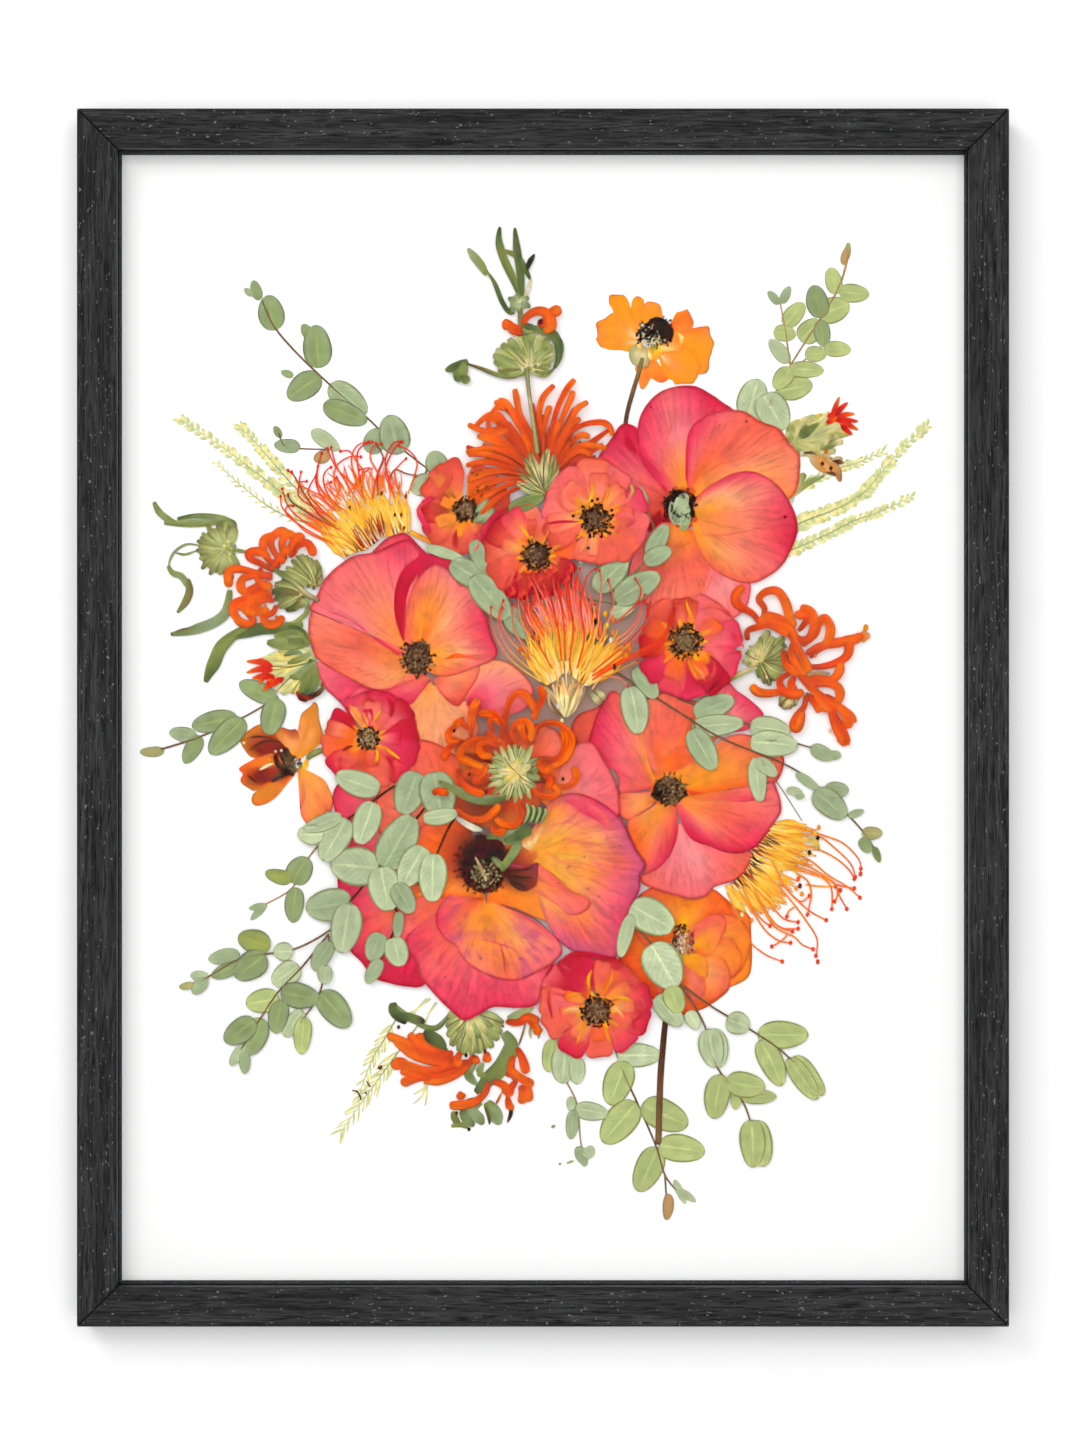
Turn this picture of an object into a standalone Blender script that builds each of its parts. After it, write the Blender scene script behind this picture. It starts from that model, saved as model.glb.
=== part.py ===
"""Pressed flowers in a deep picture frame.

A black-stained wooden frame for an 18 by 24 inch sheet, glazed and spaced off a white board. On the
board lie pressed roses, proteas, lion's ear and eucalyptus, each dried flat as one piece.

Front faces -Y, up is +Z. The origin is on the wall, in the middle of the hanger's back.
"""

import math

import bmesh
import bpy
from mathutils import Vector
from mathutils.geometry import delaunay_2d_cdt

# ---------------------------------------------------------------- driving sizes, in metres
MM = 0.001
GAP = 0.3 * MM                    # between pieces that touch

SIGHT_W = 450 * MM                # the opening seen from the front
SIGHT_H = 601 * MM
RAIL_W = 21 * MM                  # width of a rail's face
RAIL_D = 32 * MM                  # depth of a rail, front to back
LIP_W = 5 * MM                    # the lip that the glass rests behind
LIP_D = 6 * MM
ARRIS = 0.8 * MM                  # eased front edges

SHEET_W = 457.2 * MM              # glass and boards are cut to a standard size
SHEET_H = 609.6 * MM
GLASS_T = 2 * MM
CAVITY = 14 * MM                  # glass to mount board
SPACER_T = 4.9 * MM
SPACER_BACKSET = -0.4 * MM        # spacer face, just inside the lip's edge, so it shows
MOUNT_T = 1.6 * MM
BACKING_T = 3 * MM

HANGER_W = 44 * MM
HANGER_H = 9 * MM
HANGER_T = 1.5 * MM
HANGER_TEETH = 9
HANGER_TOOTH = 1.6 * MM
POINT_SIZE = (9 * MM, 15 * MM)    # across the rail, along the rail
POINT_T = 0.5 * MM
BUMPER_D = 10 * MM
BUMPER_SIDES = 16

PIECE_T = 0.7 * MM                # a pressed flower's thickness, petals and all
LAYER = PIECE_T + GAP             # each piece laid on another lies one layer higher
LEAF_SIDES = 8

# ---------------------------------------------------------------- sizes that follow
OUTER_W = SIGHT_W + 2 * RAIL_W
OUTER_H = SIGHT_H + 2 * RAIL_W
BACK_Y = -HANGER_T                              # the rails' back face
FRONT_Y = BACK_Y - RAIL_D
GLASS_Y = FRONT_Y + LIP_D + GAP                 # front of the glass
BOARD_Y = GLASS_Y + GLASS_T + CAVITY            # front of the mount board
BACKING_Y = BOARD_Y + MOUNT_T + GAP             # front of the backing board
POINT_Y = BACKING_Y + BACKING_T + GAP
HANGER_CENTER = (RAIL_W - LIP_W) / 2            # below the top of the frame
CENTER_Z = HANGER_CENTER - OUTER_H / 2          # middle of the frame


# ---------------------------------------------------------------- helpers
def clear_scene():
    for thing in list(bpy.data.objects):
        bpy.data.objects.remove(thing)


def material(name, color, roughness, metallic=0.0, transmission=0.0):
    made = bpy.data.materials.new(name)
    made.use_nodes = True
    shader = made.node_tree.nodes["Principled BSDF"]
    shader.inputs["Base Color"].default_value = (*color, 1.0)
    shader.inputs["Roughness"].default_value = roughness
    shader.inputs["Metallic"].default_value = metallic
    shader.inputs["Transmission Weight"].default_value = transmission
    return made


def finish(name, bm, look):
    """Turn a bmesh into a named object with one material."""
    bmesh.ops.recalc_face_normals(bm, faces=bm.faces)
    mesh = bpy.data.meshes.new(name)
    bm.to_mesh(mesh)
    bm.free()
    mesh.materials.append(look)
    made = bpy.data.objects.new(name, mesh)
    bpy.context.scene.collection.objects.link(made)
    return made


def box(name, center, size, look, bevel=0.0):
    bm = bmesh.new()
    bmesh.ops.create_cube(bm, size=1.0)
    bmesh.ops.scale(bm, verts=bm.verts, vec=size)
    if bevel:
        bmesh.ops.bevel(bm, geom=bm.edges, offset=bevel, segments=1, affect="EDGES", profile=0.5)
    made = finish(name, bm, look)
    made.location = center
    return made


def thicken(bm, thickness):
    """Give flat faces in the XZ plane a thickness towards +Y."""
    grown = bmesh.ops.extrude_face_region(bm, geom=list(bm.faces), use_keep_orig=True)
    corners = [part for part in grown["geom"] if isinstance(part, bmesh.types.BMVert)]
    bmesh.ops.translate(bm, verts=corners, vec=(0, thickness, 0))


# ---------------------------------------------------------------- frame
def rail(name, length, rebate_length, turn, look):
    """One mitred rail, drawn as the bottom one and turned about the frame's middle.

    The profile runs from the outer edge (0) towards the opening (RAIL_W), and back from the front (0).
    """
    profile = [
        (0, ARRIS), (ARRIS, 0), (RAIL_W - ARRIS, 0), (RAIL_W, ARRIS),
        (RAIL_W, LIP_D), (RAIL_W - LIP_W, LIP_D), (RAIL_W - LIP_W, RAIL_D), (0, RAIL_D),
    ]
    bm = bmesh.new()
    ends = []
    for side in (-1, 1):
        ring = []
        for inward, back in profile:
            along = side * (length / 2 - inward - GAP / 2)
            up = inward - rebate_length / 2
            ring.append(bm.verts.new((along, FRONT_Y + back, up)))
        ends.append(ring)
    count = len(profile)
    for step in range(count):
        after = (step + 1) % count
        bm.faces.new((ends[0][step], ends[0][after], ends[1][after], ends[1][step]))
    bm.faces.new(ends[0])
    bm.faces.new(ends[1])
    made = finish(name, bm, look)
    made.rotation_euler = (0, turn, 0)
    made.location = (0, 0, CENTER_Z)
    return made


def frame(look):
    rail("rail_bottom", OUTER_W, OUTER_H, 0, look)
    rail("rail_top", OUTER_W, OUTER_H, math.pi, look)
    rail("rail_left", OUTER_H, OUTER_W, math.pi / 2, look)
    rail("rail_right", OUTER_H, OUTER_W, -math.pi / 2, look)


def glazing(look):
    size = (SHEET_W, GLASS_T, SHEET_H)
    box("glass", (0, GLASS_Y + GLASS_T / 2, CENTER_Z), size, look)


def spacers(look):
    depth = CAVITY - 2 * GAP
    mid_y = GLASS_Y + GLASS_T + CAVITY / 2
    reach_x = SIGHT_W / 2 + SPACER_BACKSET + SPACER_T / 2
    reach_z = SIGHT_H / 2 + SPACER_BACKSET + SPACER_T / 2
    long_side = 2 * reach_z + SPACER_T
    short_side = 2 * reach_x - SPACER_T - 2 * GAP
    for name, side in (("spacer_left", -1), ("spacer_right", 1)):
        box(name, (side * reach_x, mid_y, CENTER_Z), (SPACER_T, depth, long_side), look)
    for name, side in (("spacer_bottom", -1), ("spacer_top", 1)):
        box(name, (0, mid_y, CENTER_Z + side * reach_z), (short_side, depth, SPACER_T), look)


def boards(mount_look, backing_look):
    box("mount_board", (0, BOARD_Y + MOUNT_T / 2, CENTER_Z), (SHEET_W, MOUNT_T, SHEET_H), mount_look)
    size = (SHEET_W, BACKING_T, SHEET_H)
    box("backing_board", (0, BACKING_Y + BACKING_T / 2, CENTER_Z), size, backing_look)


def points(look):
    """Steel tabs on the back of the backing board: two on each long side, one on each short side."""
    across, along = POINT_SIZE
    y = POINT_Y + POINT_T / 2
    edge_x = OUTER_W / 2 - RAIL_W + LIP_W - GAP - across / 2
    edge_z = OUTER_H / 2 - RAIL_W + LIP_W - GAP - across / 2
    places = []
    for side in (-1, 1):
        for height in (-1, 1):
            places.append(((side * edge_x, y, CENTER_Z + height * SIGHT_H / 4), (across, POINT_T, along)))
    for side in (-1, 1):
        places.append(((0, y, CENTER_Z + side * edge_z), (along, POINT_T, across)))
    for number, (center, size) in enumerate(places, start=1):
        box(f"point_{number}", center, size, look)


def hanger(look):
    """A flat bar with teeth along its lower edge, pushed onto the back of the top rail."""
    pitch = HANGER_W / 2 / HANGER_TEETH
    low = -HANGER_H / 2
    outline = [(HANGER_W / 2, low), (HANGER_W / 2, -low), (-HANGER_W / 2, -low), (-HANGER_W / 2, low)]
    first = -HANGER_TEETH * pitch / 2
    for tooth in range(HANGER_TEETH):
        outline.append((first + tooth * pitch, low))
        outline.append((first + (tooth + 0.5) * pitch, low + HANGER_TOOTH))
    outline.append((-first, low))
    bm = bmesh.new()
    bm.faces.new([bm.verts.new((x, BACK_Y + GAP, z)) for x, z in outline])
    thicken(bm, HANGER_T - GAP)
    finish("hanger", bm, look)


def bumpers(look):
    """Felt pads at the lower corners, as thick as the hanger, so that the frame hangs flat."""
    reach_x = OUTER_W / 2 - (RAIL_W - LIP_W) / 2
    low_z = CENTER_Z - OUTER_H / 2 + (RAIL_W - LIP_W) / 2 + BUMPER_D
    for name, side in (("bumper_left", -1), ("bumper_right", 1)):
        bm = bmesh.new()
        bmesh.ops.create_cone(
            bm, cap_ends=True, segments=BUMPER_SIDES,
            radius1=BUMPER_D / 2, radius2=BUMPER_D / 2, depth=HANGER_T - GAP,
        )
        made = finish(name, bm, look)
        made.rotation_euler = (math.pi / 2, 0, 0)
        made.location = (side * reach_x, -(HANGER_T - GAP) / 2, low_z)


# ---------------------------------------------------------------- flat outlines
# Every outline is in millimetres from the frame's middle, x to the right and z up.
def leaf(x, z, length, width, angle):
    """An oval whose long axis points at an angle in degrees, counterclockwise from +X."""
    turn = math.radians(angle)
    corners = []
    for step in range(LEAF_SIDES):
        round_at = math.tau * (step + 0.5) / LEAF_SIDES
        along = length / 2 * math.cos(round_at) / math.cos(math.pi / LEAF_SIDES)
        across = width / 2 * math.sin(round_at) / math.cos(math.pi / LEAF_SIDES)
        corners.append((
            x + along * math.cos(turn) - across * math.sin(turn),
            z + along * math.sin(turn) + across * math.cos(turn),
        ))
    return corners


def strip(width, *path):
    """A ribbon of one width along a path."""
    left, right = [], []
    for index, point in enumerate(path):
        before = Vector(path[max(index - 1, 0)])
        after = Vector(path[min(index + 1, len(path) - 1)])
        heading = (after - before).normalized()
        side = Vector((-heading.y, heading.x)) * width / 2
        left.append(tuple(Vector(point) + side))
        right.append(tuple(Vector(point) - side))
    return right + left[::-1]


def leaves(*shapes):
    return [leaf(*shape) for shape in shapes]


def double_rose(x, z, width, height):
    """A small round rose with a wavy rim of petals."""
    corners = []
    petals = 7
    for step in range(3 * petals):
        turn = math.tau * step / (3 * petals)
        reach = 1 - 0.04 * math.cos(petals * turn)
        corners.append((x + reach * width / 2 * math.cos(turn), z + reach * height / 2 * math.sin(turn)))
    return [corners]


# ---------------------------------------------------------------- large roses
def rose_upper_right():
    return leaves(
        (74, 148, 58, 46, 90), (105, 143, 62, 42, 10), (106, 102, 60, 58, -5), (49, 133, 56, 32, 130),
        (70, 86, 52, 44, -90), (97, 68, 34, 28, -40),
    )


def rose_left():
    return leaves(
        (-95, 62, 70, 50, 130), (-50, 54, 58, 48, 60), (-97, 36, 56, 34, 185), (-98, 16, 40, 20, 200),
        (-36, 17, 46, 26, -20), (-58, -3, 50, 34, -90),
    )


def rose_lower_right():
    return leaves(
        (45, -14, 56, 36, 130), (66, -8, 52, 44, 95), (98, -22, 58, 42, 20), (99, -57, 56, 32, -8),
        (57, -64, 40, 28, -105), (82, -78, 58, 36, -15),
    )


def rose_bottom():
    return leaves(
        (20, -40, 56, 38, 60), (22, -84, 86, 60, -55), (-30, -128, 72, 58, -15), (-85, -112, 56, 44, 240),
        (-84, -53, 60, 34, 160), (-32, -48, 62, 60, 100), (-40, -90, 60, 40, 0),
    )


def rose_orange():
    petals = leaves(
        (60, -112, 44, 36, 150), (94, -108, 36, 36, 30), (93, -130, 46, 38, -30), (62, -136, 46, 42, 230),
    )
    return petals + [strip(5, (64, -150), (63, -200), (61.5, -228))]


# ---------------------------------------------------------------- other flowers
def poppy_top():
    petals = leaves(
        (42, 214, 24, 16, 115), (38, 204, 18, 15, 190), (50, 219, 12, 7, 75), (58, 213, 16, 12, 85),
        (74, 211, 16, 12, 60), (78, 195, 30, 24, -20), (58, 182, 16, 13, -80), (62, 202, 28, 18, -20),
        (51, 193, 12, 9, 80),
    )
    return petals + [strip(2.4, (52, 192), (48, 175), (45, 165), (43.5, 156))]


def lily_left():
    petals = leaves(
        (-124, -6, 32, 13, 78), (-121, -40, 34, 15, -70), (-147, -14, 30, 17, 165), (-136, -14, 22, 16, 110),
        (-147, -26, 34, 14, 185), (-145, -37, 34, 14, 215),
    )
    return petals + [strip(3, (-131, -23), (-118, -17))]


def protea_left():
    return [[
        (-108, 83), (-90, 89), (-74, 97), (-58, 92), (-57, 95), (-70, 102), (-68, 129), (-76, 149),
        (-95, 149), (-115, 146), (-121, 134), (-131, 133), (-137, 134), (-141, 118), (-136, 107), (-122, 93),
    ]]


def protea_center():
    return [[
        (11, -5), (16, -4), (17, 8), (30, 15), (48, 28), (60, 38), (70, 52), (70, 58), (56, 66), (50, 75),
        (37, 75), (31, 79), (18, 80), (0, 78), (-15, 72), (-20, 64), (-29, 60), (-28, 50), (-22, 38),
        (-12, 27), (-2, 17), (6, 8),
    ]]


def protea_right():
    return [[
        (96, -89), (100, -76), (112, -62), (124, -55), (137, -55), (148, -58), (160, -66), (170, -80),
        (168, -98), (162, -103), (152, -108), (141, -110), (144, -120), (147, -131), (128, -131),
        (115, -125), (104, -109),
    ][::-1]]


# ---------------------------------------------------------------- lion's ear
def leonotis_top():
    whorl = [
        (0, 118), (8, 128), (13, 137), (26, 143), (37, 149), (38, 157), (25, 169), (17, 181), (5, 177),
        (-8, 168), (-14, 177), (-27, 170), (-40, 157), (-44, 140), (-40, 132), (-46, 120), (-38, 116),
        (-25, 120), (-12, 122),
    ]
    calyx = leaves((-9.5, 193, 36, 22, 0), (-17, 206, 18, 10, 0), (0, 209, 22, 12, 20), (-13, 221, 13, 13, 0))
    straps = [
        strip(4.5, (-13, 220), (-20, 240), (-24, 250), (-23, 262)),
        strip(4.5, (-12, 220), (-14, 245), (-15, 261)),
        strip(4, (-14, 218), (-20, 219), (-26, 233), (-31, 238), (-41, 250)),
        strip(3, (-11, 224), (-6, 236), (-5, 247)),
        strip(5, (-16, 184), (-35, 186), (-51, 186)),
        strip(4, (-2, 206), (8, 203), (8, 190), (2, 185)),
        strip(2.5, (-12, 222), (-9, 188), (-7, 165), (-3, 145), (0, 132)),
    ]
    return [whorl] + calyx + straps


def leonotis_left():
    calyx = leaves((-174, 90, 31, 21, 90), (-127, 78, 20, 18, -30), (-135, 64, 24, 20, 0))
    curls = leaves((-136, 86, 30, 26, 10), (-149, 66, 40, 34, 0))
    straps = [
        strip(4, (-207, 114), (-194, 104), (-178, 106), (-167, 104)),
        strip(3, (-182, 90), (-199, 81), (-190, 73), (-195, 57)),
        strip(3, (-166, 89), (-150, 87)),
        strip(4, (-146, 83), (-120, 62)),
        strip(5, (-164, 68), (-172, 54), (-185, 47), (-198, 45)),
        strip(6, (-132, 54), (-148, 49), (-164, 45), (-173, 34), (-180, 22)),
    ]
    return calyx + curls + straps


def leonotis_left_bud():
    return leaves(
        (-137, 25, 28, 20, 200), (-149, 24, 16, 15, 160), (-137, 41, 24, 13, 170), (-124, 20, 18, 11, 70),
    )


def leonotis_right():
    mass = [
        (104, 68), (102, 62), (110, 52), (107, 40), (107, 30), (115, 20), (110, 18), (112, 13), (124, 10),
        (134, 9), (131, -2), (134, -7), (139, -3), (141, 4), (152, -3), (161, -14), (167, 0), (160, 12),
        (162, 25), (160, 40), (172, 42), (173, 49), (155, 50), (143, 60), (135, 62), (124, 69), (114, 60),
    ]
    return [mass, strip(3, (97, 20), (118, 28))]


def leonotis_center():
    return [[
        (-36, 11), (-46, -2), (-52, -10), (-55, -22), (-46, -30), (-58, -38), (-57, -43), (-45, -46),
        (-45, -54), (-30, -62), (-8, -62), (3, -55), (-1, -44), (12, -41), (19, -29), (16, -22), (17, -8),
        (10, 1), (2, 5), (0, 18), (-4, 12), (-14, 15), (-20, 5), (-33, 1),
    ]]


def leonotis_bottom():
    calyx = leaves((-36, -170, 31, 22, 0), (-13, -186, 32, 13, -80))
    fans = [
        (-83, -168), (-72, -182), (-80, -186), (-76, -194), (-60, -197), (-38, -190), (-33, -178),
        (-50, -176), (-64, -170), (-70, -166),
    ]
    straps = [
        strip(7, (-79, -143), (-77, -156), (-73, -170)),
        strip(3, (-76, -160), (-62, -166), (-52, -160)),
        strip(6.5, (-24, -166), (-17, -178), (-25, -188), (-36, -200)),
        strip(6, (-28, -193), (-33, -203), (-49, -207)),
        strip(10, (-35, -204), (-45, -214)),
        strip(7, (-33, -204), (-22, -216)),
        strip(5, (-25, -164), (-8, -161), (-1, -168)),
    ]
    return calyx + [fans] + straps


def leonotis_bud_right():
    tips = [
        (142, 139), (150, 129), (158, 125), (155, 133), (160, 136), (152, 141), (163, 152), (168, 158),
        (162, 168), (157, 171), (154, 161), (144, 161), (134, 158), (128, 151), (135, 143),
    ]
    return [tips]


# ---------------------------------------------------------------- eucalyptus
def eucalyptus_top_left():
    return leaves(
        (-152, 227, 9, 5, 110), (-145, 216, 19, 14, 100), (-120.5, 198, 23, 15.5, 95), (-126, 206, 9, 6, 120),
        (-127.5, 176.5, 21, 14, 215), (-104, 170, 25, 14, -38), (-105.5, 162.5, 25, 12.5, -22),
        (-79.5, 151, 21.5, 16.5, 105), (-90, 147.5, 14, 11, 80), (-57, 136, 13, 12, 110),
        (-64, 124, 14, 12, 200),
    ) + [
        strip(1.6, (-150, 223), (-143, 208), (-130, 193), (-112, 176), (-95, 161), (-80, 147), (-58, 130)),
        strip(1.6, (-62, 133), (-64, 124)),
    ]


def eucalyptus_small_left():
    return leaves(
        (-141.5, 152.5, 7, 4, 120), (-136.5, 145, 14, 7.5, 175), (-116, 148, 18, 8, -35),
        (-118, 139, 9, 7, 200),
    ) + [
        strip(1.6, (-141, 152), (-138, 145), (-130, 143.5), (-112, 143)),
        strip(1.6, (-113, 144), (-118, 139)),
    ]


def eucalyptus_top_right():
    return leaves(
        (162.5, 249, 9, 3.5, 85), (161, 246, 9, 4, 80), (155, 233, 14.5, 9, 105), (166, 226.5, 16, 10, -5),
        (146.5, 222, 18, 12, 105), (155, 217.5, 18, 14, 20), (142.5, 206.5, 15, 12.5, 45),
        (149, 205, 14.5, 9, -80), (157, 196.5, 14.5, 8.5, -3), (145.5, 194, 11.5, 8.5, 0),
        (134, 215, 16, 10, 50), (129, 205, 12, 9, -10), (126, 195.5, 16, 8, 130), (140.5, 185.5, 18.5, 9, -3),
        (128, 181, 14, 10, 230), (134.5, 176, 19, 12.5, 12), (112, 170, 22, 17, 75), (123, 163, 22, 18, -60),
        (123, 224, 9, 4.5, 130), (129.5, 225.5, 10, 5, 65),
    ) + [
        strip(1.6, (163, 247), (158, 230), (148, 213), (132, 188), (120, 166)),
        strip(1.6, (132, 188), (129.5, 205), (126.5, 222)),
        strip(1.6, (136, 188), (150, 199)),
    ]


def eucalyptus_left():
    return leaves(
        (-208.5, -18, 13, 5.5, 183), (-192, -9, 15, 8, 170), (-187, -17, 17, 9, 240),
        (-175, -2.5, 25, 12, 190), (-168.5, -10, 26, 14, 225), (-152, 14, 22, 11, 155),
        (-144, 0.5, 20, 13, 255),
    ) + [strip(1.6, (-204, -17), (-185, -11), (-162, -1), (-141, 11))]


def eucalyptus_left_low():
    return leaves(
        (-98.5, -34.5, 25, 14, 160), (-94, -56, 24, 15, 250), (-110.5, -65, 26, 16, 240),
        (-123.5, -62, 14, 11, 180), (-117, -56, 22, 9, 200), (-100, -79, 26, 21, 175), (-77, -66, 32, 20, 60),
        (-84, -91, 24, 18, -80), (-69, -79, 24, 16, -120), (-58.5, -85, 26, 15.5, -92),
        (-71, -40, 24, 17, -110), (-56, -41, 25, 20, -80), (-54.5, -52, 19, 9, 10), (-74, -96, 18, 12, -60),
        (-77, -110, 14, 6, -95), (-89, -122, 16, 12, 250), (-77.5, -124.5, 16, 13, -75),
        (-90, -135, 15, 8, 240),
    ) + [
        strip(2, (-66, -31), (-80, -37), (-90, -44), (-104, -54), (-113, -61)),
        strip(2, (-62, -47), (-70, -57), (-87, -79), (-97, -91), (-103, -98)),
        strip(2, (-47, -53), (-52, -62), (-57, -74)),
        strip(2, (-60, -80), (-66, -80)),
        strip(2, (-80, -99), (-77, -106), (-81, -117), (-88, -130)),
    ]


def eucalyptus_left_small():
    return leaves(
        (-129.5, -81.5, 16, 14, 60), (-141, -84.5, 15, 8, 165), (-132.5, -100, 19, 10.5, -95),
        (-152, -102, 12, 7, 200),
    ) + [strip(1.6, (-118, -66), (-126, -76), (-134, -91), (-149, -100))]


def eucalyptus_bottom_left():
    return leaves(
        (-114, -99.5, 25, 18, 190), (-105, -112, 27, 17, -100),
        (-154, -119.5, 18, 13, 160), (-156, -132.5, 20, 15, 215), (-138.5, -124.5, 10.5, 10, 180),
        (-170, -127.5, 17, 8, 190), (-169, -134.5, 17, 8, 205), (-183, -138, 10, 6, 170),
        (-183, -143, 11, 7, 230),
        (-190, -143, 8, 4, 190), (-137, -137, 17, 13, 215), (-149.5, -151, 18, 13, 190),
        (-129.5, -148, 21, 14, -10), (-141, -159.5, 18, 11, -100), (-161.5, -167, 20, 13, 215),
        (-153.5, -170, 21, 13, 250), (-163, -180, 13, 6, 235), (-159, -184, 12, 6, -90),
        (-117.5, -127, 18, 10, 240), (-116, -137, 10, 8, -90), (-111, -155.5, 24, 15, -50),
        (-133, -163, 17, 9, 235), (-128, -169.5, 20, 10, -95),
    ) + [
        strip(1.6, (-103, -101), (-112, -112), (-133, -123.5), (-160, -128), (-180, -139), (-188, -142)),
        strip(1.6, (-114, -115), (-129, -133.5), (-141, -146), (-151, -161), (-161, -177)),
        strip(1.6, (-114, -116), (-116, -133), (-120, -149), (-130, -163)),
    ]


def eucalyptus_center():
    return leaves(
        (-38, 76, 26, 14, -30), (-34, 86, 18, 9, -70), (-28, 64, 30, 16, -50), (36, 76, 24, 14, 45),
        (50, 69, 28, 15, 30), (61, 94, 20, 10, 60), (61, 86, 16, 10, 25), (42, 57, 14, 8, 20),
        (52, 116, 14, 8, 100),
    ) + [
        strip(2, (-30, 64), (0, 66), (40, 60)),
        strip(2, (40, 60), (38, 68), (50, 78), (60, 92), (58, 104), (53, 113)),
    ]


def eucalyptus_right_upper():
    return leaves(
        (91, 6, 23, 13, 20), (93, -4, 28, 12, 5), (121, -6, 22, 13, -10), (123, -14, 26, 14, -5),
        (149, -18.5, 14, 8, -25), (156, -20, 6, 5, 0),
    ) + [strip(1.8, (72, 10), (84, 5.5), (107.5, -3), (119, -7), (136, -14), (148, -17))]


def eucalyptus_right_lower():
    return leaves(
        (48.5, 4, 26, 15, -80), (54.5, 18.5, 20, 11, -55), (85, -17, 25, 14, -60), (114.5, -33, 24, 10, -85),
        (119, -26.5, 14, 8, -40), (141, -34, 15, 5, -35), (156.5, -38.5, 13, 9, 0), (153, -46, 22, 14, -40),
        (167, -51, 9, 4, 20), (175.5, -61.5, 11, 7, 0), (172, -68, 9, 7, -60), (178, -73, 9, 4, -70),
    ) + [
        strip(1.8, (36, 26), (73, 2.5), (95, -11), (129, -25), (148, -38), (170, -60), (178, -73)),
        strip(1.8, (79, 0), (84, -14)),
    ]


def eucalyptus_bottom_right():
    return leaves(
        (58, -106, 26, 19, -30), (44, -116, 24, 8, -105), (64, -132, 27, 21, -60), (67, -156, 21, 12, -50),
        (70, -150, 15, 12, -70), (80, -161, 11, 8, -60), (91, -176, 21, 15, -80), (93, -202, 24, 14, -100),
        (108, -195.5, 21, 14, -10), (115, -202, 19, 8, 0), (113, -227, 25.5, 16, -85),
        (104, -163, 13, 12.5, -20),
        (128, -169, 27, 15, 0), (121.5, -184, 27, 13, -65), (139.5, -192, 28, 13, -52),
    ) + [
        strip(1.8, (45, -103), (49, -111), (59, -122), (74, -143), (86, -164), (92, -185), (106, -204),
              (111, -217)),
        strip(1.8, (75, -143), (90, -154), (110, -166), (125, -176), (134, -184)),
    ]


def eucalyptus_bottom():
    return leaves(
        (51, -180, 24, 13, 0), (40, -195, 25, 16, -110), (41, -216, 28, 17, -130), (65, -212, 27, 17, -25),
        (74, -230, 25, 15, -8), (56, -241, 26, 15, -115), (74, -255, 15, 6, -50), (66.5, -261, 14, 6, -95),
    ) + [
        strip(1.8, (38, -176), (44, -192), (50, -205), (60, -228), (65, -244), (71, -252)),
        strip(1.8, (65, -244), (66, -260)),
    ]


def eucalyptus_bottom_small():
    return leaves(
        (4, -180, 18, 9, -100), (11, -185, 20, 14, -95), (18, -188, 15, 9, -90), (26, -210, 18, 10, -10),
        (15.5, -217, 16, 7, -95), (15, -206, 8, 5, -90), (22, -233, 11, 9, 0),
    ) + [
        strip(1.8, (10, -184), (12, -193), (18, -206), (20, -226), (22, -233)),
        strip(1.8, (16, -217), (20, -212)),
    ]


# ---------------------------------------------------------------- plumes
def plume_left():
    return [
        strip(7, (-194, 159), (-140, 119), (-118, 103)),
        strip(6, (-162, 157), (-134, 125), (-118, 103)),
        strip(2, (-174, 136), (-140, 108), (-118, 101)),
    ]


def plume_right():
    return [
        strip(6, (206, 156), (182, 133), (158, 113), (126, 101)),
        strip(6, (180, 142), (160, 137), (148, 131), (132, 117), (126, 103)),
        strip(6, (198, 117), (165, 106), (145, 95), (126, 100)),
    ]


def plume_bottom():
    return [
        strip(6, (-108, -221), (-74, -176)),
        strip(4, (-99, -205), (-90, -185), (-78, -164)),
        strip(4, (-82, -190), (-60, -156)),
    ]


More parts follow.
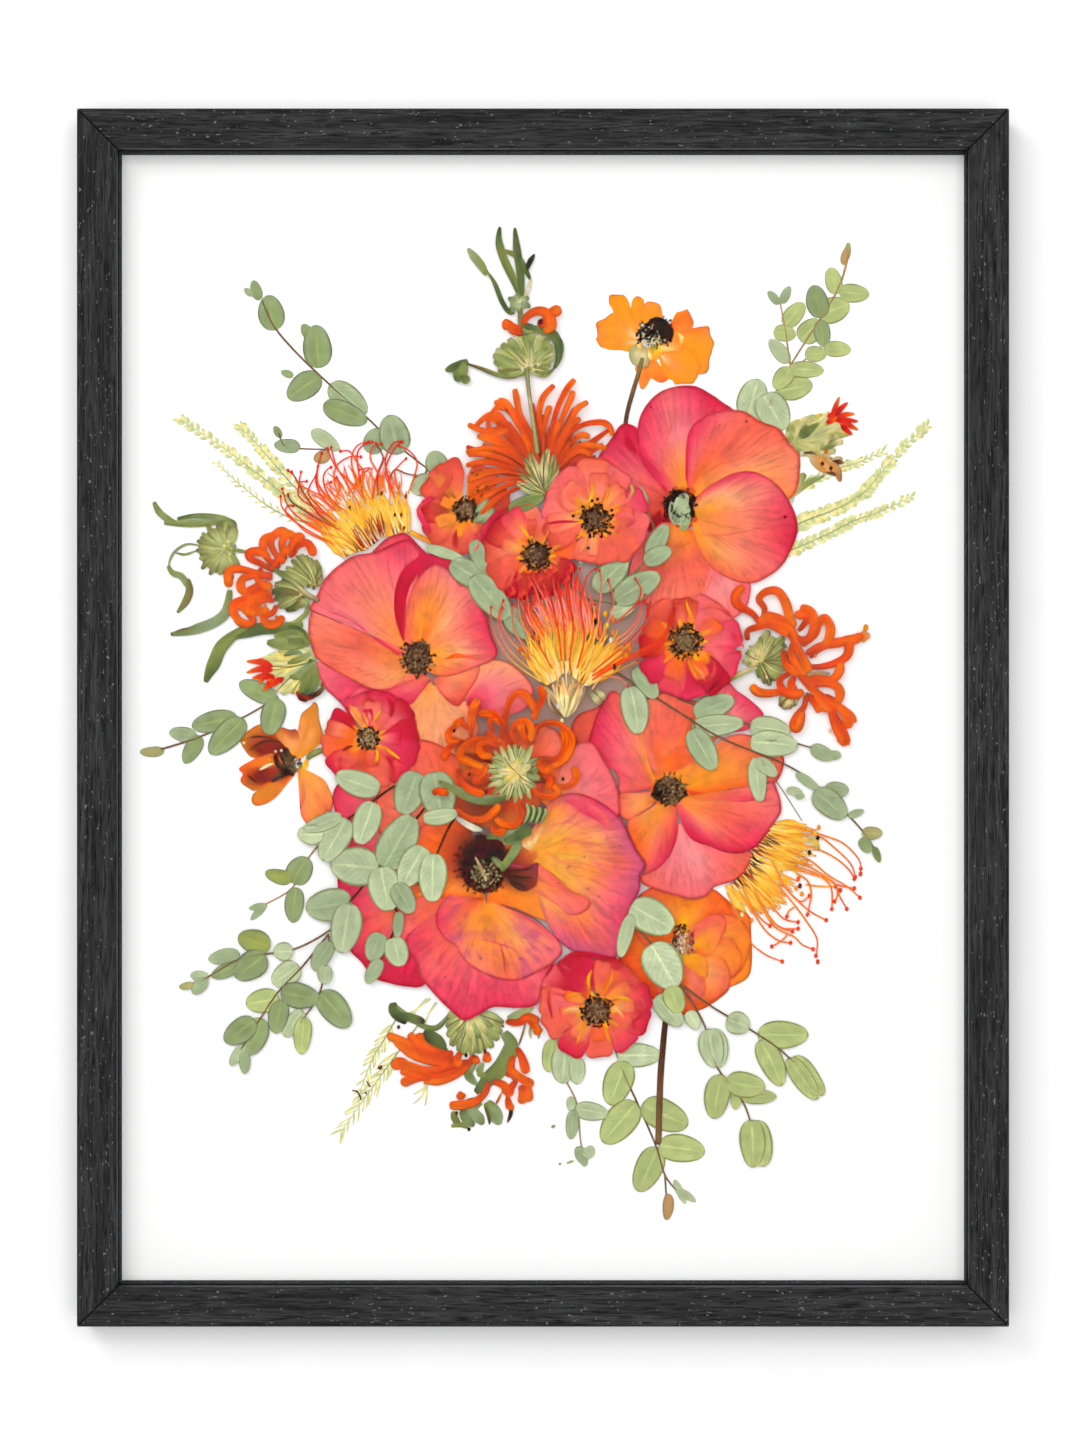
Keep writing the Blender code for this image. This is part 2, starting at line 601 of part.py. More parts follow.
# ---------------------------------------------------------------- laying the pieces down
def specimens():
    """Every pressed piece: name, material and outlines, in the order in which they were laid."""
    return [
        ("eucalyptus_top_left", "sage", eucalyptus_top_left()),
        ("eucalyptus_small_left", "sage", eucalyptus_small_left()),
        ("eucalyptus_top_right", "sage", eucalyptus_top_right()),
        ("plume_left", "straw", plume_left()),
        ("plume_right", "straw", plume_right()),
        ("plume_bottom", "straw", plume_bottom()),
        ("lily_left", "orange", lily_left()),
        ("poppy_top", "orange", poppy_top()),
        ("leonotis_bud_right", "olive", leonotis_bud_right()),
        ("rose_orange", "orange", rose_orange()),
        ("protea_left", "yellow", protea_left()),
        ("eucalyptus_left", "sage", eucalyptus_left()),
        ("leonotis_left_bud", "olive", leonotis_left_bud()),
        ("leonotis_left", "olive", leonotis_left()),
        ("protea_right", "yellow", protea_right()),
        ("rose_upper_right", "rose", rose_upper_right()),
        ("rose_lower_right", "rose", rose_lower_right()),
        ("rose_left", "rose", rose_left()),
        ("leonotis_bottom", "olive", leonotis_bottom()),
        ("rose_bottom", "rose", rose_bottom()),
        ("spray_rose_left_low", "rose", double_rose(-92, -11, 52, 54)),
        ("eucalyptus_right_upper", "sage", eucalyptus_right_upper()),
        ("eucalyptus_right_lower", "sage", eucalyptus_right_lower()),
        ("leonotis_right", "orange", leonotis_right()),
        ("spray_rose_top_left", "rose", double_rose(-42, 110, 50, 55)),
        ("leonotis_top", "orange", leonotis_top()),
        ("eucalyptus_center", "sage", eucalyptus_center()),
        ("spray_rose_center", "rose", double_rose(-9, 87, 54, 54)),
        ("spray_rose_center_right", "rose", double_rose(28, 109, 56, 59)),
        ("spray_rose_mid_right", "rose", double_rose(78, 37, 57, 56)),
        ("eucalyptus_bottom_left", "sage", eucalyptus_bottom_left()),
        ("eucalyptus_left_small", "sage", eucalyptus_left_small()),
        ("eucalyptus_left_low", "sage", eucalyptus_left_low()),
        ("eucalyptus_bottom", "sage", eucalyptus_bottom()),
        ("eucalyptus_bottom_small", "sage", eucalyptus_bottom_small()),
        ("eucalyptus_bottom_right", "sage", eucalyptus_bottom_right()),
        ("spray_rose_bottom", "rose", double_rose(28, -153, 59, 57)),
        ("protea_center", "yellow", protea_center()),
        ("leonotis_center", "orange", leonotis_center()),
    ]


def cut_up(outlines):
    """Triangles that cover every outline, each with the list of the outlines it lies in."""
    corners, faces = [], []
    for outline in outlines:
        faces.append(list(range(len(corners), len(corners) + len(outline))))
        corners.extend(Vector(point) for point in outline)
    inside_only = 1
    merge_within = 0.02
    found = delaunay_2d_cdt(corners, [], faces, inside_only, merge_within)
    covered = [(face, owners) for face, owners in zip(found[2], found[5]) if owners]
    return found[0], covered


def span(outlines):
    xs = [x for outline in outlines for x, _ in outline]
    zs = [z for outline in outlines for _, z in outline]
    return min(xs), max(xs), min(zs), max(zs)


def cross(first, second):
    """True where two pieces would share some of the board."""
    a, b = span(first), span(second)
    if a[1] < b[0] or b[1] < a[0] or a[3] < b[2] or b[3] < a[2]:
        return False
    _, covered = cut_up(first + second)
    for _, owners in covered:
        if min(owners) < len(first) <= max(owners):
            return True
    return False


def pressed(name, outlines, layer, look):
    """All of a piece's outlines as one flat solid, its back PIECE_T in front of the layer below."""
    corners, covered = cut_up(outlines)
    front = BOARD_Y - (layer + 1) * LAYER
    bm = bmesh.new()
    verts = [bm.verts.new((x * MM, front, CENTER_Z + z * MM)) for x, z in corners]
    for face, _ in covered:
        bm.faces.new([verts[index] for index in face])
    loose = [vert for vert in bm.verts if not vert.link_faces]
    bmesh.ops.delete(bm, geom=loose, context="VERTS")
    bmesh.ops.dissolve_limit(bm, angle_limit=0.001, verts=bm.verts, edges=bm.edges)
    bmesh.ops.triangulate(bm, faces=bm.faces)
    thicken(bm, PIECE_T)
    return finish(name, bm, look)


def lay_down(looks):
    """Lay the pieces on the board in order, each just above the highest piece that it crosses."""
    placed = []
    for name, look, outlines in specimens():
        below = [layer for layer, others in placed if cross(outlines, others)]
        layer = max(below) + 1 if below else 0
        placed.append((layer, outlines))
        pressed(name, outlines, layer, looks[look])


def main():
    clear_scene()
    stained = material("black-stained oak", (0.035, 0.036, 0.038), 0.55)
    frame(stained)
    glazing(material("picture glass", (1.0, 1.0, 1.0), 0.02, transmission=1.0))
    spacers(material("black spacer", (0.04, 0.04, 0.042), 0.6))
    rag = material("white rag board", (0.93, 0.93, 0.92), 0.9)
    boards(rag, material("grey board", (0.45, 0.42, 0.38), 0.9))
    steel = material("zinc-plated steel", (0.55, 0.56, 0.58), 0.35, metallic=1.0)
    points(steel)
    hanger(steel)
    bumpers(material("black felt", (0.02, 0.02, 0.02), 0.95))
    lay_down({
        "rose": material("rose petal", (0.80, 0.13, 0.12), 0.8),
        "orange": material("orange petal", (0.90, 0.25, 0.02), 0.8),
        "yellow": material("protea style", (0.88, 0.50, 0.05), 0.8),
        "olive": material("lion's ear calyx", (0.30, 0.32, 0.08), 0.85),
        "sage": material("eucalyptus leaf", (0.33, 0.43, 0.25), 0.85),
        "straw": material("dried plume", (0.66, 0.68, 0.36), 0.85),
    })


main()
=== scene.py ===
# %% [markdown]
# # Pressed flowers in a deep picture frame
#
# A black-stained oak frame holds glass, black spacers and a white cotton board. On the board lies a
# bouquet that was dried flat under weight: roses, pincushion proteas, lion's ear and eucalyptus. The
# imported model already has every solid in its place. This notebook gives the made parts their
# finishes, and puts a real pressed specimen where each plain slab lies.

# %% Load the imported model
import math
import random

import bmesh
import bpy
from mathutils import Matrix, Vector, noise


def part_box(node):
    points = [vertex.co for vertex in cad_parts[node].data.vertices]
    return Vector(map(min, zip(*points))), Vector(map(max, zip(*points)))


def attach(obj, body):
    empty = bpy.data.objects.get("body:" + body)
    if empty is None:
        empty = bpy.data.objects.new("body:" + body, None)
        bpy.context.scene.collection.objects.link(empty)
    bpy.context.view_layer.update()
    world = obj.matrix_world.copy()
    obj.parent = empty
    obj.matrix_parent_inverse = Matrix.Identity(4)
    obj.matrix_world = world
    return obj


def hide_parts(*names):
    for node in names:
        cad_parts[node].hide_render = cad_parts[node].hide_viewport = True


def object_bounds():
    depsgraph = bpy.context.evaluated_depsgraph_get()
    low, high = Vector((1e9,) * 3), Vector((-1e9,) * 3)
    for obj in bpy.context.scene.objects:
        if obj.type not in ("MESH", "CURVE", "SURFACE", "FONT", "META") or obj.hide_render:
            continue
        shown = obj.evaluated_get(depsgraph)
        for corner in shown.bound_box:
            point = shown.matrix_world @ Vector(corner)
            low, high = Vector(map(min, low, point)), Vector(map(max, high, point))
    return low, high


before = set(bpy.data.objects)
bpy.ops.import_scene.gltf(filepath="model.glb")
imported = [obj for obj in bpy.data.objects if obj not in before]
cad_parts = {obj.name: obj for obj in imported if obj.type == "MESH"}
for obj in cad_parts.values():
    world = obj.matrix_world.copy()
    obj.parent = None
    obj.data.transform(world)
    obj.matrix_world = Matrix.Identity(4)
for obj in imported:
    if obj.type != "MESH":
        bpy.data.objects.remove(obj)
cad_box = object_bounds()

print(len(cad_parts), "nodes;", "box in mm:", [[round(1000 * v, 1) for v in corner] for corner in cad_box])

# %% [markdown]
# ## Where things are
#
# Flowers are easiest to draw on paper, in millimetres from the middle of the board, with x to the
# right and z up. The board and the glass give the two depths that everything else hangs from: a
# height is measured in millimetres from the board's face towards the viewer.

# %% Sizes that the model gives
MM = 0.001
board_low, board_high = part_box("mount_board")
BOARD_Y = board_low.y
MIDDLE_Z = (board_low.z + board_high.z) / 2
HALF_WIDTH = (cad_box[1][0] - cad_box[0][0]) / 2
HALF_HEIGHT = cad_box[1][2] - MIDDLE_Z
CAVITY = (BOARD_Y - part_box("glass")[1].y) / MM
RAIL = (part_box("rail_right")[1].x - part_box("rail_right")[0].x) / MM
FRONT_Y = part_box("rail_top")[0].y
print(f"board to glass {CAVITY:.1f} mm, rail {RAIL:.1f} mm wide")


# %% [markdown]
# ## Two helpers for materials
#
# Colours are given as sRGB hex codes, but a shader wants linear light, so one function
# converts them. A second one adds a node, sets it up and links it, which keeps each material short
# enough to read from top to bottom.

# %% Colour and node helpers
def channels(code):
    """Red, green and blue of an sRGB hex code, each 0 to 1."""
    return [int(code[at:at + 2], 16) / 255 for at in (1, 3, 5)]


def linear(color):
    """Linear light for an sRGB colour, which is a hex code or three channels."""
    parts = channels(color) if isinstance(color, str) else color
    return tuple(p / 12.92 if p <= 0.04045 else ((p + 0.055) / 1.055) ** 2.4 for p in parts)


def add(tree, kind, inputs=None, **settings):
    """A node with its settings. Its inputs are given as values, as hex codes or as other nodes."""
    node = tree.nodes.new(kind)
    for name, value in settings.items():
        setattr(node, name, value)
    for name, value in (inputs or {}).items():
        if isinstance(name, int):
            socket = node.inputs[name]
        else:
            socket = next(s for s in node.inputs if s.enabled and s.name == name)
        if isinstance(value, bpy.types.Node):
            value = next(s for s in value.outputs if s.enabled)
        if isinstance(value, bpy.types.NodeSocket):
            tree.links.new(value, socket)
        elif isinstance(value, str):
            socket.default_value = (*linear(value), 1)
        else:
            socket.default_value = value
    return node


def new_material(name):
    """A new material with its node tree, and a node that gives the place on the object in metres."""
    made = bpy.data.materials.new(name)
    made.use_nodes = True
    where = made.node_tree.nodes.new("ShaderNodeTexCoord").outputs["Object"]
    return made, made.node_tree, where


def surface(tree, color, roughness, height=None, strength=0.3, depth=0.1, **sockets):
    """Feed the Principled shader: a colour, a roughness, and a bump that is depth mm high."""
    shader = tree.nodes["Principled BSDF"]
    given = {"Base Color": color, "Roughness": roughness}
    given.update({name.replace("_", " "): value for name, value in sockets.items()})
    if height is not None:
        given["Normal"] = add(tree, "ShaderNodeBump", {
            "Height": height, "Strength": strength, "Distance": depth * MM})
    for name, value in given.items():
        if isinstance(value, bpy.types.Node):
            tree.links.new(next(s for s in value.outputs if s.enabled), shader.inputs[name])
        elif isinstance(value, str):
            shader.inputs[name].default_value = (*linear(value), 1)
        else:
            shader.inputs[name].default_value = value


def give(look, *nodes):
    """Put a material on CAD nodes."""
    for name in nodes:
        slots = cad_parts[name].material_slots
        for index in range(len(slots)):
            slots[index].material = look
    print(look.name, "on", ", ".join(nodes))


# %% [markdown]
# ## The rails: black-stained oak
#
# Oak is ring-porous: its open pores run along the grain as short dark dashes, and they stay open
# under a thin stain. A solid black would look like plastic. So two stretched noises are used, one
# for the pores and one for the slow change between early and late wood, and both also drive the
# bump. A few pale flecks are bare wood where the stain wore off. The upright rails need the same
# wood turned a quarter, which the Mapping node's scale does: long along the grain, short across it.

# %% Stained oak
PORE = (0.9, 12.0)           # mm across and along the grain
RING = (2.6, 70.0)
FLECK = (1.1, 2.6)
MITRE_LINE = (0.4, 0.9)      # mm from the joint, where its dark line starts to fade and ends
ARRIS_BAND = (-1.1, -0.7)    # mm from the outer edge, where the pooled stain starts and is full


def stained_oak(name, along):
    """Black-stained oak whose grain runs along the X or the Z axis."""
    look, tree, where = new_material(name)

    def stretched(size, detail, distortion):
        across, length = (1 / (value * MM) for value in size)
        scale = (length, across, across) if along == "X" else (across, across, length)
        mapped = add(tree, "ShaderNodeMapping", {"Vector": where, "Scale": scale})
        return add(tree, "ShaderNodeTexNoise", {
            "Vector": mapped, "Scale": 1.0, "Detail": detail, "Distortion": distortion})

    pore = add(tree, "ShaderNodeMapRange", {
        "Value": stretched(PORE, 2.0, 0.4), "From Min": 0.30, "From Max": 0.56})
    ring = stretched(RING, 3.0, 0.6)
    fleck = add(tree, "ShaderNodeMapRange", {
        "Value": stretched(FLECK, 1.0, 0.0), "From Min": 0.70, "From Max": 0.76})
    wood = add(tree, "ShaderNodeValToRGB", {"Fac": ring})
    for element, position, code in zip(wood.color_ramp.elements, (0.34, 0.66), ("#1e1e1f", "#3b3b3b")):
        element.position = position
        element.color = (*linear(code), 1)
    pored = add(tree, "ShaderNodeMix", {"Factor": pore, "A": "#0a0a0b", "B": wood}, data_type="RGBA")
    flecked = add(tree, "ShaderNodeMix", {"Factor": fleck, "A": pored, "B": "#6e6d6a"}, data_type="RGBA")
    place = add(tree, "ShaderNodeSeparateXYZ", {"Vector": where})
    out_x = add(tree, "ShaderNodeMath", {0: place.outputs["X"]}, operation="ABSOLUTE")
    from_middle = add(tree, "ShaderNodeMath", {0: place.outputs["Z"], 1: MIDDLE_Z}, operation="SUBTRACT")
    out_z = add(tree, "ShaderNodeMath", {0: from_middle}, operation="ABSOLUTE")
    past_x = add(tree, "ShaderNodeMath", {0: out_x, 1: HALF_WIDTH}, operation="SUBTRACT")
    past_z = add(tree, "ShaderNodeMath", {0: out_z, 1: HALF_HEIGHT}, operation="SUBTRACT")
    apart = add(tree, "ShaderNodeMath", {0: past_x, 1: past_z}, operation="SUBTRACT")
    off_mitre = add(tree, "ShaderNodeMath", {0: apart}, operation="ABSOLUTE")
    mitre = add(tree, "ShaderNodeMapRange", {
        "Value": off_mitre, "From Min": MITRE_LINE[0] * MM, "From Max": MITRE_LINE[1] * MM,
        "To Min": 1.0, "To Max": 0.0})
    nearest = add(tree, "ShaderNodeMath", {0: past_x, 1: past_z}, operation="MAXIMUM")
    arris = add(tree, "ShaderNodeMapRange", {
        "Value": nearest, "From Min": ARRIS_BAND[0] * MM, "From Max": ARRIS_BAND[1] * MM,
        "To Min": 0.0, "To Max": 0.85})
    pooled = add(tree, "ShaderNodeMath", {0: mitre, 1: arris}, operation="MAXIMUM")
    flecked = add(tree, "ShaderNodeMix", {"Factor": pooled, "A": flecked, "B": "#060606"}, data_type="RGBA")
    relief = add(tree, "ShaderNodeMath", {0: pore, 1: ring}, operation="ADD")
    surface(tree, flecked, 0.55, relief, 0.55, 0.25, Specular_IOR_Level=0.3)
    return look


give(stained_oak("black-stained oak, grain across", "X"), "rail_top", "rail_bottom")
give(stained_oak("black-stained oak, grain upright", "Z"), "rail_left", "rail_right")

# %% [markdown]
# ## Board, spacers and backing
#
# The board is cotton rag: pure white, matt, with a faint tooth from the felt it was pressed on. The
# spacers are extruded black plastic with a satin face. The backing is grey recycled board, in which
# longer fibres of other papers show as flecks.

# %% Paper, plastic and grey board
BOUQUET_SHADE_SCALE = (8.4, 0.0, 7.4)    # 1 over the reach in metres of the painted shade under the bouquet


def cotton_board():
    look, tree, where = new_material("white cotton rag board")
    tooth = add(tree, "ShaderNodeTexNoise", {"Vector": where, "Scale": 1 / (0.9 * MM), "Detail": 4.0})
    shade = add(tree, "ShaderNodeMix", {
        "Factor": tooth, "A": "#f1f1f0", "B": "#f8f8f7"}, data_type="RGBA")
    # Painted shade: the board turns darker and browner towards the middle of the bouquet, for the shade in the gaps
    # between the stacked flowers.
    spread_out = add(tree, "ShaderNodeMapping", {
        "Vector": where, "Location": (-0.04, 0.0, -BOUQUET_SHADE_SCALE[2] * MIDDLE_Z), "Scale": BOUQUET_SHADE_SCALE})
    far = add(tree, "ShaderNodeVectorMath", {0: spread_out}, operation="LENGTH")
    painted_shade_mask = add(tree, "ShaderNodeMapRange", {
        "Value": far.outputs["Value"], "From Min": 0.55, "From Max": 1.0, "To Min": 0.9, "To Max": 0.0})
    stained = add(tree, "ShaderNodeMix", {"Factor": painted_shade_mask, "A": shade, "B": "#a07866"}, data_type="RGBA")
    surface(tree, stained, 0.92, tooth, 0.25, 0.05, Specular_IOR_Level=0.2)
    return look


def spacer_plastic():
    look, tree, where = new_material("extruded black polystyrene")
    grain = add(tree, "ShaderNodeTexNoise", {"Vector": where, "Scale": 1 / (0.4 * MM), "Detail": 2.0})
    rough = add(tree, "ShaderNodeMapRange", {"Value": grain, "To Min": 0.75, "To Max": 0.9})
    surface(tree, "#151516", rough, Specular_IOR_Level=0.1)
    return look


def grey_board():
    look, tree, where = new_material("grey recycled board")
    cloud = add(tree, "ShaderNodeTexNoise", {"Vector": where, "Scale": 1 / (18 * MM), "Detail": 6.0})
    stretch = add(tree, "ShaderNodeMapping", {
        "Vector": where, "Scale": (1 / (4 * MM), 1 / MM, 1 / (0.7 * MM))})
    fibre = add(tree, "ShaderNodeTexNoise", {
        "Vector": stretch, "Scale": 1.0, "Detail": 2.0, "Distortion": 2.5})
    fleck = add(tree, "ShaderNodeMapRange", {"Value": fibre, "From Min": 0.66, "From Max": 0.7})
    base = add(tree, "ShaderNodeMix", {
        "Factor": cloud, "A": "#8f887c", "B": "#b0a898"}, data_type="RGBA")
    flecked = add(tree, "ShaderNodeMix", {"Factor": fleck, "A": base, "B": "#6d675e"}, data_type="RGBA")
    surface(tree, flecked, 0.9, fibre, 0.3, 0.1)
    return look


give(cotton_board(), "mount_board")
give(spacer_plastic(), "spacer_top", "spacer_bottom", "spacer_left", "spacer_right")
give(grey_board(), "backing_board")

# %% [markdown]
# ## Steel and felt on the back
#
# The hanger and the framer's points are stamped from zinc-plated sheet. Zinc grows in small
# crystals, so the gloss changes in patches a few millimetres wide, over faint rolling lines. The
# bumpers are wool felt: no gloss at all, with a light fuzz at grazing angles from the sheen.

# %% Zinc-plated steel and felt
def zinc_plate():
    look, tree, where = new_material("zinc-plated steel")
    crystal = add(tree, "ShaderNodeTexVoronoi", {"Vector": where, "Scale": 1 / (2.5 * MM)})
    lines = add(tree, "ShaderNodeMapping", {
        "Vector": where, "Scale": (1 / (8 * MM), 1 / (0.3 * MM), 1 / (0.3 * MM))})
    rolled = add(tree, "ShaderNodeTexNoise", {"Vector": lines, "Scale": 1.0, "Detail": 3.0})
    rough = add(tree, "ShaderNodeMapRange", {
        "Value": crystal.outputs["Color"], "To Min": 0.28, "To Max": 0.46})
    surface(tree, "#c3c6c9", rough, rolled, 0.2, 0.03, Metallic=1.0)
    return look


def wool_felt():
    look, tree, where = new_material("black wool felt")
    fibre = add(tree, "ShaderNodeTexNoise", {
        "Vector": where, "Scale": 1 / (0.35 * MM), "Detail": 5.0, "Distortion": 3.0})
    shade = add(tree, "ShaderNodeMix", {
        "Factor": fibre, "A": "#101011", "B": "#2c2c2d"}, data_type="RGBA")
    surface(tree, shade, 1.0, fibre, 0.8, 0.2, Sheen_Weight=0.3)
    return look


give(zinc_plate(), "hanger", *(f"point_{number}" for number in range(1, 7)))
give(wool_felt(), "bumper_left", "bumper_right")

# %% [markdown]
# ## Glass
#
# Float glass is flat and smooth, so it has no roughness at all, and the IOR of soda-lime glass. A
# path tracer would spend its time on light bent through it, for a pane that bends almost nothing.
# So the pane casts no shadow, and bounced light passes it.

# %% Picture glass
SODA_LIME_IOR = 1.52


def float_glass():
    look, tree, where = new_material("coated float glass")
    haze = add(tree, "ShaderNodeTexNoise", {"Vector": where, "Scale": 1 / (60 * MM), "Detail": 1.0})
    rough = add(tree, "ShaderNodeMapRange", {"Value": haze, "To Min": 0.0, "To Max": 0.004})
    surface(tree, "#ffffff", rough, IOR=SODA_LIME_IOR, Transmission_Weight=1.0, Specular_Tint="#3a3f45")
    return look


give(float_glass(), "glass")
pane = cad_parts["glass"]
pane.visible_shadow = False
pane.visible_diffuse = False

# %% [markdown]
# ## How a pressed flower lies
#
# A flower press flattens a plant, but not evenly. Where many stems and petals cross, the pile is
# close to a centimetre thick, and the loose ends around it lie down on the board. So every piece
# keeps the height that the model gives it in the middle, and sinks towards the board further out.

# %% Height above the board
THICK_REACH = 105.0       # mm from the middle, as far as the pile stays thick
LOOSE_REACH = 200.0
LOOSE_SHARE = 0.3         # what is left of a piece's height at the loose ends


def sunk(x, z):
    """The share of its height that a piece keeps at x, z."""
    reach = math.hypot(x, 0.85 * z)
    out = min(max((reach - THICK_REACH) / (LOOSE_REACH - THICK_REACH), 0), 1)
    return 1 - (1 - LOOSE_SHARE) * out * out * (3 - 2 * out)


def lumps(x, z, size, seed=0.0):
    """A smooth random value, about -1 to 1, that changes over size mm."""
    return noise.noise(Vector((x / size, z / size, seed)))


print("height kept at the edge of the bouquet:", round(sunk(0, 200), 2))

# %% [markdown]
# ## Washes of colour
#
# A petal is never one colour: it runs from its base to its rim, and from side to side. A wash is
# written as words from a palette. Each group of words runs from base to rim, and the groups,
# parted by bars, run from the left side to the right. The wash is stored on the mesh as a colour
# attribute, which the material reads, so the colour follows the petal whatever its shape.

# %% The palette
PALETTE = {
    "gold": "#f79509", "amber": "#f68c30", "apricot": "#f59a55", "peach": "#f8a070", "cream": "#f7cfa0",
    "salmon": "#f67d60", "coral": "#ee5f47", "rose": "#f06468", "pink": "#f47a7e", "blush": "#f69490",
    "magenta": "#e22c52", "ruby": "#d4123a", "crimson": "#bc0a1e", "blood": "#8e0410", "brick": "#d5432c",
    "rust": "#a83418", "mauve": "#c84a78", "plum": "#8c3450", "vermilion": "#f0400c", "orange": "#f8620c",
    "tangerine": "#fb8410", "sunflower": "#fdbc10", "lemon": "#f3d24a", "butter": "#f4e39a",
    "scarlet": "#e02410", "oxblood": "#6a0c08", "umber": "#4a2410", "soot": "#1e110c", "bark": "#7a5a3c",
    "tan": "#b08a58", "straw": "#d8c890", "khaki": "#a39c62", "olive": "#8f9448", "moss": "#6f7c40",
    "ochre": "#d8801f",
    "pine": "#44552c", "fern": "#86955f", "sage": "#909f78", "mist": "#a7b38b", "dew": "#bac59c",
    "lime": "#a5b170", "chartreuse": "#b6be7a", "honey": "#f2b02c", "ember": "#e84a08", "corn": "#f8d060",
    "celery": "#dfe3a8", "grey": "#9aa093", "bone": "#eee4cc",
}


def wash(words):
    """A function of u and v, each 0 to 1 across and along, that gives a colour of the wash."""
    groups = []
    for group in words.split("|"):
        codes = [PALETTE[word] for word in group.split()]
        groups.append([Vector(channels(code)) for code in codes])

    def along(group, v):
        place = min(max(v, 0), 1) * (len(group) - 1)
        first = min(int(place), len(group) - 2) if len(group) > 1 else 0
        return group[first].lerp(group[min(first + 1, len(group) - 1)], place - first)

    def color(u, v):
        place = min(max(u, 0), 1) * (len(groups) - 1)
        first = min(int(place), len(groups) - 2) if len(groups) > 1 else 0
        return along(groups[first], v).lerp(along(groups[min(first + 1, len(groups) - 1)], v), place - first)

    return color


print(len(PALETTE), "colours")

# %% [markdown]
# ## One way to make anything thin
#
# A petal, a leaf and a strap are all a thin sheet. Each starts as a flat grid that is extruded to a
# closed slab, so it has a front, a back and a real edge. Then a function moves each corner to its
# place on the board. The slab's sharp border is marked, so that smooth shading doesn't round it.
#
# A stem or a style is a grid rolled into a tube. Its long sides meet and its ends close to a
# point, and welding the doubles turns them into a seam and two poles.

# %% A piece while it is made
BLOTCH_SIZE = 5.0        # mm, the size of the patches in which a petal dried a little darker
BLOTCH_SHARE = 0.07


def level(part):
    """Whether an edge or a face of a slab that still lies flat keeps to one height."""
    return len({round(corner.co.z) for corner in part.verts}) == 1


class Pressed:
    """The mesh of one pressed piece. Places are in mm on the board, heights in mm above the piece's bed."""

    def __init__(self, node):
        low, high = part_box(node)
        self.node = node
        self.bed = (BOARD_Y - high.y) / MM
        self.bm = bmesh.new()
        self.uv = self.bm.loops.layers.uv.new("growth")
        self.tint = self.bm.verts.layers.float_color.new("tint")
        self.parts = 0

    def set_down(self, verts, place, color, look=0):
        """Move each corner of one part from its u, v and front share to the board, and colour it."""
        self.parts += 1
        faces = {face for vert in verts for face in vert.link_faces}
        for face in faces:
            face.smooth = True
            face.material_index = look
            for loop in face.loops:
                u, v = loop.vert.co.x + 0.5, loop.vert.co.y + 0.5
                loop[self.uv].uv = (u + self.parts % 97, v)
        for vert in verts:
            u, v, front = vert.co.x + 0.5, vert.co.y + 0.5, vert.co.z + 1
            x, z, up, body = place(u, v, front)
            y = BOARD_Y - (sunk(x, z) * (self.bed + up) + body) * MM
            shaded = color(u, v) * (1 + BLOTCH_SHARE * lumps(x, z, BLOTCH_SIZE, self.parts))
            vert[self.tint] = (*linear([max(part, 0) for part in shaded]), 1)
            vert.co = (x * MM, y, MIDDLE_Z + z * MM)

    def slab(self, across, along, place, color, look=0):
        """A closed thin sheet."""
        grid = bmesh.ops.create_grid(self.bm, x_segments=across, y_segments=along, size=0.5)["verts"]
        faces = list({face for vert in grid for face in vert.link_faces})
        grown = bmesh.ops.extrude_face_region(self.bm, geom=faces, use_keep_orig=True)["geom"]
        back = [part for part in grown if isinstance(part, bmesh.types.BMVert)]
        bmesh.ops.translate(self.bm, verts=back, vec=(0, 0, -1))
        for edge in {edge for vert in grid + back for edge in vert.link_edges}:
            if level(edge) and not all(level(face) for face in edge.link_faces):
                edge.smooth = False
        self.set_down(grid + back, place, color, look)

    def rolled(self, sides, along, place, color, look=0):
        """A tube with closed ends."""
        grid = bmesh.ops.create_grid(self.bm, x_segments=sides, y_segments=along, size=0.5)["verts"]
        self.set_down(grid, place, color, look)
        bmesh.ops.remove_doubles(self.bm, verts=grid, dist=1e-7)

    def bead(self, x, z, up, radius, color, look=0, stretch=1.0, body=0.0):
        """A small ball, as an anther or a knob."""
        made = bmesh.ops.create_icosphere(self.bm, subdivisions=1, radius=radius)["verts"]
        value = (*linear(color), 1)
        y = BOARD_Y - (sunk(x, z) * (self.bed + up) + body) * MM
        for vert in made:
            vert[self.tint] = value
            vert.co = (vert.co.x * MM + x * MM, y + vert.co.y * MM, MIDDLE_Z + (z + vert.co.z * stretch) * MM)
        for face in {face for vert in made for face in vert.link_faces}:
            face.smooth = True
            face.material_index = look

    def lay(self, looks):
        """Finish the piece: it takes the place of its plain slab and rides on the frame's body."""
        bmesh.ops.recalc_face_normals(self.bm, faces=self.bm.faces)
        mesh = bpy.data.meshes.new("pressed_" + self.node)
        self.bm.to_mesh(mesh)
        self.bm.free()
        for look in looks:
            mesh.materials.append(look)
        made = bpy.data.objects.new("pressed_" + self.node, mesh)
        bpy.context.scene.collection.objects.link(made)
        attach(made, "root")
        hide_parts(self.node)
        triangles = sum(len(face.vertices) - 2 for face in mesh.polygons)
        print(f"{self.node}: {self.parts} parts, {triangles} triangles")


highest = min(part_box(node)[0].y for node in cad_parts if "rose" in node)
print(f"the roses' slabs reach {(BOARD_Y - highest) / MM:.1f} mm above the board")

# %% [markdown]
# ## Curves, petals, ribbons and tubes
#
# A curve passes smoothly through a few points picked by hand. A petal is fanned out from its base
# to such a curve, its rim, as a real petal's veins are. A ribbon and a tube follow a curve and take
# their width from a short list that is spread along it.

# %% Shapes that follow curves
def xz(text):
    """The points of a line drawn on paper: x and z in mm, as in "-93,86 -84.5,95"."""
    return [tuple(float(value) for value in point.split(",")) for point in text.split()]


